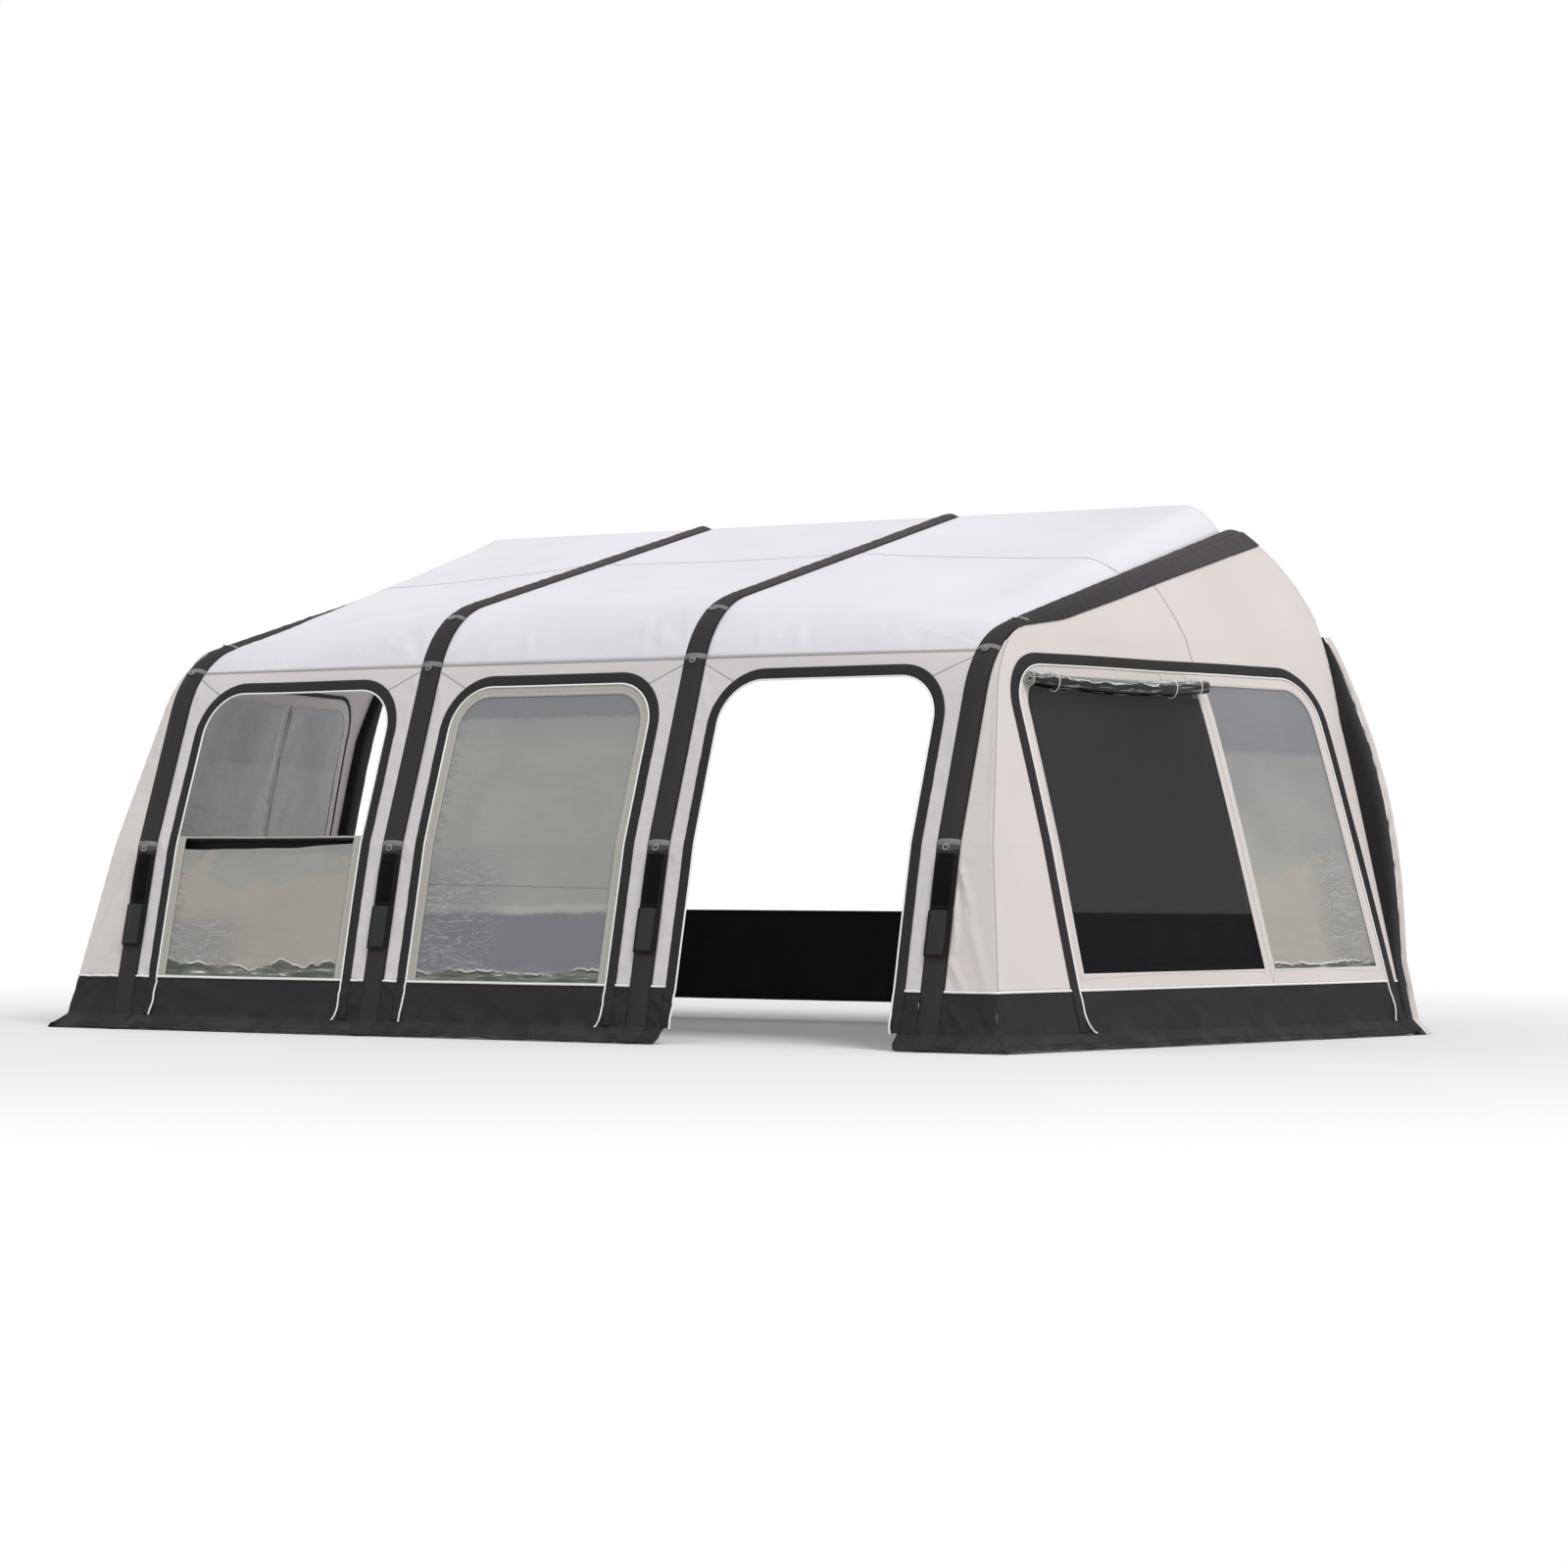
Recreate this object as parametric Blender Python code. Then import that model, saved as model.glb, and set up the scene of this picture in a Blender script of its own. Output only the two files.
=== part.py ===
"""An inflatable caravan awning: a cloth shell over four air beams, with three front bays and two side windows.

Lengths are in metres. X runs along the caravan, the front faces -Y, and Z is up. The origin is on the ground, at
the middle of the footprint. "Depth" is the distance from the caravan's rail plane towards the front.
"""

import math

import bmesh
import bpy
from mathutils import Matrix, Vector

# Shell
RAIL_HEIGHT = 2.60
RAIL_BEND_RUN = 0.25
RAIL_END_DROP = 0.15
DEPTH = 2.935
BEAM_SPACING = 1.50
CORNER_SPREAD = 0.2755
REAR_SPREAD = 0.710
OUTER_BEAM_SPLAY = 0.085
KNEE_HEIGHT = 0.90
LOWER_LEAN_SHARE = 0.229
UPPER_LEAN_SHARE = 0.36
ROOF_FALL_SHARE = 0.257
EAVE_END_DROP = 0.16
EAVE_RADIUS = 0.50
EAVE_SEAM_RISE = 0.015
CORNER_SEAM_RISE = 0.04
CORNER_SEAM_WIDTH = 0.008
REAR_LEAN_SHARE = 0.6
REAR_BEND_POWER = 7.5

# Cloth and its seams
CLOTH = 0.002
GAP = 0.0004
LAYER_GAP = 0.0008
CUT_OVERRUN = 0.01

# Mud wall and flap at the ground
MUD_WALL_HEIGHT = 0.257
FOLD_HEIGHT = 0.07
FLAP_SPREAD_SHARE = 1.1
FLAP_LIFT = 0.004
TONGUE_HEIGHT = 0.04

# Air beams and the covers over them
BEAM_RADIUS = 0.0575
BEAM_FOOT_RUN = 0.12
BEAM_END_INSET = 0.05
COVER_WIDTH = 0.114
COVER_CROWN = 0.018
TAB_HEIGHT = 0.026
TAB_RAISE = 0.003
TAB_BEVEL = 0.003
ROOF_TAB_STEP = 0.30

# Valves, their flaps and the guy line pouches
VALVE_BELOW_KNEE = 0.175
VALVE_RADIUS = 0.018
VALVE_RISE = 0.004
VALVE_HOLE_RADIUS = 0.027
CAP_RADIUS = 0.021
CAP_HEIGHT = 0.007
CAP_GRIP_RADIUS = 0.007
CAP_GRIP_HEIGHT = 0.002
VALVE_FLAP_WIDTH = 0.104
VALVE_FLAP_LENGTH = 0.248
VALVE_FLAP_BELOW_KNEE = 0.050
VALVE_FLAP_BULGE = 0.0135
POUCH_WIDTH = 0.092
POUCH_LENGTH = 0.200
POUCH_BELOW_FLAP = 0.006
POUCH_DEPTH = 0.010
POUCH_FLAP_MARGIN = 0.006

# Front bays
BAY_MARGIN = 0.128
BAY_HEADER = 0.114
BAY_CORNER_RADIUS = 0.205
BAND_WIDTH = 0.052
WALL_EDGE_SHARE = 0.7
PANEL_EDGE_SHARE = 0.3
PANEL_BORDER = 0.066
FILM_OVERLAP = 0.015

# Left bay, lowered over its rail
VERANDA_ABOVE_KNEE = 0.025
VERANDA_RAIL_RADIUS = 0.0125
HANG_FOLDS = 5
HANG_FOLD_DEPTH = 0.012
LOWER_PANEL_DROP = 0.012
UPPER_PANEL_MARGIN = 0.012
SLIDER_WIDTH = 0.011
SLIDER_LENGTH = 0.034
SLIDER_HEIGHT = 0.006
SLIDER_BEVEL = 0.0015
SLIDER_ABOVE_RAIL = 0.05
SLIDER_INSET = 0.014
PULL_WIDTH = 0.006
PULL_LENGTH = 0.030
PULL_HEIGHT = 0.002

# Side windows
WINDOW_FRONT_INSET = 0.565
WINDOW_REAR_FOOT_DEPTH = 0.186
WINDOW_REAR_HEAD_DEPTH = 0.290
WINDOW_HEADER = 0.062
WINDOW_CORNER_RADIUS = 0.20
WINDOW_BORDER = 0.072
MULLION_FOOT_SHARE = 0.44
MULLION_HEAD_SHARE = 0.465
ROLL_RADIUS = 0.034
ROLL_BELOW_TOP = 0.078
ROLL_SAG = 0.022
ROLL_END_INSET = 0.02

# Rear edge: draught pads, draught skirt and rail bead
PAD_DEPTH = 0.12
PAD_BELOW_RAIL = 0.45
PAD_TAPER = 0.5
PAD_HEAD_BELOW_TOP = 0.08
PAD_INNER_REACH = 0.05
PAD_OUTER_REACH = 0.014
PAD_BULGE = 0.09
PAD_BULGE_FOOT = 0.35
PAD_CORNER = 0.012
PAD_SEAM_GAP = 0.001
SKIRT_TOP = 0.57
SKIRT_CLEARANCE = 0.10
SKIRT_DEPTH = 0.06
SKIRT_FOLDS = 18
SKIRT_FOLD_DEPTH = 0.007
BEAD_RADIUS = 0.004

# Spacing of the cloth's facets
SIDE_STEP = 0.20
SIDE_RISE = 0.15
ROOF_STEPS = 5
EAVE_STEPS = 5
BAY_STEPS = 6
ARC_STEPS = 6
POUCH_STEPS = 4
FLAP_STEPS = 6
BEAM_EAVE_STEPS = 8
BEAM_SIDES = 12
ROOF_RUN = 0.60
FOLD_STEPS = 4

# Places worked out from the sizes above
INNER_BEAM_X = BEAM_SPACING / 2
OUTER_BEAM_X = INNER_BEAM_X + BEAM_SPACING
RAIL_BEND_X = OUTER_BEAM_X - RAIL_BEND_RUN
BEAM_PLACES = (-OUTER_BEAM_X, -INNER_BEAM_X, INNER_BEAM_X, OUTER_BEAM_X)
HALF_COVER = COVER_WIDTH / 2
SIDE_EDGE_X = OUTER_BEAM_X + HALF_COVER + CORNER_SEAM_WIDTH
FRONT_CORNER_X = SIDE_EDGE_X + CORNER_SPREAD
REAR_CORNER_X = FRONT_CORNER_X + REAR_SPREAD
BAY_OPENING_WIDTH = BEAM_SPACING - COVER_WIDTH - 2 * BAY_MARGIN
VERANDA_HEIGHT = KNEE_HEIGHT + VERANDA_ABOVE_KNEE
WINDOW_FRONT_DEPTH = DEPTH - WINDOW_FRONT_INSET
MULLION_FOOT_DEPTH = MULLION_FOOT_SHARE * WINDOW_FRONT_DEPTH
MULLION_HEAD_DEPTH = MULLION_HEAD_SHARE * WINDOW_FRONT_DEPTH
LEG_AT_GROUND = DEPTH - LOWER_LEAN_SHARE * (KNEE_HEIGHT - FOLD_HEIGHT) + UPPER_LEAN_SHARE * KNEE_HEIGHT
EAVE_DEPTH = (LEG_AT_GROUND - UPPER_LEAN_SHARE * RAIL_HEIGHT) / (1 - UPPER_LEAN_SHARE * ROOF_FALL_SHARE)
BEAM_SINK = BEAM_RADIUS + GAP + CLOTH - COVER_CROWN
LAYER = CLOTH + LAYER_GAP
RAIL_Y = (DEPTH + FOLD_HEIGHT * FLAP_SPREAD_SHARE - 2 * BEAD_RADIUS - GAP) / 2

CLOTH_GREY = (0.52, 0.50, 0.48)
ROOF_GREY = (0.60, 0.59, 0.64)
SIDE_BEIGE = (0.62, 0.57, 0.54)
CHARCOAL = (0.030, 0.030, 0.034)
COVER_GREY = (0.045, 0.043, 0.048)
FILM_GREY = (0.45, 0.46, 0.44)


def share_of(value, low, high):
    """Where value lies from low to high, kept from 0 to 1."""
    return min(max((value - low) / (high - low), 0), 1)


# Profile of the front wall and the roof


def leg_depth(z):
    """Depth of the front wall's straight runs at height z: mud flap, lower leg and upper leg."""
    if z < FOLD_HEIGHT:
        return DEPTH + (FOLD_HEIGHT - z) * FLAP_SPREAD_SHARE
    if z < KNEE_HEIGHT:
        return DEPTH - (z - FOLD_HEIGHT) * LOWER_LEAN_SHARE
    return LEG_AT_GROUND - z * UPPER_LEAN_SHARE


def rail_height(x):
    """The rail is straight in the middle and bends down towards the outer beams."""
    bend = share_of(abs(x), RAIL_BEND_X, OUTER_BEAM_X - HALF_COVER)
    return RAIL_HEIGHT - RAIL_END_DROP * bend**2


def eave_at(x):
    """The round eave at x: its centre, its start and end angles, and the roof line that it meets."""
    drop = EAVE_END_DROP * share_of(abs(x), INNER_BEAM_X + HALF_COVER, OUTER_BEAM_X - HALF_COVER)
    rail = rail_height(x)
    fall_share = ROOF_FALL_SHARE + (drop - (RAIL_HEIGHT - rail)) / EAVE_DEPTH
    corner_depth = (LEG_AT_GROUND - UPPER_LEAN_SHARE * rail) / (1 - UPPER_LEAN_SHARE * fall_share)
    corner_z = rail - fall_share * corner_depth
    leg_angle = math.atan(UPPER_LEAN_SHARE)
    roof_angle = math.atan2(1, fall_share)
    tangent = EAVE_RADIUS * math.tan((roof_angle - leg_angle) / 2)
    centre_depth = corner_depth + tangent * math.sin(leg_angle) - EAVE_RADIUS * math.cos(leg_angle)
    centre_z = corner_z - tangent * math.cos(leg_angle) - EAVE_RADIUS * math.sin(leg_angle)
    return centre_depth, centre_z, leg_angle, roof_angle, rail, fall_share


def eave_point(x, angle):
    centre_depth, centre_z = eave_at(x)[:2]
    return centre_depth + EAVE_RADIUS * math.cos(angle), centre_z + EAVE_RADIUS * math.sin(angle)


def eave_start_height(x):
    return eave_point(x, eave_at(x)[2])[1]


EAVE_SEAM_HEIGHT = eave_start_height(0) + EAVE_SEAM_RISE
CORNER_SEAM_TOP = EAVE_SEAM_HEIGHT + CORNER_SEAM_RISE
REAR_TOP = rail_height(OUTER_BEAM_X)
PAD_TOP = REAR_TOP - PAD_BELOW_RAIL
BAY_OPENING_TOP = EAVE_SEAM_HEIGHT - BAY_HEADER
WINDOW_TOP = EAVE_SEAM_HEIGHT - WINDOW_HEADER


def depth_at(x, z):
    """Depth of the shell's outer face at x and height z, from the flap at the ground up to the rail."""
    centre_depth, centre_z, leg_angle, roof_angle, rail, fall_share = eave_at(x)
    if z <= eave_point(x, leg_angle)[1]:
        return leg_depth(z)
    if z <= eave_point(x, roof_angle)[1]:
        return centre_depth + math.sqrt(max(EAVE_RADIUS**2 - (z - centre_z) ** 2, 0))
    return (rail - z) / fall_share


CORNER_TOP_DEPTH = depth_at(SIDE_EDGE_X, CORNER_SEAM_TOP)


def splayed_x(x, depth):
    """The outer beams spread apart a little from the eave back to the rail, and take the cloth with them."""
    outwards = share_of(abs(x), INNER_BEAM_X + HALF_COVER, OUTER_BEAM_X - HALF_COVER)
    back = share_of(CORNER_TOP_DEPTH - depth, 0, CORNER_TOP_DEPTH)
    return x + math.copysign(OUTER_BEAM_SPLAY * outwards * back, x)


def front_place(x, z):
    return Vector((x, RAIL_Y - depth_at(x, z), z))


def roof_place(x, way):
    """A point of the roof, from the eave seam at way 0 round the eave at way 1 and up to the rail at way 2."""
    centre_depth, centre_z, leg_angle, roof_angle, rail, fall_share = eave_at(x)
    seam_angle = math.asin((EAVE_SEAM_HEIGHT - centre_z) / EAVE_RADIUS)
    if way <= 1:
        depth, z = eave_point(x, seam_angle + (roof_angle - seam_angle) * way)
    else:
        end_depth, end_z = eave_point(x, roof_angle)
        depth = end_depth * (2 - way)
        z = end_z + (rail - end_z) * (way - 1)
    return Vector((splayed_x(x, depth), RAIL_Y - depth, z))


def beam_run(x):
    """The profile's runs at a beam, from the fold up to the rail, as (length, place, outward direction) functions."""
    centre_depth, centre_z, leg_angle, roof_angle, rail, fall_share = eave_at(x)
    ends = [
        (DEPTH, FOLD_HEIGHT),
        (leg_depth(KNEE_HEIGHT), KNEE_HEIGHT),
        eave_point(x, leg_angle),
        eave_point(x, roof_angle),
        (0, rail),
    ]
    return ends, leg_angle, roof_angle


def girths(x):
    """Distance along the profile from the fold to the knee, the eave's start, its end and the rail."""
    ends, leg_angle, roof_angle = beam_run(x)
    knee = math.dist(ends[0], ends[1])
    start = knee + math.dist(ends[1], ends[2])
    end = start + EAVE_RADIUS * (roof_angle - leg_angle)
    return knee, start, end, end + math.dist(ends[3], ends[4])


def along_beam(x, girth, rise=0):
    """The point at this distance up the profile from the fold, raised outwards, as depth and height."""
    ends, leg_angle, roof_angle = beam_run(x)
    knee, start, end, rail = girths(x)
    if start < girth < end:
        angle = leg_angle + (girth - start) / EAVE_RADIUS
        depth, z = eave_point(x, angle)
        return depth + rise * math.cos(angle), z + rise * math.sin(angle)
    run = 0 if girth < knee else 1 if girth <= start else 3
    begin = (0, knee, start, end)[run]
    (from_depth, from_z), (to_depth, to_z) = ends[run], ends[run + 1]
    length = math.dist(ends[run], ends[run + 1])
    step_depth, step_z = (to_depth - from_depth) / length, (to_z - from_z) / length
    depth = from_depth + step_depth * (girth - begin)
    z = from_z + step_z * (girth - begin)
    return depth + rise * step_z, z - rise * step_depth


def girth_of_height(z):
    """Distance up the profile of a height on the lower leg."""
    return (z - FOLD_HEIGHT) * math.hypot(1, LOWER_LEAN_SHARE)


def girth_of_seam(x):
    """Distance up the profile of the eave seam."""
    centre_z, leg_angle = eave_at(x)[1:3]
    seam_angle = math.asin((EAVE_SEAM_HEIGHT - centre_z) / EAVE_RADIUS)
    return girths(x)[1] + EAVE_RADIUS * (seam_angle - leg_angle)


# Surface of the side walls, seen along X as depth and height


def corner_x(z):
    """The corner seam spreads outwards from the eave to the ground."""
    if z < FOLD_HEIGHT:
        return FRONT_CORNER_X + (FOLD_HEIGHT - z) * FLAP_SPREAD_SHARE
    spread = (CORNER_SEAM_TOP - z) / (CORNER_SEAM_TOP - FOLD_HEIGHT)
    return SIDE_EDGE_X + CORNER_SPREAD * spread


def side_front(z):
    """Front edge of the side wall: the corner seam, and above it the roof line of the outer beam."""
    if z <= CORNER_SEAM_TOP:
        return corner_x(z), depth_at(corner_x(z), z)
    depth = depth_at(SIDE_EDGE_X, z)
    return splayed_x(SIDE_EDGE_X, depth), depth


def side_rear(z):
    """Rear edge of the side wall, bent like the caravan's rail."""
    height = max((z - FOLD_HEIGHT) / (REAR_TOP - FOLD_HEIGHT), 0)
    rise = REAR_LEAN_SHARE * height + (1 - REAR_LEAN_SHARE) * height**REAR_BEND_POWER
    x = REAR_CORNER_X - (REAR_CORNER_X - splayed_x(SIDE_EDGE_X, 0)) * rise
    if z < FOLD_HEIGHT:
        x += (FOLD_HEIGHT - z) * FLAP_SPREAD_SHARE
    return x, PAD_DEPTH * share_of(PAD_TOP - z, 0, PAD_TAPER)


def side_place(depth, z):
    front_x, front_depth = side_front(z)
    rear_x, rear_depth = side_rear(z)
    back = (front_depth - depth) / max(front_depth - rear_depth, GAP)
    return Vector((front_x + (rear_x - front_x) * back, RAIL_Y - depth, z))


# Outlines, as lists of points in the plane of a chart


def rounded(corners, radius, steps):
    """An open line through the corners, with every inner corner turned to an arc of this radius."""
    line = [Vector(corners[0])]
    for before, corner, after in zip(corners, corners[1:], corners[2:]):
        corner = Vector(corner)
        back = (Vector(before) - corner).normalized()
        on = (Vector(after) - corner).normalized()
        half = back.angle(on) / 2
        centre = corner + (back + on).normalized() * (radius / math.sin(half))
        start = corner + back * (radius / math.tan(half)) - centre
        turn = start.angle_signed(corner + on * (radius / math.tan(half)) - centre)
        for step in range(steps + 1):
            line.append(centre + Matrix.Rotation(-turn * step / steps, 2) @ start)
    line.append(Vector(corners[-1]))
    return line


def beside(line, distance, foot):
    """The line moved to its left by distance, with its two ends kept at the height foot."""
    moved = []
    for index, point in enumerate(line):
        before = (point - line[index - 1]).normalized() if index else None
        after = (line[index + 1] - point).normalized() if index + 1 < len(line) else before
        before = before or after
        way = (before + after).normalized()
        left = Vector((-way.y, way.x))
        moved.append(point + left * (distance / before.dot(way)))
    moved[0].y = moved[-1].y = foot
    return moved


def bay_arch(centre, reach, foot):
    """The arch of a front bay's opening, widened by reach, from its left foot over to its right foot."""
    half = BAY_OPENING_WIDTH / 2
    corners = [
        (centre - half, foot),
        (centre - half, BAY_OPENING_TOP),
        (centre + half, BAY_OPENING_TOP),
        (centre + half, foot),
    ]
    return beside(rounded(corners, BAY_CORNER_RADIUS, ARC_STEPS), reach, foot)


def window_arch(reach, foot):
    """The arch of a side window's opening, widened by reach, from its front foot over to its rear foot."""
    rear_foot = WINDOW_REAR_FOOT_DEPTH
    rear_slope = (WINDOW_REAR_HEAD_DEPTH - rear_foot) / (WINDOW_TOP - FOLD_HEIGHT)
    corners = [
        (WINDOW_FRONT_DEPTH, foot),
        (WINDOW_FRONT_DEPTH, WINDOW_TOP),
        (WINDOW_REAR_HEAD_DEPTH, WINDOW_TOP),
        (rear_foot + rear_slope * (foot - FOLD_HEIGHT), foot),
    ]
    return beside(rounded(corners, WINDOW_CORNER_RADIUS, ARC_STEPS), -reach, foot)


# Building blocks


def make_material(name, colour, roughness, metallic=0, alpha=1):
    material = bpy.data.materials.new(name)
    material.use_nodes = True
    shader = material.node_tree.nodes["Principled BSDF"]
    shader.inputs["Base Color"].default_value = (*colour, 1)
    shader.inputs["Roughness"].default_value = roughness
    shader.inputs["Metallic"].default_value = metallic
    shader.inputs["Alpha"].default_value = alpha
    return material


def finish(name, mesh, colour, roughness=0.8, metallic=0, alpha=1):
    """A named object with its own material."""
    node = bpy.data.objects.new(name, mesh)
    bpy.context.collection.objects.link(node)
    mesh.materials.clear()
    mesh.materials.append(make_material(name, colour, roughness, metallic, alpha))
    mesh.shade_smooth()
    mesh.set_sharp_from_angle(angle=math.radians(30))
    return node


def chart(outlines, cuts_across=(), cuts_up=()):
    """Flat faces in the chart's plane, cut into a grid so that they can follow a curved surface."""
    bm = bmesh.new()
    for outline in outlines:
        bm.faces.new([bm.verts.new((*point, 0)) for point in outline])
    for axis, values in (((1, 0, 0), cuts_across), ((0, 1, 0), cuts_up)):
        for value in values:
            everything = bm.verts[:] + bm.edges[:] + bm.faces[:]
            bmesh.ops.bisect_plane(
                bm, geom=everything, plane_co=Vector(axis) * value, plane_no=axis, dist=GAP / 10
            )
    return bm


def drape(bm, place, outward, mirrored=False):
    """Moves the chart's points to their places on the shell and turns its faces outwards."""
    for vert in bm.verts:
        vert.co = place(vert.co.x, vert.co.y)
        if mirrored:
            vert.co.x = -vert.co.x
    bm.normal_update()
    facing = sum((face.normal * face.calc_area() for face in bm.faces), Vector())
    if facing.dot(outward) < 0:
        bmesh.ops.reverse_faces(bm, faces=bm.faces[:])
    return bm


def lift(bm, distance):
    """Moves a sheet along its normals, to lie over or under the shell's own cloth."""
    bm.normal_update()
    moves = [(vert, vert.normal * vert.calc_shell_factor() * distance) for vert in bm.verts]
    for vert, move in moves:
        vert.co += move
    return bm


def sheet(name, bm, colour, roughness=0.8, alpha=1):
    """The sheet as a cloth of real thickness, which lies inside its outer face."""
    mesh = bpy.data.meshes.new(name)
    bm.to_mesh(mesh)
    bm.free()
    node = finish(name, mesh, colour, roughness, 0, alpha)
    solidify = node.modifiers.new("Cloth", "SOLIDIFY")
    solidify.thickness = CLOTH
    solidify.offset = -1
    solidify.use_even_offset = True
    return node


def slab(name, columns, rows, outer, inner, colour, roughness=0.8):
    """A closed sheet between two surfaces, each a function of a column and a row."""
    bm = bmesh.new()
    for surface in (outer, inner):
        grid = bmesh.ops.create_grid(bm, x_segments=len(columns) - 1, y_segments=len(rows) - 1, size=1)
        for vert in grid["verts"]:
            column = columns[round((vert.co.x + 1) / 2 * (len(columns) - 1))]
            row = rows[round((vert.co.y + 1) / 2 * (len(rows) - 1))]
            vert.co = surface(column, row)
    rims = [edge for edge in bm.edges if edge.is_boundary]
    bmesh.ops.bridge_loops(bm, edges=rims)
    bmesh.ops.recalc_face_normals(bm, faces=bm.faces[:])
    mesh = bpy.data.meshes.new(name)
    bm.to_mesh(mesh)
    bm.free()
    return finish(name, mesh, colour, roughness)


def tube_mesh(name, points, radius, sides):
    """A closed tube through the points."""
    curve = bpy.data.curves.new(name, "CURVE")
    curve.dimensions = "3D"
    curve.bevel_depth = radius
    curve.bevel_resolution = sides // 2 - 2
    curve.use_fill_caps = True
    spline = curve.splines.new("POLY")
    spline.points.add(len(points) - 1)
    for target, point in zip(spline.points, points):
        target.co = (*point, 1)
    guide = bpy.data.objects.new(name, curve)
    mesh = bpy.data.meshes.new_from_object(guide)
    bpy.data.objects.remove(guide)
    bpy.data.curves.remove(curve)
    bm = bmesh.new()
    bm.from_mesh(mesh)
    bmesh.ops.remove_doubles(bm, verts=bm.verts[:], dist=GAP / 10)
    bmesh.ops.recalc_face_normals(bm, faces=bm.faces[:])
    bm.to_mesh(mesh)
    bm.free()
    return mesh


def cylinder_mesh(name, radius, bottom, top, turn, sides=20, grip=None):
    """A cylinder from bottom to top along the turned Z axis, with an optional grip on its top."""
    bm = bmesh.new()
    bmesh.ops.create_cone(
        bm, cap_ends=True, segments=sides, radius1=radius, radius2=radius, depth=top - bottom,
        matrix=Matrix.Translation((0, 0, (top + bottom) / 2)),
    )
    if grip:
        crown = max((face for face in bm.faces), key=lambda face: face.calc_center_median().z)
        bmesh.ops.inset_individual(bm, faces=[crown], thickness=radius - grip[0])
        raised = bmesh.ops.extrude_discrete_faces(bm, faces=[crown])["faces"]
        for vert in raised[0].verts:
            vert.co.z += grip[1]
    bm.transform(turn)
    mesh = bpy.data.meshes.new(name)
    bm.to_mesh(mesh)
    bm.free()
    return mesh


def cutter(name, mesh):
    """A guide that a Boolean reads and that isn't part of the awning."""
    guide = bpy.data.objects.new(name, mesh)
    bpy.context.collection.objects.link(guide)
    guide.hide_render = True
    guide.display_type = "WIRE"
    return guide


def combine(node, guide, operation):
    boolean = node.modifiers.new(guide.name, "BOOLEAN")
    boolean.operation = operation
    boolean.object = guide
    boolean.solver = "EXACT"


def steps_between(low, high, count):
    return [low + (high - low) * index / count for index in range(count + 1)]


def inner_steps(low, high, size):
    """Places inside low to high, no further apart than size."""
    count = max(math.ceil((high - low) / size), 1)
    return steps_between(low, high, count)[1:-1]


# Cut heights that every front sheet shares, so that sheets in layers have the same facets
EAVE_CUTS = steps_between(eave_start_height(OUTER_BEAM_X), EAVE_SEAM_HEIGHT, EAVE_STEPS)[:-1]
FRONT_CUTS = [FOLD_HEIGHT, KNEE_HEIGHT, eave_start_height(0), *EAVE_CUTS]
FRONT_OUTWARD = Vector((0, -1, 0))
SIDE_TOP_CUTS = steps_between(EAVE_CUTS[0], CORNER_SEAM_TOP, EAVE_STEPS)
PAD_FULL_HEIGHT = PAD_TOP - PAD_TAPER
SIDE_BENDS = sorted([FOLD_HEIGHT, KNEE_HEIGHT, PAD_FULL_HEIGHT, *SIDE_TOP_CUTS, PAD_TOP, REAR_TOP])
SIDE_CUTS_UP = [
    cut
    for low, high in zip(SIDE_BENDS, SIDE_BENDS[1:])
    for cut in (low, *inner_steps(low, high, SIDE_RISE if low < CORNER_SEAM_TOP else SIDE_RISE / 2))
]
SIDE_CUTS_ACROSS = [
    *inner_steps(0, CORNER_TOP_DEPTH, SIDE_STEP),
    *(side_front(z)[1] for z in SIDE_CUTS_UP[1:] if z < CORNER_SEAM_TOP),
]


def bay_centre(index):
    return (BEAM_PLACES[index] + BEAM_PLACES[index + 1]) / 2


def bay_cuts(index):
    return inner_steps(BEAM_PLACES[index], BEAM_PLACES[index + 1], BEAM_SPACING / BAY_STEPS)


def cover_edge(index, side):
    """X of the cloth's edge beside a beam's cover; side is 1 on its right and -1 on its left."""
    return BEAM_PLACES[index] + side * (HALF_COVER + GAP)


# Air beams, valves and covers


def valve_girth():
    return girth_of_height(KNEE_HEIGHT - VALVE_BELOW_KNEE)


def beam_turn(x, girth):
    """The matrix that puts Z on the outward direction at this point of a beam, with its origin on the shell."""
    depth, z = along_beam(x, girth)
    out_depth, out_z = along_beam(x, girth, 1)
    outward = Vector((0, depth - out_depth, out_z - z))
    across = Vector((1, 0, 0))
    up = outward.cross(across)
    place = Matrix((across, up, outward)).transposed().to_4x4()
    place.translation = (x, RAIL_Y - depth, z)
    return place


def build_air_beam(index, x):
    """The inflated tube: upright at its foot, up the leg, round the eave and along the roof."""
    knee, start, end, rail = girths(x)
    foot = girth_of_height(BEAM_FOOT_RUN)
    stations = [
        foot,
        knee,
        *steps_between(start, end, BEAM_EAVE_STEPS)[1:],
        rail - BEAM_END_INSET,
    ]
    path = [along_beam(x, station, -BEAM_SINK) for station in stations]
    path.insert(0, (path[0][0], 0))
    points = [(splayed_x(x, depth), RAIL_Y - depth, z) for depth, z in path]
    tube = tube_mesh(f"air_beam_{index}", points, BEAM_RADIUS, BEAM_SIDES)
    beam = finish(f"air_beam_{index}", tube, CHARCOAL, 0.5)
    surface = BEAM_RADIUS - BEAM_SINK
    boss = cylinder_mesh(
        f"valve_boss_{index}", VALVE_RADIUS, -BEAM_SINK, surface + VALVE_RISE, beam_turn(x, valve_girth())
    )
    combine(beam, cutter(f"valve_boss_{index}", boss), "UNION")


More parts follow.
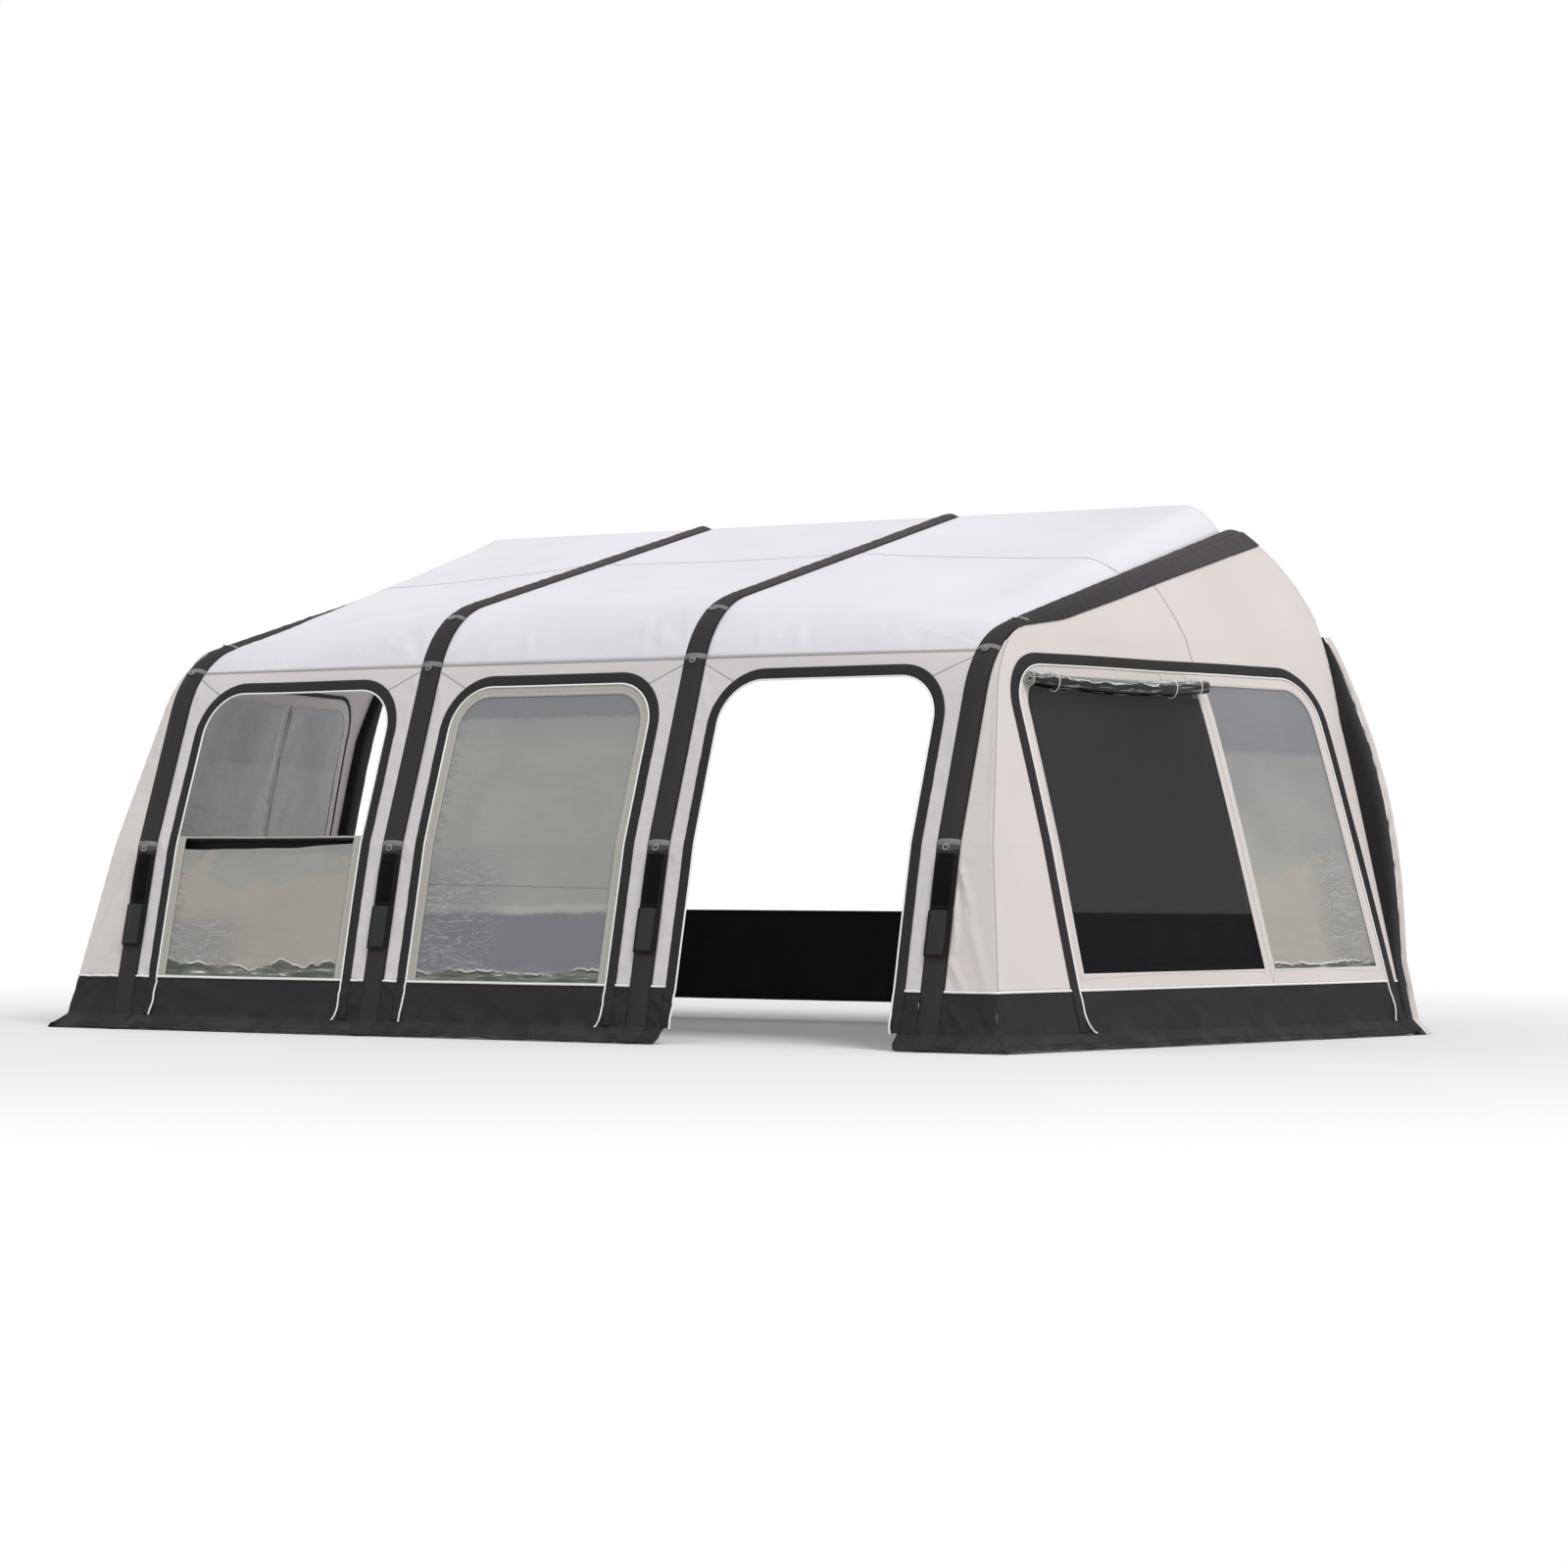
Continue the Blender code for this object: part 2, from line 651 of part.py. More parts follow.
def build_valve_cap(index, x):
    """The cap over the valve, which turns on the valve's axis."""
    seat = BEAM_RADIUS - BEAM_SINK + VALVE_RISE + GAP
    grip = (CAP_GRIP_RADIUS, CAP_GRIP_HEIGHT)
    mesh = cylinder_mesh(f"valve_cap_{index}", CAP_RADIUS, 0, CAP_HEIGHT - CAP_GRIP_HEIGHT, Matrix(), 24, grip)
    cap = finish(f"valve_cap_{index}", mesh, CHARCOAL, 0.4)
    cap.matrix_world = beam_turn(x, valve_girth()) @ Matrix.Translation((0, 0, seat))


def crown(offset):
    """Height of a cover's round back over the shell, at this distance from its middle."""
    return COVER_CROWN * (1 - (offset / HALF_COVER) ** 2)


def pouch_span():
    """The pouch's lower and upper ends, as distances up the profile."""
    top = flap_span()[0] - POUCH_BELOW_FLAP
    return top - POUCH_LENGTH, top


def flap_span():
    """The valve flap's lower and upper ends, as distances up the profile."""
    top = girth_of_height(KNEE_HEIGHT - VALVE_FLAP_BELOW_KNEE)
    return top - VALVE_FLAP_LENGTH, top


def cover_tabs(x):
    """The middle of each grey guy line tab, as a distance up the profile."""
    seam = girth_of_seam(x)
    return girths(x)[0], seam, seam + ROOF_TAB_STEP


def cover_raise(x, offset, girth):
    """How far the tabs and the pouch stand over the cover's back."""
    for middle in cover_tabs(x):
        if abs(girth - middle) < TAB_HEIGHT / 2:
            return TAB_RAISE
    low, high = pouch_span()
    if low < girth < high and abs(offset) < POUCH_WIDTH / 2:
        return POUCH_DEPTH
    return 0


def build_cover(index, x):
    """The dark cover over a beam, with its three tabs, its pouch and the opening for the valve."""
    knee, start, end, rail = girths(x)
    pouch_low, pouch_high = pouch_span()
    ridges = [
        edge + side * TAB_BEVEL / 2
        for middle in cover_tabs(x)
        for edge in (middle - TAB_HEIGHT / 2, middle + TAB_HEIGHT / 2)
        for side in (-1, 1)
    ]
    ridges += [edge + side * TAB_BEVEL / 2 for edge in (pouch_low, pouch_high) for side in (-1, 1)]
    plain = [
        GAP,
        *inner_steps(GAP, knee, SIDE_STEP * 2),
        knee,
        *inner_steps(knee, start, SIDE_STEP * 2),
        *steps_between(start, end, BEAM_EAVE_STEPS),
        *inner_steps(end, rail, ROOF_RUN),
        rail - GAP,
    ]
    rows = sorted(ridges + [row for row in plain if all(abs(row - ridge) > TAB_BEVEL for ridge in ridges)])
    low, high = (POUCH_WIDTH - TAB_BEVEL) / 2, (POUCH_WIDTH + TAB_BEVEL) / 2
    columns = [-HALF_COVER, -high, *steps_between(-low, low, POUCH_STEPS), high, HALF_COVER]

    def outer(offset, girth):
        rise = crown(offset) + cover_raise(x, offset, girth)
        depth, z = along_beam(x, girth, rise)
        return Vector((splayed_x(x, depth) + offset, RAIL_Y - depth, z))

    def inner(offset, girth):
        depth, z = along_beam(x, girth, crown(offset) - CLOTH)
        return Vector((splayed_x(x, depth) + offset, RAIL_Y - depth, z))

    cover = slab(f"beam_cover_{index}", columns, rows, outer, inner, COVER_GREY)
    turn = beam_turn(x, valve_girth())
    hole = cylinder_mesh(f"valve_hole_{index}", VALVE_HOLE_RADIUS, 0, COVER_CROWN + CUT_OVERRUN, turn)
    combine(cover, cutter(f"valve_hole_{index}", hole), "DIFFERENCE")


def hinged_flap(name, x, span, width, rows, rise, colour):
    """A flap on a cover, with its origin on the hinge at its top edge; rise is its height over the shell."""
    low, high = span
    hinge_depth, hinge_z = along_beam(x, high, crown(0) + rise(0, high))
    hinge = Vector((x, RAIL_Y - hinge_depth, hinge_z))
    columns = steps_between(-width / 2, width / 2, FLAP_STEPS)
    rows = steps_between(low, high, rows)

    def outer(offset, girth):
        depth, z = along_beam(x, girth, crown(offset) + rise(offset, girth) + CLOTH)
        return Vector((x + offset, RAIL_Y - depth, z)) - hinge

    def inner(offset, girth):
        depth, z = along_beam(x, girth, crown(offset) + rise(offset, girth))
        return Vector((x + offset, RAIL_Y - depth, z)) - hinge

    flap = slab(name, columns, rows, outer, inner, colour)
    flap.location = hinge


def build_valve_flap(index, x):
    """The flap that hangs over the valve and bulges over its cap."""
    low, high = flap_span()

    def rise(offset, girth):
        across = 2 * offset / VALVE_FLAP_WIDTH
        up = 2 * (girth - low) / (high - low) - 1
        return LAYER_GAP + VALVE_FLAP_BULGE * (1 - across**4) * (1 - up**4)

    hinged_flap(f"valve_flap_{index}", x, (low, high), VALVE_FLAP_WIDTH, FLAP_STEPS, rise, CHARCOAL)


def build_pouch_flap(index, x):
    """The flap over the front of the guy line pouch."""
    low, high = pouch_span()

    def rise(offset, girth):
        return POUCH_DEPTH + LAYER_GAP

    span = (low - POUCH_FLAP_MARGIN, high)
    hinged_flap(f"guy_pouch_flap_{index}", x, span, POUCH_WIDTH + POUCH_FLAP_MARGIN, FLAP_STEPS // 2, rise, CHARCOAL)


# Roof, front walls and bands


def build_roof_panel(name, index):
    left, right = cover_edge(index, 1), cover_edge(index + 1, -1)
    rows = [*steps_between(0, 1, EAVE_STEPS)[1:], *steps_between(1, 2, ROOF_STEPS)[1:-1]]
    outline = [(left, 0), (right, 0), (right, 2), (left, 2)]
    bm = chart([outline], bay_cuts(index), rows)
    sheet(name, drape(bm, roof_place, Vector((0, 0, 1))), ROOF_GREY)


def build_front_wall(name, index):
    """The cloth round a bay's opening, from the mud wall up to the eave seam."""
    left, right = cover_edge(index, 1), cover_edge(index + 1, -1)
    foot, head = MUD_WALL_HEIGHT + GAP, EAVE_SEAM_HEIGHT - GAP
    arch = bay_arch(bay_centre(index), BAND_WIDTH * WALL_EDGE_SHARE, foot)
    outline = [(left, foot), *arch, (right, foot), (right, head), (left, head)]
    bm = chart([outline], bay_cuts(index), FRONT_CUTS)
    sheet(name, drape(bm, front_place, FRONT_OUTWARD), CLOTH_GREY)


def build_zip_band(name, index):
    """The dark band that covers the zip round a bay's opening, down to the fold."""
    foot = FOLD_HEIGHT + GAP
    outer = bay_arch(bay_centre(index), BAND_WIDTH, foot)
    inner = bay_arch(bay_centre(index), 0, foot)
    bm = chart([outer + inner[::-1]], bay_cuts(index), FRONT_CUTS)
    sheet(name, lift(drape(bm, front_place, FRONT_OUTWARD), LAYER), CHARCOAL)


def build_front_mud_wall(name, index, left_edge=None, right_edge=None):
    """The mud wall of a bay and its flap on the ground, whose ends reach under the covers of the beams."""
    top = MUD_WALL_HEIGHT - GAP
    outline = []
    if left_edge is None:
        beam, edge = BEAM_PLACES[index] + GAP, cover_edge(index, 1)
        outline += [(edge, top), (edge, TONGUE_HEIGHT), (beam, TONGUE_HEIGHT), (beam, FLAP_LIFT)]
    else:
        outline += [(left_edge, top), (left_edge, FLAP_LIFT)]
    if right_edge is None:
        beam, edge = BEAM_PLACES[index + 1] - GAP, cover_edge(index + 1, -1)
        outline += [(beam, FLAP_LIFT), (beam, TONGUE_HEIGHT), (edge, TONGUE_HEIGHT), (edge, top)]
    else:
        outline += [(right_edge, FLAP_LIFT), (right_edge, top)]
    bm = chart([outline], bay_cuts(index), FRONT_CUTS)
    sheet(name, drape(bm, front_place, FRONT_OUTWARD), CHARCOAL)


def split_panel(outline, border, keep_border, place, outward, cuts_across, cuts_up, mirrored=False):
    """Either the border of a window panel or the pane that it frames, laid on the shell."""
    bm = chart([outline] if not isinstance(outline[0], list) else outline)
    bm.normal_update()
    panes = bm.faces[:]
    bmesh.ops.inset_individual(bm, faces=panes, thickness=border, use_even_offset=True)
    rest = [face for face in bm.faces if face not in panes]
    bmesh.ops.delete(bm, geom=panes if keep_border else rest, context="FACES")
    bmesh.ops.remove_doubles(bm, verts=bm.verts[:], dist=GAP / 10)
    for axis, values in (((1, 0, 0), cuts_across), ((0, 1, 0), cuts_up)):
        for value in values:
            everything = bm.verts[:] + bm.edges[:] + bm.faces[:]
            bmesh.ops.bisect_plane(
                bm, geom=everything, plane_co=Vector(axis) * value, plane_no=axis, dist=GAP / 10
            )
    return drape(bm, place, outward, mirrored)


def build_middle_panel():
    outline = bay_arch(0, BAND_WIDTH * PANEL_EDGE_SHARE, MUD_WALL_HEIGHT + GAP)
    cuts = (bay_cuts(1), FRONT_CUTS)
    border = split_panel(outline, PANEL_BORDER, True, front_place, FRONT_OUTWARD, *cuts)
    sheet("middle_panel", border, SIDE_BEIGE)
    pane = split_panel(outline, PANEL_BORDER - FILM_OVERLAP, False, front_place, FRONT_OUTWARD, *cuts)
    sheet("middle_film", lift(pane, -LAYER), FILM_GREY, 0.1, 0.3)


def build_lower_panel():
    """The lower half of the left bay's panel, up to the veranda rail."""
    half = BAY_OPENING_WIDTH / 2 + BAND_WIDTH * PANEL_EDGE_SHARE
    centre = bay_centre(0)
    foot, head = MUD_WALL_HEIGHT + GAP, VERANDA_HEIGHT - LOWER_PANEL_DROP
    outline = [(centre - half, foot), (centre + half, foot), (centre + half, head), (centre - half, head)]
    cuts = (bay_cuts(0), FRONT_CUTS)
    border = split_panel(outline, PANEL_BORDER, True, front_place, FRONT_OUTWARD, *cuts)
    sheet("veranda_lower_panel", border, SIDE_BEIGE)
    pane = split_panel(outline, PANEL_BORDER - FILM_OVERLAP, False, front_place, FRONT_OUTWARD, *cuts)
    sheet("veranda_film", lift(pane, -LAYER), FILM_GREY, 0.1, 0.3)


def veranda_axis():
    """The middle of the veranda rail, as depth and height."""
    return leg_depth(VERANDA_HEIGHT) - BEAM_SINK, VERANDA_HEIGHT


def build_veranda_rail():
    """The rail between the first two air beams, which the lowered panel hangs over."""
    depth, z = veranda_axis()
    reach = BEAM_SPACING / 2 - BEAM_RADIUS - GAP
    ends = [(bay_centre(0) + side * reach, RAIL_Y - depth, z) for side in (-1, 1)]
    mesh = tube_mesh("veranda_rail", ends, VERANDA_RAIL_RADIUS, 14)
    finish("veranda_rail", mesh, CHARCOAL, 0.4)


def build_upper_panel():
    """The upper half of the left bay's panel, hung inside over the rail; its origin is on the rail's axis."""
    depth, z = veranda_axis()
    centre = bay_centre(0)
    half = BAY_OPENING_WIDTH / 2 + BAND_WIDTH * PANEL_EDGE_SHARE - UPPER_PANEL_MARGIN
    length = (BAY_OPENING_TOP - VERANDA_HEIGHT) * math.hypot(1, UPPER_LEAN_SHARE) - UPPER_PANEL_MARGIN
    inside = VERANDA_RAIL_RADIUS + GAP
    corners = [(-half, 0), (-half, -length), (half, -length), (half, 0)]
    outline = rounded(corners, BAY_CORNER_RADIUS, ARC_STEPS)
    across = inner_steps(-half, half, 2 * half / (HANG_FOLDS * FOLD_STEPS))
    bm = chart([outline], across, inner_steps(-length, 0, length / FOLD_STEPS))
    head = [edge for edge in bm.edges if all(abs(vert.co.y) < GAP for vert in edge.verts)]
    for vert in bm.verts:
        wave = math.sin(math.pi * HANG_FOLDS * vert.co.x / half) * HANG_FOLD_DEPTH * vert.co.y / length
        vert.co = (vert.co.x, inside + CLOTH + wave, vert.co.y)
    bmesh.ops.spin(
        bm, geom=head, axis=(1, 0, 0), cent=(0, 0, 0), angle=math.radians(200), steps=ARC_STEPS * 2
    )
    bmesh.ops.remove_doubles(bm, verts=bm.verts[:], dist=GAP / 10)
    bmesh.ops.recalc_face_normals(bm, faces=bm.faces[:])
    bm.normal_update()
    hanging = min(bm.faces, key=lambda face: face.calc_center_median().z)
    if hanging.normal.y < 0:
        bmesh.ops.reverse_faces(bm, faces=bm.faces[:])
    panel = sheet("veranda_upper_panel", bm, SIDE_BEIGE)
    panel.location = (centre, RAIL_Y - depth, z)


def build_slider(name, side):
    """A zip slider with its pull, on the band beside the left bay's opening; it runs up the zip from the rail."""
    x = bay_centre(0) + side * (BAY_OPENING_WIDTH / 2 + SLIDER_INSET)
    z = VERANDA_HEIGHT + SLIDER_ABOVE_RAIL
    way = Vector((0, UPPER_LEAN_SHARE, 1)).normalized()
    outward = Vector((0, -1, UPPER_LEAN_SHARE)).normalized()
    turn = Matrix((Vector((1, 0, 0)), way, outward)).transposed().to_4x4()
    seat = Vector((x, RAIL_Y - leg_depth(z), z)) + outward * (LAYER + LAYER_GAP)
    bm = bmesh.new()
    body = bmesh.ops.create_cube(bm, size=1)["verts"]
    bmesh.ops.scale(bm, vec=(SLIDER_WIDTH, SLIDER_LENGTH, SLIDER_HEIGHT), verts=body)
    bmesh.ops.translate(bm, vec=(0, 0, SLIDER_HEIGHT / 2), verts=body)
    crest = max(bm.faces, key=lambda face: face.calc_center_median().z)
    bmesh.ops.inset_individual(bm, faces=[crest], thickness=(SLIDER_WIDTH - PULL_WIDTH) / 2)
    top = bmesh.ops.extrude_discrete_faces(bm, faces=[crest])["faces"][0]
    bmesh.ops.translate(bm, vec=(0, 0, PULL_HEIGHT), verts=top.verts[:])
    low = min(bm.faces, key=lambda face: face.calc_center_median().y + abs(face.calc_center_median().z - SLIDER_HEIGHT))
    bmesh.ops.bevel(
        bm, geom=[edge for edge in low.edges], offset=SLIDER_BEVEL, segments=2, profile=0.5, affect="EDGES", material=-1
    )
    mesh = bpy.data.meshes.new(name)
    bm.to_mesh(mesh)
    bm.free()
    slider = finish(name, mesh, CHARCOAL, 0.4, 0.5)
    turn.translation = seat
    slider.matrix_world = turn


# Side walls, windows and mud walls


def join_charts(charts):
    """One sheet from the gusset beside the beam and the side wall behind the corner seam."""
    whole = bmesh.new()
    for bm in charts:
        part = bpy.data.meshes.new("chart")
        bm.to_mesh(part)
        bm.free()
        whole.from_mesh(part)
        bpy.data.meshes.remove(part)
    bmesh.ops.remove_doubles(whole, verts=whole.verts[:], dist=GAP / 4)
    return whole


def seam_heights(low, high):
    """The heights at which a side sheet's edge bends between low and high."""
    return [low, *[cut for cut in SIDE_CUTS_UP if low + GAP < cut < high - GAP], high]


def build_side_wall(name, mirrored):
    foot = MUD_WALL_HEIGHT + GAP
    edge = cover_edge(-1, 1)
    outward = Vector((-1 if mirrored else 1, 0, 0))
    seam = seam_heights(foot, CORNER_SEAM_TOP)
    gusset = [(edge, foot)] + [(corner_x(z), z) for z in seam] + [(edge, CORNER_SEAM_TOP)]
    front = drape(chart([gusset], (), SIDE_CUTS_UP), front_place, FRONT_OUTWARD, mirrored)
    rear = seam_heights(foot, REAR_TOP - GAP)
    outline = [(side_front(z)[1], z) for z in seam]
    outline += [(side_front(z)[1], z) for z in seam_heights(CORNER_SEAM_TOP, REAR_TOP - GAP)[1:]]
    outline += [(side_rear(z)[1], z) for z in rear[::-1]]
    arch = window_arch(BAND_WIDTH * WALL_EDGE_SHARE, foot)
    side = drape(chart([outline + arch[::-1]], SIDE_CUTS_ACROSS, SIDE_CUTS_UP), side_place, outward, mirrored)
    sheet(name, join_charts([front, side]), SIDE_BEIGE)


def build_side_band(name, mirrored):
    outward = Vector((-1 if mirrored else 1, 0, 0))
    foot = FOLD_HEIGHT + GAP
    outline = window_arch(BAND_WIDTH, foot) + window_arch(0, foot)[::-1]
    bm = drape(chart([outline], SIDE_CUTS_ACROSS, SIDE_CUTS_UP), side_place, outward, mirrored)
    sheet(name, lift(bm, LAYER), CHARCOAL)


def window_lights():
    """The outlines of the front and rear lights of a side window, which meet at the sloping mullion."""
    foot = MUD_WALL_HEIGHT + GAP
    whole = window_arch(BAND_WIDTH * PANEL_EDGE_SHARE, foot)
    head = WINDOW_TOP + BAND_WIDTH * PANEL_EDGE_SHARE
    top, bottom = Vector((MULLION_HEAD_DEPTH, head)), Vector((MULLION_FOOT_DEPTH, foot))
    half = len(whole) // 2
    return [whole[:half] + [top, bottom], [bottom, top] + whole[half:]]


def build_side_window(side, mirrored, front_name):
    """A side window's panel: the border with its mullion, and its two lights."""
    outward = Vector((-1 if mirrored else 1, 0, 0))
    cuts = (SIDE_CUTS_ACROSS, SIDE_CUTS_UP)
    lights = window_lights()
    border = split_panel(lights, WINDOW_BORDER, True, side_place, outward, *cuts, mirrored)
    sheet(f"side_panel_{side}", border, SIDE_BEIGE)
    for name, outline in zip((front_name, f"side_rear_film_{side}"), lights):
        pane = split_panel(
            [outline], WINDOW_BORDER - FILM_OVERLAP, False, side_place, outward, *cuts, mirrored
        )
        colour = CHARCOAL if "mesh" in name else FILM_GREY
        sheet(name, lift(pane, -LAYER), colour, 0.3, 0.4)


def build_side_mud_wall(name, mirrored):
    """The side's mud wall, round the corner seam, and its flap on the ground."""
    top = MUD_WALL_HEIGHT - GAP
    beam, edge = OUTER_BEAM_X + GAP, cover_edge(-1, 1)
    outward = Vector((-1 if mirrored else 1, 0, 0))
    heights = seam_heights(FLAP_LIFT, top)
    gusset = [(edge, top), (edge, TONGUE_HEIGHT), (beam, TONGUE_HEIGHT), (beam, FLAP_LIFT)]
    gusset += [(corner_x(z), z) for z in heights]
    cuts_up = [TONGUE_HEIGHT, *SIDE_CUTS_UP]
    front = drape(chart([gusset], (), cuts_up), front_place, FRONT_OUTWARD, mirrored)
    outline = [(side_front(z)[1], z) for z in heights] + [(side_rear(z)[1], z) for z in heights[::-1]]
    side = drape(chart([outline], SIDE_CUTS_ACROSS, cuts_up), side_place, outward, mirrored)
    sheet(name, join_charts([front, side]), CHARCOAL)


def build_film_roll():
    """The clear film of the right window's front light, rolled up over the mesh."""
    front = WINDOW_FRONT_DEPTH - WINDOW_BORDER + FILM_OVERLAP
    rear = MULLION_HEAD_DEPTH + ROLL_END_INSET
    points = []
    for depth in steps_between(front, rear, ARC_STEPS * 2):
        across = 2 * (depth - rear) / (front - rear) - 1
        z = WINDOW_TOP - ROLL_BELOW_TOP - ROLL_SAG * (1 - across**2)
        here = side_place(depth, z)
        back = side_place(depth, z - SIDE_STEP) - side_place(depth, z + SIDE_STEP)
        along = side_place(depth - SIDE_STEP, z) - side_place(depth + SIDE_STEP, z)
        outward = back.cross(along).normalized()
        if outward.x < 0:
            outward = -outward
        points.append(here + outward * ROLL_RADIUS)
    mesh = tube_mesh("film_roll_right", points, ROLL_RADIUS, 16)
    finish("film_roll_right", mesh, FILM_GREY, 0.2)


# Rear edge


def pad_outer_x(z):
    """The pad swells out beside the wall over its middle height."""
    swell = share_of(z, PAD_BULGE_FOOT, PAD_TOP - PAD_HEAD_BELOW_TOP)
    return side_rear(z)[0] + PAD_OUTER_REACH + PAD_BULGE * math.sin(math.pi * swell)


def build_draught_pad(name, mirrored):
    """The foam pad between the side wall's rear edge and the caravan."""
    heights = [0, *seam_heights(FOLD_HEIGHT, PAD_TOP - PAD_HEAD_BELOW_TOP)]
    bm = bmesh.new()
    loops = []
    for z in heights:
        rear_x, rear_depth = side_rear(z)
        left, right = rear_x - PAD_INNER_REACH, pad_outer_x(z)
        front = rear_depth - PAD_SEAM_GAP
        corner = min(PAD_CORNER, front / 3)
        section = [
            (left, corner), (left, front - corner), (left + corner, front),
            (right - corner, front), (right, front - corner), (right, corner),
            (right - corner, 0), (left + corner, 0),
        ]
        verts = [bm.verts.new((-x if mirrored else x, RAIL_Y - depth, z)) for x, depth in section]
        loops.append([bm.edges.new((verts[i - 1], verts[i])) for i in range(len(verts))])
        if z in (heights[0], heights[-1]):
            bm.faces.new(verts)
    for below, above in zip(loops, loops[1:]):
        bmesh.ops.bridge_loops(bm, edges=below + above)
    bmesh.ops.recalc_face_normals(bm, faces=bm.faces[:])
    mesh = bpy.data.meshes.new(name)
    bm.to_mesh(mesh)
    bm.free()
    finish(name, mesh, CHARCOAL)


def build_skirt():
    """The draught skirt across the foot of the caravan, between the two pads."""
    corners = []
    for z in (SKIRT_CLEARANCE, SKIRT_TOP):
        corners.append(side_rear(z)[0] - PAD_INNER_REACH - GAP)
    low, high = corners
    outline = [(-low, SKIRT_CLEARANCE), (low, SKIRT_CLEARANCE), (high, SKIRT_TOP), (-high, SKIRT_TOP)]
    bm = chart([outline], inner_steps(-low, low, 2 * low / (SKIRT_FOLDS * FOLD_STEPS)))

    def place(x, z):
        wave = math.sin(math.pi * SKIRT_FOLDS * x / low) * SKIRT_FOLD_DEPTH
        wave *= share_of(SKIRT_TOP - z, 0, SKIRT_TOP - SKIRT_CLEARANCE)
        return Vector((x, RAIL_Y - SKIRT_DEPTH + wave, z))

    sheet("draught_skirt", drape(bm, place, FRONT_OUTWARD), CHARCOAL, 0.5)


def build_bead():
    """The bead that slides into the caravan's rail, along the rear edges of the side walls and the roof."""
    half = []
    for z in seam_heights(PAD_TOP, REAR_TOP):
        half.append((side_rear(z)[0], z))
    for x in steps_between(SIDE_EDGE_X, RAIL_BEND_X, ARC_STEPS)[1:]:
        half.append((splayed_x(x, 0), rail_height(x)))
    half.append((0, RAIL_HEIGHT))
    line = half + [(-x, z) for x, z in half[-2::-1]]
    points = [(x, RAIL_Y + BEAD_RADIUS + GAP, z - CLOTH / 2) for x, z in line]
    finish("rail_bead", tube_mesh("rail_bead", points, BEAD_RADIUS, 8), CLOTH_GREY)


def build():
    for old in list(bpy.data.objects):
        bpy.data.objects.remove(old)
    for index, x in enumerate(BEAM_PLACES, 1):
        build_air_beam(index, x)
        build_valve_cap(index, x)
        build_cover(index, x)
        build_valve_flap(index, x)
        build_pouch_flap(index, x)
    for index, bay in enumerate(("left", "middle", "door")):
        build_roof_panel(f"roof_panel_{bay}", index)
        build_front_wall(f"front_wall_{bay}", index)
        build_zip_band(f"zip_band_{bay}", index)
    door_edge = BAY_OPENING_WIDTH / 2 + BAND_WIDTH * WALL_EDGE_SHARE
    build_front_mud_wall("mud_wall_left", 0)
    build_front_mud_wall("mud_wall_middle", 1)
    build_front_mud_wall("mud_wall_door_left", 2, right_edge=bay_centre(2) - door_edge)
    build_front_mud_wall("mud_wall_door_right", 2, left_edge=bay_centre(2) + door_edge)
    build_middle_panel()
    build_lower_panel()
    build_veranda_rail()
    build_upper_panel()
    build_slider("zip_slider_left", -1)
    build_slider("zip_slider_right", 1)
    for side, mirrored, front_name in (
        ("left", True, "side_front_film_left"),
        ("right", False, "side_front_mesh_right"),
    ):
        build_side_wall(f"side_wall_{side}", mirrored)
        build_side_band(f"side_zip_band_{side}", mirrored)
        build_side_window(side, mirrored, front_name)
        build_side_mud_wall(f"mud_wall_side_{side}", mirrored)
        build_draught_pad(f"draught_pad_{side}", mirrored)
    build_film_roll()
    build_skirt()
    build_bead()
    bpy.context.view_layer.update()


build()
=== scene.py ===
"""Dresses an inflatable caravan awning: cloth, films, webbing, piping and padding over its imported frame.

Lengths are in metres, in the awning's own frame: X runs along the rail, the front faces -Y and Z is up.
"Depth" is the distance from the rail's plane towards the front. A pattern's two coordinates, u and v, are
metres on the flat cloth; a skin says where such a point lies on the awning.
"""

import math
from functools import lru_cache

import bmesh
import bpy
from bpy.props import FloatProperty, FloatVectorProperty, IntProperty, PointerProperty
from mathutils import Matrix, Vector, noise


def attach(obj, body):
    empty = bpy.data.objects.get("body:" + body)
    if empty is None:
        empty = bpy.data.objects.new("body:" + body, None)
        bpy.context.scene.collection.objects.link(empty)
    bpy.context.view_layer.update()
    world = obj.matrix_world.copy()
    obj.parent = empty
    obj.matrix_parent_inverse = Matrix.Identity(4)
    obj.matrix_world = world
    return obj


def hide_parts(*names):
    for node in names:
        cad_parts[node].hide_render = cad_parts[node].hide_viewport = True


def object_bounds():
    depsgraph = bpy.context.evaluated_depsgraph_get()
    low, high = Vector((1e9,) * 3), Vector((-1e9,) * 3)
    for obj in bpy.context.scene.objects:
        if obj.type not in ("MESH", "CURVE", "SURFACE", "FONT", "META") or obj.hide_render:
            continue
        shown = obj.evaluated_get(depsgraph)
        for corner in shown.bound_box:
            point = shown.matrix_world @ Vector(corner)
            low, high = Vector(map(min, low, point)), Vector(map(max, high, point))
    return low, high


bl_info = {
    "name": "Caravan Awning Dresser",
    "version": (1, 0, 0),
    "blender": (4, 5, 0),
    "location": "3D View > Sidebar > Awning",
    "description": "Dresses an inflatable caravan awning in cloth, film, webbing and piping",
    "category": "Add Mesh",
}

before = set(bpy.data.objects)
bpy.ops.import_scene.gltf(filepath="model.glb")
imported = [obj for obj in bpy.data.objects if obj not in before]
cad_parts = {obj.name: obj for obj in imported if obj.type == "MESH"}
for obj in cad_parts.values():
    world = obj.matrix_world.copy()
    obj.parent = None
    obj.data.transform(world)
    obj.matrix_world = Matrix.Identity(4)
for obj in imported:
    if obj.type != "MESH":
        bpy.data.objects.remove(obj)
CAD_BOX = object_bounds()

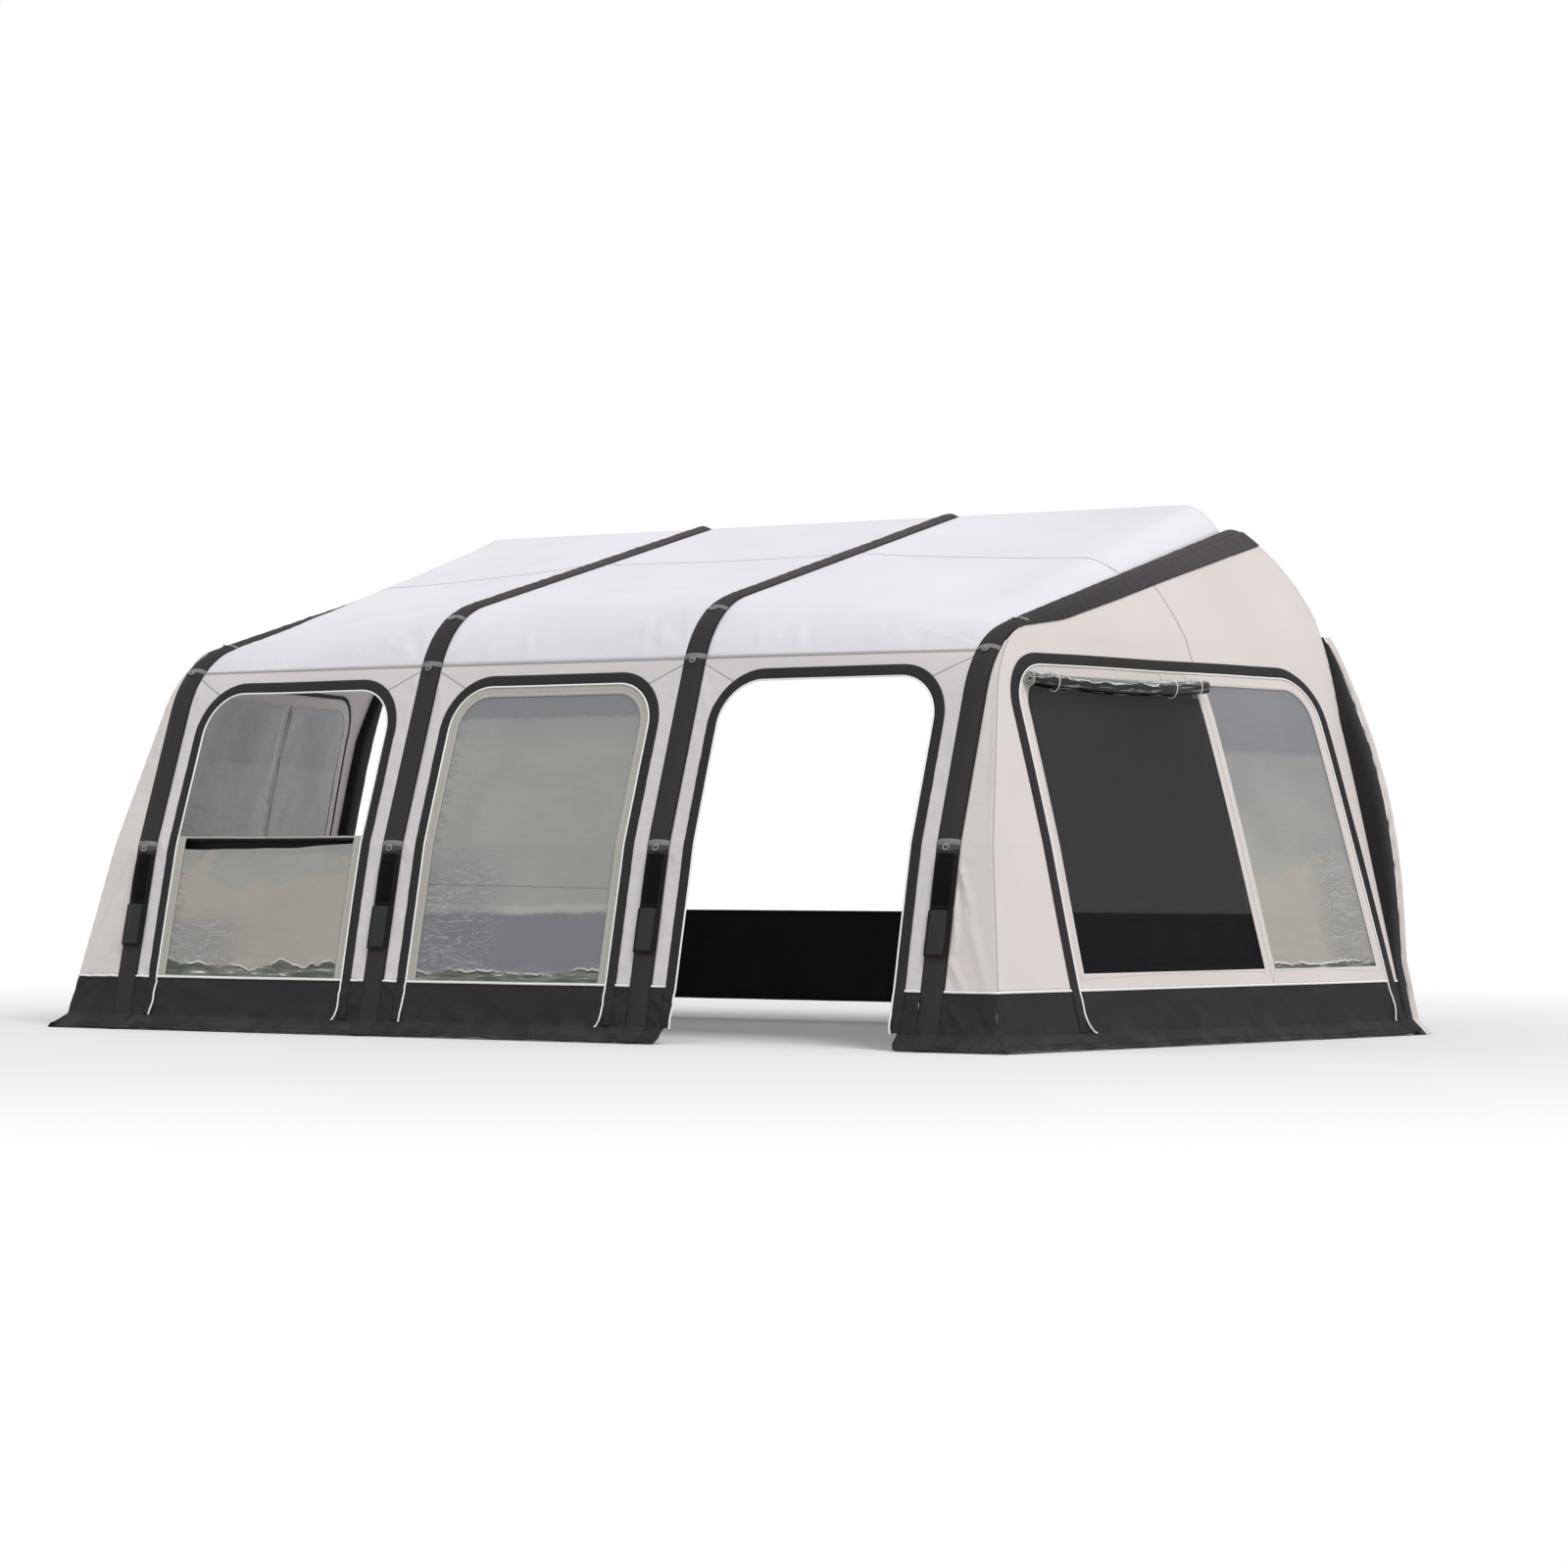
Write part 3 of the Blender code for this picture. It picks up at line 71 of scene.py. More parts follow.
# Shell
RAIL_HEIGHT = 2.60
RAIL_BEND_RUN = 0.25
RAIL_END_DROP = 0.15
DEPTH = 2.935
BEAM_SPACING = 1.50
CORNER_SPREAD = 0.2755
REAR_SPREAD = 0.710
OUTER_BEAM_SPLAY = 0.085
KNEE_HEIGHT = 0.90
LOWER_LEAN_SHARE = 0.229
UPPER_LEAN_SHARE = 0.36
ROOF_FALL_SHARE = 0.257
EAVE_END_DROP = 0.16
EAVE_RADIUS = 0.50
EAVE_SEAM_RISE = 0.015
ROOF_SEAM_SHARE = 0.52
CORNER_SEAM_RISE = 0.04
CORNER_SEAM_WIDTH = 0.008
REAR_LEAN_SHARE = 0.6
REAR_BEND_POWER = 7.5

# Layers of cloth
CLOTH = 0.0014
TRIM_CLOTH = 0.0005
HEM_CLOTH = 0.0006
WEBBING = 0.0012
GAP = 0.0004
LAYER = 0.0028
EDGE_LAP = 0.002
COVER_LIFT = 0.0012
HEM_RISE = 0.0008
PIPING_LIFT = 0.003
LOOSE_END = 0.075
LOOSE_END_STEPS = 9
PIPING_INSET = 0.002
MUD_PIPING_SHARE = 1.3
MUD_WALL_HEIGHT = 0.257
FOLD_HEIGHT = 0.07
FLAP_SPREAD_SHARE = 1.1
FLAP_LIFT = 0.004
TONGUE_HEIGHT = 0.04
DOORWAY_END_RADIUS = 0.03
DOORWAY_END_HEIGHT = 0.08
DOORWAY_END_RUN = 0.1

# Air beams and their covers
BEAM_RADIUS = 0.0575
BEAM_FOOT_RUN = 0.12
BEAM_END_INSET = 0.05
BEAM_SINK = 0.0419
COVER_WIDTH = 0.114
COVER_CROWN = 0.018
COVER_FLANGE = 0.002
COVER_FOOT = 0.10
COVER_SIDE_FRONT = 0.042
COVER_SIDE_REAR = 0.075
TAB_HEIGHT = 0.026
ROOF_TAB_STEP = 0.30
VALVE_BELOW_KNEE = 0.175
VALVE_RADIUS = 0.018
VALVE_RIM = 0.004
VALVE_ROOT = -0.05
VALVE_HOLE_RADIUS = 0.027
VALVE_FLAP_WIDTH = 0.104
VALVE_FLAP_LENGTH = 0.248
VALVE_FLAP_BELOW_KNEE = 0.050
VALVE_FLAP_BULGE = 0.0135
FLAP_DIP = 0.0016
POUCH_WIDTH = 0.092
POUCH_LENGTH = 0.200
POUCH_BELOW_FLAP = 0.006
POUCH_DEPTH = 0.010
POUCH_FLAP_MARGIN = 0.006
PATCH_LENGTH = 0.030
PATCH_POINT = 0.014
COVER_HEM = 0.009
HOLE_HEM = (0.012, -0.003)
TAB_LIFT = 0.0034
TAB_TILT = math.radians(-14)
TAB_LOOP_REACH = 0.007
TAB_LOOP_RISES = (0.0026, 0.0092)
FLAP_BINDING = 0.012
BINDING_CLOTH = 0.0007

# Front bays
BAY_MARGIN = 0.128
BAY_HEADER = 0.114
BAY_CORNER_RADIUS = 0.205
BAND_WIDTH = 0.052
BAND_SWELL = 0.0014
BAND_LAP = 0.001
BAND_OPEN_FOOT = 0.08
BAND_CURLS = {"left": (-0.012, -0.024), "middle": (-0.006, -0.03), "door": (-0.004, 0.006)}
WALL_EDGE_SHARE = 0.7
PANEL_EDGE_SHARE = 0.3
PANEL_BORDER = 0.066
PANEL_FOOT_BORDER = 0.008
FILM_FOOT_OVERLAP = 0.006
FILM_OVERLAP = 0.015
VERANDA_HEIGHT = 0.925
VERANDA_RAIL_RADIUS = 0.0125
HANG_FOLDS = 5
HANG_FOLD_DEPTH = 0.012
LOWER_PANEL_RISE = 0.015
LOWER_PANEL_EDGE = 0.009
UPPER_PANEL_MARGIN = 0.012

# Side windows
WINDOW_FRONT_INSET = 0.565
WINDOW_REAR_FOOT_DEPTH = 0.186
WINDOW_REAR_HEAD_DEPTH = 0.290
WINDOW_HEADER = 0.062
WINDOW_CORNER_RADIUS = 0.20
WINDOW_BORDER = 0.072
MULLION_WIDTH = 0.072
MULLION_FOOT_SHARE = 0.44
MULLION_HEAD_SHARE = 0.465
ROLL_RADIUS = 0.034
ROLL_BELOW_TOP = 0.078
ROLL_SAG = 0.022
ROLL_END_INSET = 0.02
ROLL_SWELL = 0.004
ROLL_START = 0.6
ROLL_CORE = 0.009
ROLL_LOOP_RADIUS = 0.0022
ROLL_LOOP_SHARES = (0.13, 0.80, 0.95)
ROLL_STEPS_A_TURN = 20
SIDE_BAND_CURLS = (-0.05, 0.004)

# Rear edge
PAD_DEPTH = 0.12
PAD_TOP = 2.0
PAD_TAPER = 0.5
PAD_HEAD_BELOW_TOP = 0.08
PAD_INNER_REACH = 0.05
PAD_OUTER_REACH = 0.014
PAD_BULGE = 0.09
PAD_BULGE_FOOT = 0.35
PAD_SEAM_GAP = 0.001
PAD_TAPE_WIDTH = 0.026
PAD_STEPS_AROUND = 28
SKIRT_TOP = 0.57
SKIRT_CLEARANCE = 0.10
SKIRT_DEPTH = 0.06
BEAD_RADIUS = 0.004

# Fineness of the meshes
FRONT_STEP = 0.0125
ROOF_STEP = 0.02
SIDE_STEP = 0.018
COVER_STEP = 0.008
TRIM_STEP = 0.006
FILM_STEP = 0.011
ARC_STEPS = 14
FEEL = 0.003
WELD = 0.00005
SHARP_ANGLE = math.radians(40)
PATTERN = "cloth"

# Places worked out from the sizes above
INNER_BEAM_X = BEAM_SPACING / 2
OUTER_BEAM_X = INNER_BEAM_X + BEAM_SPACING
RAIL_BEND_X = OUTER_BEAM_X - RAIL_BEND_RUN
BEAM_PLACES = (-OUTER_BEAM_X, -INNER_BEAM_X, INNER_BEAM_X, OUTER_BEAM_X)
BAYS = ("left", "middle", "door")
HALF_COVER = COVER_WIDTH / 2
SIDE_EDGE_X = OUTER_BEAM_X + HALF_COVER + CORNER_SEAM_WIDTH
FRONT_CORNER_X = SIDE_EDGE_X + CORNER_SPREAD
REAR_CORNER_X = FRONT_CORNER_X + REAR_SPREAD
BAY_OPENING_WIDTH = BEAM_SPACING - COVER_WIDTH - 2 * BAY_MARGIN
WINDOW_FRONT_DEPTH = DEPTH - WINDOW_FRONT_INSET
MULLION_FOOT_DEPTH = MULLION_FOOT_SHARE * WINDOW_FRONT_DEPTH
MULLION_HEAD_DEPTH = MULLION_HEAD_SHARE * WINDOW_FRONT_DEPTH
FLAP_SLOPE = math.hypot(1, FLAP_SPREAD_SHARE)
WALL_FOOT = MUD_WALL_HEIGHT + GAP
MUD_WALL_TOP = MUD_WALL_HEIGHT - GAP
BAND_FOOT = FOLD_HEIGHT + GAP
WALL_REACH = BAND_WIDTH * WALL_EDGE_SHARE
PANEL_REACH = BAND_WIDTH * PANEL_EDGE_SHARE
MUD_WALL_FOLDS = (FOLD_HEIGHT, TONGUE_HEIGHT)
HALF_BAY = BAY_OPENING_WIDTH / 2
LEG_AT_GROUND = DEPTH - LOWER_LEAN_SHARE * (KNEE_HEIGHT - FOLD_HEIGHT) + UPPER_LEAN_SHARE * KNEE_HEIGHT
EAVE_DEPTH = (LEG_AT_GROUND - UPPER_LEAN_SHARE * RAIL_HEIGHT) / (1 - UPPER_LEAN_SHARE * ROOF_FALL_SHARE)
RAIL_Y = CAD_BOX[0].y + DEPTH + (FOLD_HEIGHT - FLAP_LIFT) * FLAP_SPREAD_SHARE


def srgb(red, green, blue):
    """A colour picked from 0 to 255, as the linear values that a shader takes."""
    return tuple(
        value / 255 / 12.92 if value <= 10.31 else ((value / 255 + 0.055) / 1.055) ** 2.4
        for value in (red, green, blue)
    )


def length_property(name, description, default):
    return FloatProperty(name=name, description=description, default=default, min=0, unit="LENGTH")


def colour_property(name, description, colour):
    return FloatVectorProperty(
        name=name, description=description, default=srgb(*colour), size=3, min=0, max=1, subtype="COLOR"
    )


class AwningSizes(bpy.types.PropertyGroup):
    """Sizes of the finish that can be changed by themselves."""

    piping: length_property("Piping radius", "Radius of the white piping", 0.0042)
    seam: length_property("Seam width", "Width of the felled seams", 0.011)
    hem: length_property("Hem width", "Width of the hem on the ground flaps", 0.022)
    broad_ripple: length_property("Broad ripple", "Height of the wide ripples in the walls", 0.007)
    fine_ripple: length_property("Fine ripple", "Height of the small tension wrinkles", 0.0026)
    roof_sag: length_property("Roof sag", "Sag of the roof between two air beams", 0.012)
    weave: length_property("Weave pitch", "Pitch of the threads in the woven cloths", 0.0026)
    stitch: length_property("Stitch length", "Length of one stitch with its gap", 0.005)
    ring: length_property("Ring radius", "Radius of the guy line rings", 0.0145)
    ring_wire: length_property("Ring wire", "Radius of the rings' wire", 0.0022)
    roll_turns: IntProperty(name="Roll turns", description="Turns of the rolled up film", default=4, min=1)
    skirt_folds: IntProperty(name="Skirt folds", description="Folds in the draught skirt", default=18, min=1)


class AwningColours(bpy.types.PropertyGroup):
    """Colours of the finishes."""

    roof: colour_property("Roof cloth", "Pale lavender grey of the roof", (229, 229, 235))
    front: colour_property("Front cloth", "Warm grey of the front walls", (210, 205, 204))
    side: colour_property("Side cloth", "Pale beige of the side walls", (213, 206, 203))
    border: colour_property("Window border", "Beige grey of the panels' borders", (176, 173, 166))
    dark: colour_property("Dark cloth", "Charcoal of the bands and the mud wall", (41, 39, 40))
    cover: colour_property("Beam cover", "Dark grey of the covers over the air beams", (50, 46, 48))
    flap: colour_property("Flap cloth", "Black of the valve flaps", (13, 12, 14))
    pouch: colour_property("Pouch cloth", "Grey black of the guy line pouches", (42, 45, 45))
    skirt: colour_property("Skirt cloth", "Black of the draught skirt", (14, 14, 15))
    tab: colour_property("Webbing tab", "Grey of the guy line tabs", (132, 130, 134))
    piping: colour_property("Piping", "White of the piping and the elastic loops", (240, 240, 238))
    film: colour_property("Film", "Grey of the clear film's haze", (150, 151, 145))
    sky: colour_property("Film sheen", "Blue grey where the film mirrors the sky", (116, 118, 124))
    veil: colour_property("Film veil", "Beige grey where the film lies against the light", (160, 154, 145))
    mesh: colour_property("Insect mesh", "Black of the insect mesh", (22, 22, 24))


def sizes():
    """The sizes that a user can change."""
    return bpy.context.scene.awning_sizes


# The shell's profile


def share_of(value, low, high):
    """Where value lies from low to high, kept from 0 to 1."""
    return min(max((value - low) / (high - low), 0), 1)


def ease(value):
    """A smooth rise from 0 to 1."""
    share = min(max(value, 0), 1)
    return share * share * (3 - 2 * share)


def leg_depth(z):
    """Depth of the front wall's straight runs at height z."""
    if z < FOLD_HEIGHT:
        return DEPTH + (FOLD_HEIGHT - z) * FLAP_SPREAD_SHARE
    if z < KNEE_HEIGHT:
        return DEPTH - (z - FOLD_HEIGHT) * LOWER_LEAN_SHARE
    return LEG_AT_GROUND - z * UPPER_LEAN_SHARE


def rail_height(x):
    bend = share_of(abs(x), RAIL_BEND_X, OUTER_BEAM_X - HALF_COVER)
    return RAIL_HEIGHT - RAIL_END_DROP * bend**2


@lru_cache(maxsize=None)
def eave_at(x):
    """The round eave at x: its centre, its start and end angles, and the roof line that it meets."""
    drop = EAVE_END_DROP * share_of(abs(x), INNER_BEAM_X + HALF_COVER, OUTER_BEAM_X - HALF_COVER)
    rail = rail_height(x)
    fall_share = ROOF_FALL_SHARE + (drop - (RAIL_HEIGHT - rail)) / EAVE_DEPTH
    corner_depth = (LEG_AT_GROUND - UPPER_LEAN_SHARE * rail) / (1 - UPPER_LEAN_SHARE * fall_share)
    corner_z = rail - fall_share * corner_depth
    leg_angle = math.atan(UPPER_LEAN_SHARE)
    roof_angle = math.atan2(1, fall_share)
    tangent = EAVE_RADIUS * math.tan((roof_angle - leg_angle) / 2)
    centre_depth = corner_depth + tangent * math.sin(leg_angle) - EAVE_RADIUS * math.cos(leg_angle)
    centre_z = corner_z - tangent * math.cos(leg_angle) - EAVE_RADIUS * math.sin(leg_angle)
    return centre_depth, centre_z, leg_angle, roof_angle, rail, fall_share


def eave_point(x, angle):
    centre_depth, centre_z = eave_at(x)[:2]
    return centre_depth + EAVE_RADIUS * math.cos(angle), centre_z + EAVE_RADIUS * math.sin(angle)


EAVE_SEAM_HEIGHT = eave_point(0, eave_at(0)[2])[1] + EAVE_SEAM_RISE
CORNER_SEAM_TOP = EAVE_SEAM_HEIGHT + CORNER_SEAM_RISE
REAR_TOP = rail_height(OUTER_BEAM_X)
BAY_OPENING_TOP = EAVE_SEAM_HEIGHT - BAY_HEADER
WINDOW_TOP = EAVE_SEAM_HEIGHT - WINDOW_HEADER


def depth_at(x, z):
    """Depth of the shell's outer face at x and height z, from the flap at the ground up to the rail."""
    centre_depth, centre_z, leg_angle, roof_angle, rail, fall_share = eave_at(x)
    if z <= eave_point(x, leg_angle)[1]:
        return leg_depth(z)
    if z <= eave_point(x, roof_angle)[1]:
        return centre_depth + math.sqrt(max(EAVE_RADIUS**2 - (z - centre_z) ** 2, 0))
    return (rail - z) / fall_share


CORNER_TOP_DEPTH = depth_at(SIDE_EDGE_X, CORNER_SEAM_TOP)


def splayed_x(x, depth):
    """The outer beams spread apart a little from the eave back to the rail."""
    outwards = share_of(abs(x), INNER_BEAM_X + HALF_COVER, OUTER_BEAM_X - HALF_COVER)
    back = share_of(CORNER_TOP_DEPTH - depth, 0, CORNER_TOP_DEPTH)
    return x + math.copysign(OUTER_BEAM_SPLAY * outwards * back, x)


def seam_angle(x):
    """The eave seam's angle on the round eave."""
    return math.asin((EAVE_SEAM_HEIGHT - eave_at(x)[1]) / EAVE_RADIUS)


ROOF_ARC = EAVE_RADIUS * (eave_at(0)[3] - seam_angle(0))
ROOF_SLOPE = math.dist(eave_point(0, eave_at(0)[3]), (0, RAIL_HEIGHT))
ROOF_LENGTH = ROOF_ARC + ROOF_SLOPE


def front_place(x, z):
    return Vector((x, RAIL_Y - depth_at(x, z), z))


def roof_place(x, run):
    """A point of the roof, at a distance from the eave seam round the eave and up to the rail."""
    roof_angle, rail = eave_at(x)[3:5]
    if run <= ROOF_ARC:
        start = seam_angle(x)
        depth, z = eave_point(x, start + (roof_angle - start) * run / ROOF_ARC)
    else:
        end_depth, end_z = eave_point(x, roof_angle)
        way = (run - ROOF_ARC) / ROOF_SLOPE
        depth, z = end_depth * (1 - way), end_z + (rail - end_z) * way
    return Vector((splayed_x(x, depth), RAIL_Y - depth, z))


@lru_cache(maxsize=None)
def beam_run(x):
    """A beam's profile from the fold to the rail: the runs' ends and their distances up the profile."""
    leg_angle, roof_angle, rail = eave_at(x)[2:5]
    ends = [
        (DEPTH, FOLD_HEIGHT),
        (leg_depth(KNEE_HEIGHT), KNEE_HEIGHT),
        eave_point(x, leg_angle),
        eave_point(x, roof_angle),
        (0, rail),
    ]
    knee = math.dist(ends[0], ends[1])
    start = knee + math.dist(ends[1], ends[2])
    end = start + EAVE_RADIUS * (roof_angle - leg_angle)
    return ends, (0, knee, start, end, end + math.dist(ends[3], ends[4])), leg_angle


def along_beam(x, girth, rise=0):
    """The point at this distance up the profile from the fold, raised outwards, as depth and height."""
    ends, girths, leg_angle = beam_run(x)
    if girths[2] < girth < girths[3]:
        angle = leg_angle + (girth - girths[2]) / EAVE_RADIUS
        depth, z = eave_point(x, angle)
        return depth + rise * math.cos(angle), z + rise * math.sin(angle)
    run = 0 if girth < girths[1] else 1 if girth <= girths[2] else 3
    (from_depth, from_z), (to_depth, to_z) = ends[run], ends[run + 1]
    length = math.dist(ends[run], ends[run + 1])
    step_depth, step_z = (to_depth - from_depth) / length, (to_z - from_z) / length
    depth = from_depth + step_depth * (girth - girths[run])
    z = from_z + step_z * (girth - girths[run])
    return depth + rise * step_z, z - rise * step_depth


def girth_of_height(z):
    """Distance up the profile of a height on the lower leg."""
    return (z - FOLD_HEIGHT) * math.hypot(1, LOWER_LEAN_SHARE)


def girth_of_seam(x):
    leg_angle = eave_at(x)[2]
    return beam_run(x)[1][2] + EAVE_RADIUS * (seam_angle(x) - leg_angle)


def corner_x(z):
    """The corner seam spreads outwards from the eave to the ground."""
    if z < FOLD_HEIGHT:
        return FRONT_CORNER_X + (FOLD_HEIGHT - z) * FLAP_SPREAD_SHARE
    spread = (CORNER_SEAM_TOP - z) / (CORNER_SEAM_TOP - FOLD_HEIGHT)
    return SIDE_EDGE_X + CORNER_SPREAD * spread


@lru_cache(maxsize=None)
def side_front(z):
    """Front edge of the side wall: the corner seam, and above it the roof line of the outer beam."""
    if z <= CORNER_SEAM_TOP:
        return corner_x(z), depth_at(corner_x(z), z)
    depth = depth_at(SIDE_EDGE_X, z)
    return splayed_x(SIDE_EDGE_X, depth), depth


@lru_cache(maxsize=None)
def side_rear(z):
    """Rear edge of the side wall, bent like the rail that it hangs in."""
    height = max((z - FOLD_HEIGHT) / (REAR_TOP - FOLD_HEIGHT), 0)
    rise = REAR_LEAN_SHARE * height + (1 - REAR_LEAN_SHARE) * height**REAR_BEND_POWER
    x = REAR_CORNER_X - (REAR_CORNER_X - splayed_x(SIDE_EDGE_X, 0)) * rise
    if z < FOLD_HEIGHT:
        x += (FOLD_HEIGHT - z) * FLAP_SPREAD_SHARE
    return x, PAD_DEPTH * share_of(PAD_TOP - z, 0, PAD_TAPER)


def side_place(depth, z):
    front_x, front_depth = side_front(z)
    rear_x, rear_depth = side_rear(z)
    back = (front_depth - depth) / max(front_depth - rear_depth, GAP)
    return Vector((front_x + (rear_x - front_x) * back, RAIL_Y - depth, z))


# Skins: where the points of a pattern lie


class Skin:
    """One face of the awning: where the points of its flat pattern lie, and how its cloth ripples."""

    def __init__(self, place, ripple, outward):
        self.place, self.ripple, self.outward = place, ripple, Vector(outward)

    def normal(self, u, v):
        across = self.place(u + FEEL, v) - self.place(u - FEEL, v)
        up = self.place(u, v + FEEL) - self.place(u, v - FEEL)
        normal = across.cross(up).normalized()
        return normal if normal.dot(self.outward) > 0 else -normal

    def at(self, u, v, rise=0):
        return self.place(u, v) + self.normal(u, v) * (self.ripple(u, v) + rise)


def wave(u, v, scale_u, scale_v, layer):
    """Smooth noise from -1 to 1 over the pattern."""
    return noise.noise(Vector((u * scale_u, v * scale_v, layer)))


def from_cover(x):
    """Distance of x from the edge of the nearest beam cover."""
    return min(abs(abs(x) - place) for place in (INNER_BEAM_X, OUTER_BEAM_X)) - HALF_COVER


def crease(u, v, start, end, width, height):
    """A soft fold along a line of the pattern, which fades out at both of its ends."""
    along = (end[0] - start[0], end[1] - start[1])
    away = (u - start[0], v - start[1])
    length = math.hypot(*along)
    share = (along[0] * away[0] + along[1] * away[1]) / length**2
    off = abs(along[0] * away[1] - along[1] * away[0]) / length
    if not 0 < share < 1 or off > 2.5 * width:
        return 0
    return 1.7 * height * math.sin(math.pi * share**0.6) * math.exp(-((off / width) ** 2))


def creases(u, v, folds):
    return sum(crease(u, v, *fold) for fold in folds)


# Folds that pull from the outer covers across the gussets, by the distance from the cover's edge
GUSSET_FOLDS = (
    ((-0.01, 0.89), (0.120, 0.58), 0.011, 0.0065),
    ((-0.01, 0.87), (0.066, 0.50), 0.009, -0.0050),
    ((-0.01, 0.85), (0.036, 0.42), 0.009, 0.0050),
    ((-0.01, 0.46), (0.120, 0.27), 0.010, 0.0060),
    ((-0.01, 0.40), (0.066, 0.27), 0.008, -0.0045),
    ((0.08, 0.62), (0.230, 0.25), 0.022, 0.0050),
    ((0.02, 0.25), (0.150, 0.10), 0.012, 0.0060),
    ((0.16, 0.24), (0.280, 0.08), 0.012, -0.0050),
    ((0.00, 0.20), (0.060, 0.06), 0.008, 0.0045),
    ((0.01, 1.62), (0.040, 1.20), 0.012, 0.0030),
)
# Folds beside every inner edge of a cover, by the distance from that edge
STRIP_FOLDS = (
    ((-0.01, 0.92), (0.080, 0.80), 0.008, 0.0036),
    ((-0.01, 0.86), (0.070, 0.70), 0.007, -0.0030),
    ((0.01, 0.60), (0.080, 0.66), 0.006, 0.0024),
    ((0.01, 0.50), (0.080, 0.54), 0.006, 0.0028),
    ((0.01, 0.36), (0.080, 0.42), 0.006, -0.0026),
    ((-0.01, 0.25), (0.140, 0.12), 0.011, 0.0050),
    ((0.03, 0.25), (0.200, 0.15), 0.010, -0.0040),
    ((0.00, 0.16), (0.110, 0.05), 0.010, 0.0045),
    ((-0.01, 1.70), (0.070, 1.50), 0.009, 0.0030),
    ((0.00, 1.40), (0.070, 1.30), 0.007, 0.0020),
)
# Folds in the roof that fan out from the eave tabs, by the distance from the cover and from the eave seam
ROOF_FOLDS = (
    ((0.00, 0.02), (0.46, 0.30), 0.014, 0.0036),
    ((0.00, 0.04), (0.34, 0.42), 0.012, -0.0030),
    ((0.00, 0.06), (0.22, 0.52), 0.011, 0.0032),
    ((0.02, 0.10), (0.12, 0.60), 0.009, 0.0024),
    ((0.00, 0.30), (0.20, 0.62), 0.010, 0.0026),
    ((0.00, 0.62), (0.26, 1.02), 0.011, 0.0024),
    ((0.00, 1.00), (0.16, 1.34), 0.010, -0.0022),
    ((0.20, 0.05), (0.62, 0.16), 0.012, 0.0026),
    ((0.24, 0.02), (0.30, 0.30), 0.010, 0.0026),
    ((0.48, 0.02), (0.44, 0.26), 0.010, 0.0022),
)


def front_ripple(x, z):
    """The front cloth is held by the covers and seams, creased beside them, and slack at its foot."""
    edge = from_cover(x)
    hold = ease(edge / 0.02) * ease((EAVE_SEAM_HEIGHT - z) / 0.05) * ease((corner_x(z) - abs(x)) / 0.03)
    broad = wave(x, z, 2.1, 1.3, 1.5) * sizes().broad_ripple
    pull = math.exp(-((edge / 0.09) ** 2))
    fine = wave(x, z + 0.3 * x, 5, 19, 3.5) + 0.6 * wave(x, z, 9, 42, 7.5)
    fine *= sizes().fine_ripple * 1.9 * pull
    outside = abs(x) > OUTER_BEAM_X
    folds = creases(edge, z + 0.02 * round(x), GUSSET_FOLDS if outside else STRIP_FOLDS)
    low = ease((MUD_WALL_HEIGHT - z) / 0.05)
    rumple = (wave(x + 1.4 * z, z, 7, 5, 9.5) * 0.010 + wave(x - 1.2 * z, z, 17, 9, 14.5) * 0.0045) * low
    return hold * (broad + fine + folds) + (rumple + 0.003 * low) * ease((edge + HALF_COVER) / 0.05)


def roof_ripple(x, run):
    """The roof sags a little between two beams, and is creased along the covers and over the eave."""
    edge = from_cover(x)
    hold = ease(edge / 0.05) * ease(run / 0.07) * ease((ROOF_LENGTH - run) / 0.1)
    bay = min(edge / (BEAM_SPACING / 2 - HALF_COVER), 1)
    sag = -sizes().roof_sag * bay * (2 - bay) * ease((run - ROOF_ARC) / 0.4)
    broad = wave(x, run, 1.7, 1.5, 21.5) * sizes().broad_ripple * 0.8
    pull = math.exp(-edge / 0.16)
    fine = wave(x, run - 0.5 * edge, 3.0, 15, 23.5) * sizes().fine_ripple * 2.6 * pull
    outer = 2 if abs(x) > BEAM_SPACING else 1
    close = outer * math.exp(-edge / 0.10)
    fine += wave(x, run - 0.8 * edge, 6.0, 30, 24.5) * sizes().fine_ripple * 1.9 * close
    fine += creases(edge, run + 0.02 * math.sin(9 * round(2 * x)), ROOF_FOLDS)
    pleats = wave(x + 0.35 * run, run, 17, 2.0, 25.5) * 0.0050 * math.exp(-((run - 0.12) / 0.16) ** 2)
    return hold * (sag + broad + fine + pleats)


def side_ripple(depth, z):
    """The side wall is held along its seams, and falls in soft folds towards the rear edge."""
    front, rear = side_front(z)[1] - depth, depth - side_rear(z)[1]
    hold = ease(front / 0.05) * ease(rear / 0.06)
    broad = wave(depth, z, 1.5, 1.2, 31.5) * sizes().broad_ripple * 1.3
    folds = wave(depth + 0.25 * z, z, 9, 0.9, 33.5) * 0.005 * math.exp(-rear / 0.35)
    roof_line = math.exp(-front / 0.2) * ease((z - CORNER_SEAM_TOP) / 0.1)
    fine = wave(depth + 0.3 * z, z, 24, 3, 35.5) * sizes().fine_ripple * 1.4 * roof_line
    low = ease((MUD_WALL_HEIGHT - z) / 0.05)
    rumple = wave(depth + 1.3 * z, z, 6, 5, 37.5) * 0.010 + wave(depth - 1.1 * z, z, 15, 9, 38.5) * 0.0045
    return hold * (broad + folds + fine + rumple * low + 0.003 * low)


def flat_ripple(u, v):
    return 0


def flipped(place):
    """The same place on the awning's left side."""

    def mirrored(u, v):
        point = place(u, v)
        point.x = -point.x
        return point

    return mirrored


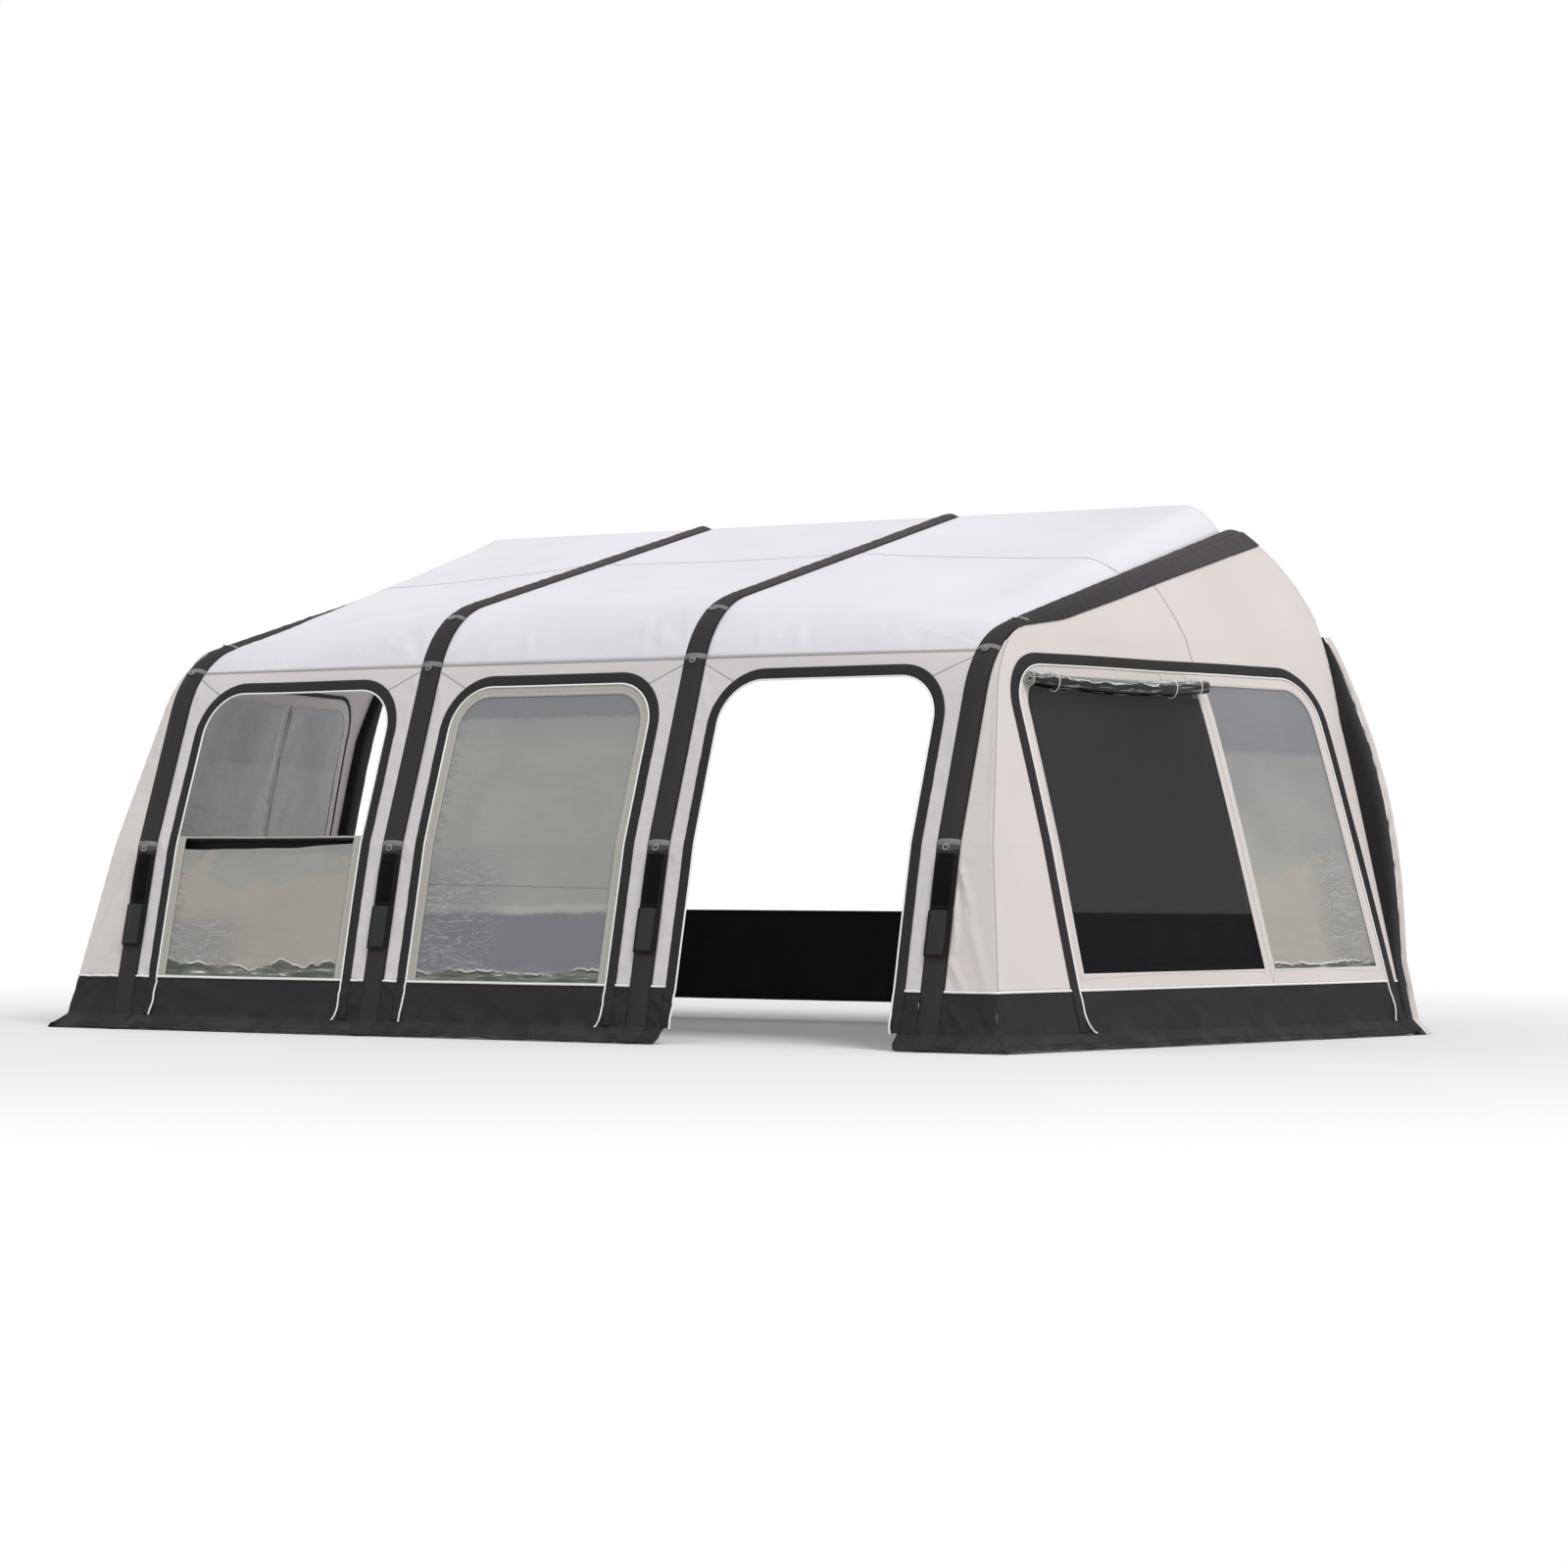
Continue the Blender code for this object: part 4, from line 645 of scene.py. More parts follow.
FRONT = Skin(front_place, front_ripple, (0, -1, 0.2))
ROOF = Skin(roof_place, roof_ripple, (0, -0.5, 1))
SIDES = {
    "right": Skin(side_place, side_ripple, (1, 0, 0)),
    "left": Skin(flipped(side_place), side_ripple, (-1, 0, 0)),
}


def crown(offset):
    """Height of a cover's round back over the shell, at this distance from its middle."""
    return COVER_CROWN * max(1 - (offset / HALF_COVER) ** 2, 0)


def beam_skin(x, rumple=1):
    """The back of a beam's cover; u is the distance from its middle and v the distance up the profile."""
    seam_girth = girth_of_seam(x)

    def place(offset, girth):
        if girth < 0:
            flat = crown(offset) * max(1 + girth / COVER_FOOT, 0)
            depth = DEPTH + (flat - girth * FLAP_SPREAD_SHARE) / FLAP_SLOPE
            z = FOLD_HEIGHT + (girth + flat * FLAP_SPREAD_SHARE) / FLAP_SLOPE
            return Vector((x + offset, RAIL_Y - depth, z))
        depth, z = along_beam(x, girth, crown(offset))
        return Vector((splayed_x(x, depth) + offset, RAIL_Y - depth, z))

    def ripple(offset, girth):
        middle = 1 - (offset / HALF_COVER) ** 2
        roof = ease((girth - seam_girth - ROOF_TAB_STEP) / 0.15)
        fine = wave(offset, girth + 0.4 * offset, 9, 62, x) * (0.0008 + 0.0034 * roof)
        broad = wave(offset, girth, 7, 9, x + 5) * 0.0014
        low = wave(offset + 0.5 * girth, girth, 26, 16, x + 7) * 0.003 * ease((0.30 - girth) / 0.15)
        free = min(ease(abs(girth - end) / 0.05) for end in flap_span())
        return rumple * max(middle, 0) * ((fine + broad + low) * free - FLAP_DIP * (1 - free))

    return Skin(place, ripple, (0, -1, 1))


# Lines on a pattern


def rounded(corners, radius, steps=ARC_STEPS):
    """An open line through the corners, with every inner corner turned to an arc of this radius."""
    line = [Vector(corners[0])]
    for before, corner, after in zip(corners, corners[1:], corners[2:]):
        corner = Vector(corner)
        back = (Vector(before) - corner).normalized()
        on = (Vector(after) - corner).normalized()
        half = back.angle(on) / 2
        centre = corner + (back + on).normalized() * (radius / math.sin(half))
        start = corner + back * (radius / math.tan(half)) - centre
        turn = start.angle_signed(corner + on * (radius / math.tan(half)) - centre)
        for step in range(steps + 1):
            line.append(centre + Matrix.Rotation(-turn * step / steps, 2) @ start)
    line.append(Vector(corners[-1]))
    return line


def beside(line, distance, foot=None):
    """The line moved to its left by distance; its two ends keep the height foot, if it is given."""
    moved = []
    for index, point in enumerate(line):
        before = (point - line[index - 1]).normalized() if index else None
        after = (line[index + 1] - point).normalized() if index + 1 < len(line) else before
        before = before or after
        way = (before + after).normalized()
        moved.append(point + Vector((-way.y, way.x)) * (distance / before.dot(way)))
    if foot is not None:
        moved[0].y = moved[-1].y = foot
    return moved


def inset(outline, distance):
    """A closed outline moved inwards by distance."""
    around = [outline[-1], *outline, outline[0]]
    area = sum(a.x * b.y - b.x * a.y for a, b in zip(around, around[1:]))
    return beside(around, math.copysign(distance, area))[1:-1]


def bay_arch(centre, reach, foot):
    """The arch of a front bay's opening, widened by reach, from its left foot over to its right foot."""
    left, right = centre - HALF_BAY, centre + HALF_BAY
    corners = [(left, foot), (left, BAY_OPENING_TOP), (right, BAY_OPENING_TOP), (right, foot)]
    return beside(rounded(corners, BAY_CORNER_RADIUS), reach, foot)


def window_arch(reach, foot):
    """The arch of a side window's opening, widened by reach, from its front foot over to its rear foot."""
    rear_foot = WINDOW_REAR_FOOT_DEPTH
    rear_slope = (WINDOW_REAR_HEAD_DEPTH - rear_foot) / (WINDOW_TOP - FOLD_HEIGHT)
    corners = [
        (WINDOW_FRONT_DEPTH, foot),
        (WINDOW_FRONT_DEPTH, WINDOW_TOP),
        (WINDOW_REAR_HEAD_DEPTH, WINDOW_TOP),
        (rear_foot + rear_slope * (foot - FOLD_HEIGHT), foot),
    ]
    return beside(rounded(corners, WINDOW_CORNER_RADIUS), -reach, foot)


def steps_between(low, high, size):
    """Places from low to high, no further apart than size."""
    count = max(math.ceil((high - low) / size), 1)
    return [low + (high - low) * index / count for index in range(count + 1)]


def straight(start, end, size):
    """Points on a straight line of the pattern."""
    start, end = Vector(start), Vector(end)
    count = max(math.ceil((end - start).length / size), 1)
    return [start.lerp(end, index / count) for index in range(count + 1)]


def fill_in(line, size):
    """The line with points added so that none are further apart than size."""
    points = [line[0]]
    for start, end in zip(line, line[1:]):
        points += straight(start, end, size)[1:]
    return points


def bay_centre(index):
    return (BEAM_PLACES[index] + BEAM_PLACES[index + 1]) / 2


def cloth_edge(index, side):
    """X of the cloth's edge under a beam's cover; side is 1 on its right and -1 on its left."""
    return BEAM_PLACES[index] + side * (HALF_COVER + GAP) - side * EDGE_LAP


# Meshes


def turn_out(bm, faces, outward):
    """Turns the faces so that together they look outwards."""
    bm.normal_update()
    facing = sum((face.normal * face.calc_area() for face in faces), Vector())
    if facing.dot(outward) < 0:
        bmesh.ops.reverse_faces(bm, faces=faces)


def cut_cloth(outline, size, folds=()):
    """Flat cloth cut to the outline and divided finely, also along the folds, which are heights."""
    bm = bmesh.new()
    pattern = bm.loops.layers.uv.new(PATTERN)
    bm.faces.new([bm.verts.new((*point, 0)) for point in outline])
    for axis in (0, 1):
        low = min(vert.co[axis] for vert in bm.verts)
        high = max(vert.co[axis] for vert in bm.verts)
        extra = [fold for fold in folds if axis and low < fold < high]
        way = Vector((1 - axis, axis, 0))
        for place in sorted(steps_between(low, high, size)[1:-1] + extra):
            everything = bm.verts[:] + bm.edges[:] + bm.faces[:]
            bmesh.ops.bisect_plane(bm, geom=everything, plane_co=way * place, plane_no=way, dist=WELD)
    for face in bm.faces:
        for loop in face.loops:
            loop[pattern].uv = loop.vert.co.xy
    return bm


def lay(outline, size, skin, rise=0, slack=None, folds=()):
    """Cloth cut to the outline and laid on a skin; slack adds to the rise at each point of the pattern."""
    bm = cut_cloth(outline, size, folds)
    for vert in bm.verts:
        u, v = vert.co.xy
        vert.co = skin.at(u, v, rise + (slack(u, v) if slack else 0))
    turn_out(bm, bm.faces[:], skin.outward)
    return bm


def add_grid(bm, columns, rows, place):
    """Adds a grid; place gives where a column's point in a row lies, on the awning and on the pattern."""
    pattern = bm.loops.layers.uv.get(PATTERN) or bm.loops.layers.uv.new(PATTERN)
    verts = bmesh.ops.create_grid(bm, x_segments=columns, y_segments=rows, size=1)["verts"]
    spots = {}
    for vert in verts:
        column, row = round((vert.co.x + 1) / 2 * columns), round((vert.co.y + 1) / 2 * rows)
        vert.co, spots[vert] = place(column, row)
    faces = list({face for vert in verts for face in vert.link_faces})
    for face in faces:
        for loop in face.loops:
            loop[pattern].uv = spots[loop.vert]
    return verts, faces


def strip(bm, skin, first, second, rise=0, closed=False, rows=3, shape=None, size=FRONT_STEP):
    """Adds cloth between two lines of the pattern. Its own pattern runs along it and across it, and shape
    adds to the rise by the distance along and by the share across."""
    stations, run, count = [], 0, len(first)
    for index in range(count if closed else count - 1):
        on = (index + 1) % count
        length = (first[on] - first[index]).length
        parts = max(math.ceil(length / size), 1)
        for part in range(parts):
            share = part / parts
            ends = first[index].lerp(first[on], share), second[index].lerp(second[on], share)
            stations.append((*ends, run + length * share))
        run += length
    last = 0 if closed else -1
    stations.append((first[last], second[last], run))

    def place(column, row):
        one, other, along = stations[column]
        share = row / rows
        u, v = one.lerp(other, share)
        spot = (along, (other - one).length * share)
        return skin.at(u, v, rise + (shape(along, share) if shape else 0)), spot

    verts, faces = add_grid(bm, len(stations) - 1, rows, place)
    turn_out(bm, faces, skin.outward)
    if closed:
        bmesh.ops.remove_doubles(bm, verts=verts, dist=WELD)
    return run


def felled(_, share):
    """The low ridge of a felled seam."""
    return 0.0006 + 0.0012 * (1 - abs(2 * share - 1) ** 3)


def padded_band(_, share):
    """The soft round of a band between its two sewn edges."""
    return BAND_SWELL * (1 - (2 * share - 1) ** 4)


def seam(bm, skin, line, width=None, rise=0):
    """Adds a felled seam along a line of the pattern."""
    width = width or sizes().seam
    strip(bm, skin, beside(line, width / 2), beside(line, -width / 2), rise, shape=felled)


def add_hem(bm, skin, line):
    """Adds a hem above a line of the pattern."""
    up = Vector((0, sizes().hem))
    strip(bm, skin, line, [point + up for point in line], HEM_RISE, rows=2)


def joined(first, second):
    """Both cloths as one."""
    mesh = bpy.data.meshes.new("second")
    second.to_mesh(mesh)
    second.free()
    first.from_mesh(mesh)
    bpy.data.meshes.remove(mesh)
    return first


def tube(bm, points, radius, sides=8):
    """Adds a round cord through the points, with closed ends."""
    curve = bpy.data.curves.new("cord", "CURVE")
    curve.dimensions = "3D"
    curve.bevel_depth = radius
    curve.bevel_resolution = max(sides // 2 - 2, 0)
    curve.use_fill_caps = True
    spline = curve.splines.new("POLY")
    spline.points.add(len(points) - 1)
    for target, point in zip(spline.points, points):
        target.co = (*point, 1)
    guide = bpy.data.objects.new("cord", curve)
    mesh = bpy.data.meshes.new_from_object(guide)
    bpy.data.objects.remove(guide)
    bpy.data.curves.remove(curve)
    before = set(bm.verts)
    bm.from_mesh(mesh)
    bpy.data.meshes.remove(mesh)
    added = [vert for vert in bm.verts if vert not in before]
    bmesh.ops.remove_doubles(bm, verts=added, dist=WELD)
    added = [vert for vert in bm.verts if vert not in before]
    faces = list({face for vert in added for face in vert.link_faces})
    bmesh.ops.recalc_face_normals(bm, faces=faces)


def ring(bm, place, radius, wire, segments=28, sides=8):
    """Adds a wire ring that lies in the turned XY plane of place."""
    circle = bmesh.ops.create_circle(bm, segments=sides, radius=wire)["verts"]
    turn = Matrix.Translation((radius, 0, 0)) @ Matrix.Rotation(math.radians(90), 4, "X")
    bmesh.ops.transform(bm, matrix=turn, verts=circle)
    edges = list({edge for vert in circle for edge in vert.link_edges})
    before = set(bm.faces)
    others = set(bm.verts) - set(circle)
    bmesh.ops.spin(
        bm, geom=edges, axis=(0, 0, 1), cent=(0, 0, 0), angle=math.tau, steps=segments, use_merge=True
    )
    bmesh.ops.recalc_face_normals(bm, faces=[face for face in bm.faces if face not in before])
    bmesh.ops.transform(bm, matrix=place, verts=[vert for vert in bm.verts if vert not in others])


def frame_on(skin, u, v, rise=0):
    """The matrix whose Z looks out of the skin at this point and whose Y runs up the pattern."""
    outward = skin.normal(u, v)
    up = (skin.place(u, v + FEEL) - skin.place(u, v - FEEL)).normalized()
    across = up.cross(outward).normalized()
    place = Matrix((across, outward.cross(across), outward)).transposed().to_4x4()
    place.translation = skin.at(u, v, rise)
    return place


def piece(name, bm, finish, body="shell", thick=0.0, stands_for=(), slot=None):
    """The finished object: cloth of this thickness, riding on its body and standing for its CAD nodes. The
    finish is a material or the kind of a shared one."""
    mesh = bpy.data.meshes.new(name)
    bm.to_mesh(mesh)
    bm.free()
    mesh.materials.append(finish_of(finish) if isinstance(finish, str) else finish)
    mesh.shade_smooth()
    mesh.set_sharp_from_angle(angle=SHARP_ANGLE)
    made = bpy.data.objects.new(name, mesh)
    bpy.context.collection.objects.link(made)
    if thick:
        solid = made.modifiers.new("Cloth", "SOLIDIFY")
        solid.thickness = thick
        solid.offset = -1
    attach(made, body)
    if stands_for:
        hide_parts(*stands_for)
    return made


def trim(name, bm, kind, width, cloth, thick=TRIM_CLOTH, **other):
    """A narrow piece, sewn on a cloth; its width and cloth arguments are not used."""
    made = piece(name, bm, kind, thick=thick, **other)
    return made


# Finishes


class Finish:
    """A node material; every call adds one node and gives back its output."""

    def __init__(self, name, sockets):
        self.material = bpy.data.materials.new(name)
        self.material.use_nodes = True
        self.tree = self.material.node_tree
        self.shader = self.tree.nodes["Principled BSDF"]
        for socket, value in sockets.items():
            self.shader.inputs[socket].default_value = value

    def node(self, kind, inputs=None, output=0, **settings):
        made = self.tree.nodes.new("ShaderNode" + kind)
        for key, value in settings.items():
            setattr(made, key, value)
        for key, value in (inputs or {}).items():
            if isinstance(value, bpy.types.NodeSocket):
                self.tree.links.new(value, made.inputs[key])
            else:
                made.inputs[key].default_value = value
        return made.outputs[output]

    def math(self, operation, first, second=0.0):
        return self.node("Math", {0: first, 1: second}, operation=operation)

    def add(self, first, second):
        return self.math("ADD", first, second)

    def less(self, first, second):
        return self.math("SUBTRACT", first, second)

    def times(self, first, second):
        return self.math("MULTIPLY", first, second)

    def off(self, value, middle):
        """How far the value is from its middle."""
        return self.math("ABSOLUTE", self.less(value, middle))

    def mix(self, factor, first, second):
        """A colour between two colours."""
        colours = [(*c, 1) if isinstance(c, tuple) else c for c in (first, second)]
        return self.node("Mix", {0: factor, 6: colours[0], 7: colours[1]}, 2, data_type="RGBA")

    def ramp(self, value, low, high, to_low=0.0, to_high=1.0):
        """The value's share from low to high, as a number from to_low to to_high."""
        return self.node("MapRange", {0: value, 1: low, 2: high, 3: to_low, 4: to_high}, clamp=True)

    def noise(self, where, scale, detail=3.0, distortion=0.0):
        inputs = {"Vector": where, "Scale": scale, "Detail": detail, "Distortion": distortion}
        return self.node("TexNoise", inputs)

    def bands(self, where, pitch, axis):
        """Fine parallel ribs of this pitch across one axis."""
        inputs = {"Vector": where, "Scale": math.pi / 10 / pitch}
        return self.node("TexWave", inputs, 1, bands_direction=axis)

    def stretched(self, where, scale):
        return self.node("VectorMath", {0: where, 1: scale}, operation="MULTIPLY")

    def part(self, where, axis):
        """One of a place's three coordinates."""
        return self.node("SeparateXYZ", {0: where}, axis)

    def pattern(self):
        """The piece's own pattern, which follows its cloth."""
        return self.node("UVMap", uv_map=PATTERN)

    def place(self):
        """The awning's own coordinates."""
        return self.node("TexCoord", output=3)

    def link(self, output, socket):
        self.tree.links.new(output, self.shader.inputs[socket])

    def bump(self, height, distance, strength=1.0):
        made = self.node("Bump", {"Height": height, "Distance": distance, "Strength": strength})
        self.link(made, "Normal")


def toned(colour, factor):
    return tuple(min(value * factor, 1) for value in colour)


def cloth_finish(
    name, colour, roughness=0.82, depth=0.0018, rows=(), dust=0.0, eave=0.0, painted_roof_light=0.0, gloss=0.2
):
    """Coated woven cloth: threads, soft creases, faint patches, sewn rows at distances from its edge, dust
    above the ground, painted shade that greys a roof where it turns down to its eave, and painted light that
    makes a cover paler where it lies on the roof."""
    colour = tuple(colour)
    made = Finish(name, {"Roughness": roughness, "Specular IOR Level": gloss})
    pattern = made.pattern()
    along, across = made.part(pattern, 0), made.part(pattern, 1)
    patches = made.noise(pattern, 1.4, 4.0)
    tone = made.mix(made.ramp(patches, 0.3, 0.7), toned(colour, 0.955), toned(colour, 1.035))
    threads = made.times(made.bands(pattern, sizes().weave, "X"), made.bands(pattern, sizes().weave, "Y"))
    tone = made.mix(made.times(threads, 0.12), tone, toned(colour, 0.6))
    creases = made.noise(pattern, 11.0, 5.0, 0.7)
    soft = made.noise(pattern, 3.2, 2.0, 0.3)
    height = made.add(made.times(creases, 0.55), made.times(threads, 0.12))
    height = made.add(height, made.times(soft, 1.6))
    # Painted shade: a roof's tone greys towards its eave seam, where less light falls on the turned-down
    # eave.
    if eave:
        tone = made.mix(made.ramp(across, 0.02, 0.55, eave, 0.0), tone, toned(colour, 0.62))
    # Painted light: a cover's tone turns paler high up, where it lies on the roof and more light falls on it.
    if painted_roof_light:
        z = made.part(made.place(), 2)
        tone = made.mix(made.ramp(z, 1.9, 2.3, 0.0, painted_roof_light), tone, toned(colour, 2.8))
    if rows:
        dash = made.math("LESS_THAN", made.math("FRACT", made.math("DIVIDE", along, sizes().stitch)), 0.68)
        for row in rows:
            near = made.math("LESS_THAN", made.off(across, row), 0.0007)
            sewn = made.times(near, dash)
            tone = made.mix(sewn, tone, toned(colour, 0.6))
            height = made.add(height, made.times(sewn, 0.5))
    if dust:
        where = made.place()
        z = made.part(where, 2)
        low = made.ramp(z, 0.0, 0.16, dust, 0.0)
        grains = made.ramp(made.noise(where, 9.0, 6.0), 0.42, 0.75)
        tone = made.mix(made.times(low, grains), tone, srgb(150, 142, 130))
    made.link(tone, "Base Color")
    made.bump(height, depth)
    return made.material


def webbing_finish(name, colour, roughness=0.7):
    """Woven tape with a rib across it."""
    colour = tuple(colour)
    made = Finish(name, {"Roughness": roughness, "Specular IOR Level": 0.2})
    pattern = made.pattern()
    ribs = made.times(made.bands(pattern, 0.0022, "X"), made.bands(pattern, 0.0031, "Y"))
    made.link(made.mix(ribs, toned(colour, 0.82), toned(colour, 1.1)), "Base Color")
    made.bump(ribs, 0.0005, 0.8)
    return made.material


def plain_finish(name, colour, roughness, metallic=0.0, grain=60.0, depth=0.0002):
    """Moulded or drawn material with a fine uneven grain."""
    colour = tuple(colour)
    made = Finish(name, {"Roughness": roughness, "Metallic": metallic})
    where = made.place()
    grains = made.noise(where, grain, 4.0)
    made.link(made.mix(grains, toned(colour, 0.88), toned(colour, 1.08)), "Base Color")
    rough = made.ramp(made.noise(where, grain / 6), 0.3, 0.7, roughness * 0.8, roughness * 1.2)
    made.link(rough, "Roughness")
    made.bump(grains, depth)
    return made.material


def film_finish(
    name, left, right, low, high, head=0.08, foot=0.235, foot_tone="sky", cloudy=0.05, cover=0.86, line=0.33,
    fold=0.045,
):
    """Clear film: a smoky haze with a painted reflection of the sky near its top, another tone at its foot
    below a pale streak, a painted shadow along a crease at a share of its height, a painted reflection with
    glints of fine ripples low on its left, and a crumpled fold along its foot that is painted with shade,
    glints and a highlight."""
    colours = bpy.context.scene.awning_colours
    film, sky = tuple(colours.film), tuple(colours.sky)
    made = Finish(name, {"Roughness": 0.14, "Coat Weight": 0.25, "Coat Roughness": 0.05})
    pattern = made.pattern()
    u, v = made.part(pattern, 0), made.part(pattern, 1)
    share = made.math("DIVIDE", made.less(v, low), high - low)
    across = made.math("DIVIDE", made.less(u, left), right - left)
    clouds = made.noise(pattern, 2.0, 6.0, 0.8)
    drift = made.less(clouds, 0.5)
    ragged = made.less(made.noise(made.stretched(pattern, (3.0, 1.0, 1.0)), 9.0, 4.0), 0.5)
    tone = made.mix(made.ramp(clouds, 0.38, 0.62), toned(film, 0.94), toned(film, 1.06))
    # Painted reflection of the sky near the film's top.
    tone = made.mix(made.ramp(share, 1.0 - 2.5 * head, 1.0 - head, 0.0, 0.35), tone, sky)
    at_foot = made.add(share, made.times(drift, cloudy))
    at_foot = made.add(at_foot, made.times(ragged, 0.012))
    streak = made.off(at_foot, foot + 0.016)
    tone = made.mix(made.ramp(streak, 0.006, 0.02, 0.6 if line else 0.1, 0.0), tone, toned(film, 1.45))
    below = made.ramp(at_foot, foot - 0.006, foot + 0.006, 1.0, 0.0)
    tone = made.mix(below, tone, toned(tuple(getattr(colours, foot_tone)), 1.06))
    # A ragged band of painted sky reflection along the very top.
    at_head = made.add(share, made.times(ragged, 0.02))
    tone = made.mix(made.ramp(at_head, 1.0 - head, 1.0 - 0.9 * head, 0.0, 0.8), tone, toned(sky, 0.98))
    # Painted reflection and glints of fine ripples, low on the film's left.
    ribs = made.noise(made.stretched(pattern, (2.0, 15.0, 1.0)), 3.4, 4.0, 0.8)
    ribs = made.ramp(made.off(ribs, 0.5), 0.035, 0.0, 0.0, 0.5)
    low_left_reflection = made.times(made.ramp(across, 0.28, 0.48, 1.0, 0.0), made.ramp(share, 0.5, 0.36))
    tone = made.mix(made.times(low_left_reflection, 0.45), tone, toned(sky, 0.9))
    tone = made.mix(made.times(ribs, low_left_reflection), tone, srgb(188, 190, 190))
    # Painted shadow: a dark sagging line where the film is creased.
    if line:
        sag = made.times(made.math("SINE", made.times(u, 2.9)), 0.008)
        raised = made.add(made.add(v, sag), made.times(ragged, 0.008))
        crease = made.math("ABSOLUTE", made.less(raised, low + line * (high - low)))
        tone = made.mix(made.ramp(crease, 0.001, 0.004, 0.6, 0.0), tone, srgb(84, 84, 88))
    # The crumpled fold along the foot, with painted light and shade.
    bends = made.noise(made.stretched(pattern, (1.0, 0.02, 1.0)), 3.6, 5.0)
    ridge = made.add(made.times(bends, 3.4 * fold), low - 0.85 * fold)
    above = made.add(made.less(v, ridge), made.times(ragged, 0.02))
    streaks = made.noise(made.stretched(pattern, (1.4, 13.0, 1.0)), 3.0, 5.0, 1.2)
    broken = made.ramp(made.noise(made.stretched(pattern, (1.0, 0.3, 1.0)), 7.0, 3.0), 0.42, 0.55)
    under = made.ramp(above, -0.003, 0.003, 1.0, 0.0)
    # Painted shade on the fold's lower face, streaked with pale painted glints.
    painted_fold_shade = made.mix(made.ramp(streaks, 0.40, 0.60), srgb(58, 66, 55), srgb(112, 118, 106))
    painted_fold_shade = made.mix(made.ramp(streaks, 0.60, 0.64), painted_fold_shade, srgb(190, 194, 186))
    tone = made.mix(under, tone, painted_fold_shade)
    # Painted highlight along the fold's ridge.
    lit = made.times(made.ramp(made.off(above, 0.009), 0.003, 0.007, 0.8, 0.0), broken)
    tone = made.mix(lit, tone, srgb(205, 208, 200))
    # Painted shadow line along the fold's edge.
    painted_rim = made.times(made.ramp(made.math("ABSOLUTE", above), 0.002, 0.005, 1.0, 0.0), broken)
    tone = made.mix(painted_rim, tone, srgb(20, 23, 20))
    # Painted shade in tucks near the left edge.
    painted_tuck_shade = made.times(made.ramp(across, 0.02, 0.06, 0.3, 0.0), made.ramp(streaks, 0.52, 0.56))
    tone = made.mix(painted_tuck_shade, tone, srgb(90, 94, 92))
    made.link(tone, "Base Color")
    opacity = made.ramp(clouds, 0.3, 0.7, cover - 0.04, cover + 0.04)
    made.link(made.math("MAXIMUM", opacity, made.times(under, 0.97)), "Alpha")
    made.bump(made.noise(made.stretched(pattern, (1.0, 2.4, 1.0)), 5.0, 4.0, 0.8), 0.005)
    return made.material


def mesh_finish(name, colour):
    """Insect mesh: fine crossed threads with holes between them."""
    made = Finish(name, {"Roughness": 0.8, "Specular IOR Level": 0.1})
    pattern = made.pattern()
    threads = made.math("MAXIMUM", made.bands(pattern, 0.0021, "X"), made.bands(pattern, 0.0021, "Y"))
    made.link(made.mix(threads, toned(tuple(colour), 0.7), toned(tuple(colour), 1.25)), "Base Color")
    made.link(made.ramp(threads, 0.25, 0.5, 0.45, 0.92), "Alpha")
    made.bump(threads, 0.0003)
    return made.material


def rolled_film_finish(name):
    """Rolled film with painted light: grey with long painted glints on its upper side, and painted shade,
    nearly black, underneath.
    """
    values = {"Roughness": 0.2, "Specular IOR Level": 0.25, "Coat Weight": 0.12, "Coat Roughness": 0.04}
    made = Finish(name, values)
    pattern = made.pattern()
    v = made.part(pattern, 1)
    turned = made.add(made.math("DIVIDE", v, ROLL_RADIUS), ROLL_START)
    creases = made.noise(made.stretched(pattern, (1.0, 3.4, 1.0)), 6.0, 4.0, 0.8)
    fine = made.noise(made.stretched(pattern, (1.0, 12.0, 1.0)), 6.0, 3.0, 0.6)
    # Painted light and shade: each turn's upper side is grey and its underside nearly black.
    level = made.add(made.math("SINE", turned), made.times(made.less(creases, 0.5), 1.7))
    tone = made.mix(made.ramp(level, 0.05, 0.2), srgb(12, 15, 13), srgb(92, 98, 94))
    tone = made.mix(made.ramp(level, 0.3, 0.9), tone, srgb(150, 155, 151))
    # Painted highlight: a pale line where the lit side meets the shaded one.
    painted_rim = made.times(made.ramp(made.off(level, 0.14), 0.08, 0.02), 0.85)
    tone = made.mix(made.times(painted_rim, made.ramp(fine, 0.42, 0.52)), tone, srgb(226, 230, 226))
    # Painted glints on the upper side.
    glints = made.times(made.ramp(fine, 0.57, 0.62), made.ramp(level, -0.3, 0.3, 0.25, 0.9))
    tone = made.mix(glints, tone, srgb(226, 230, 226))
    made.link(tone, "Base Color")
    made.bump(creases, 0.006)
    return made.material


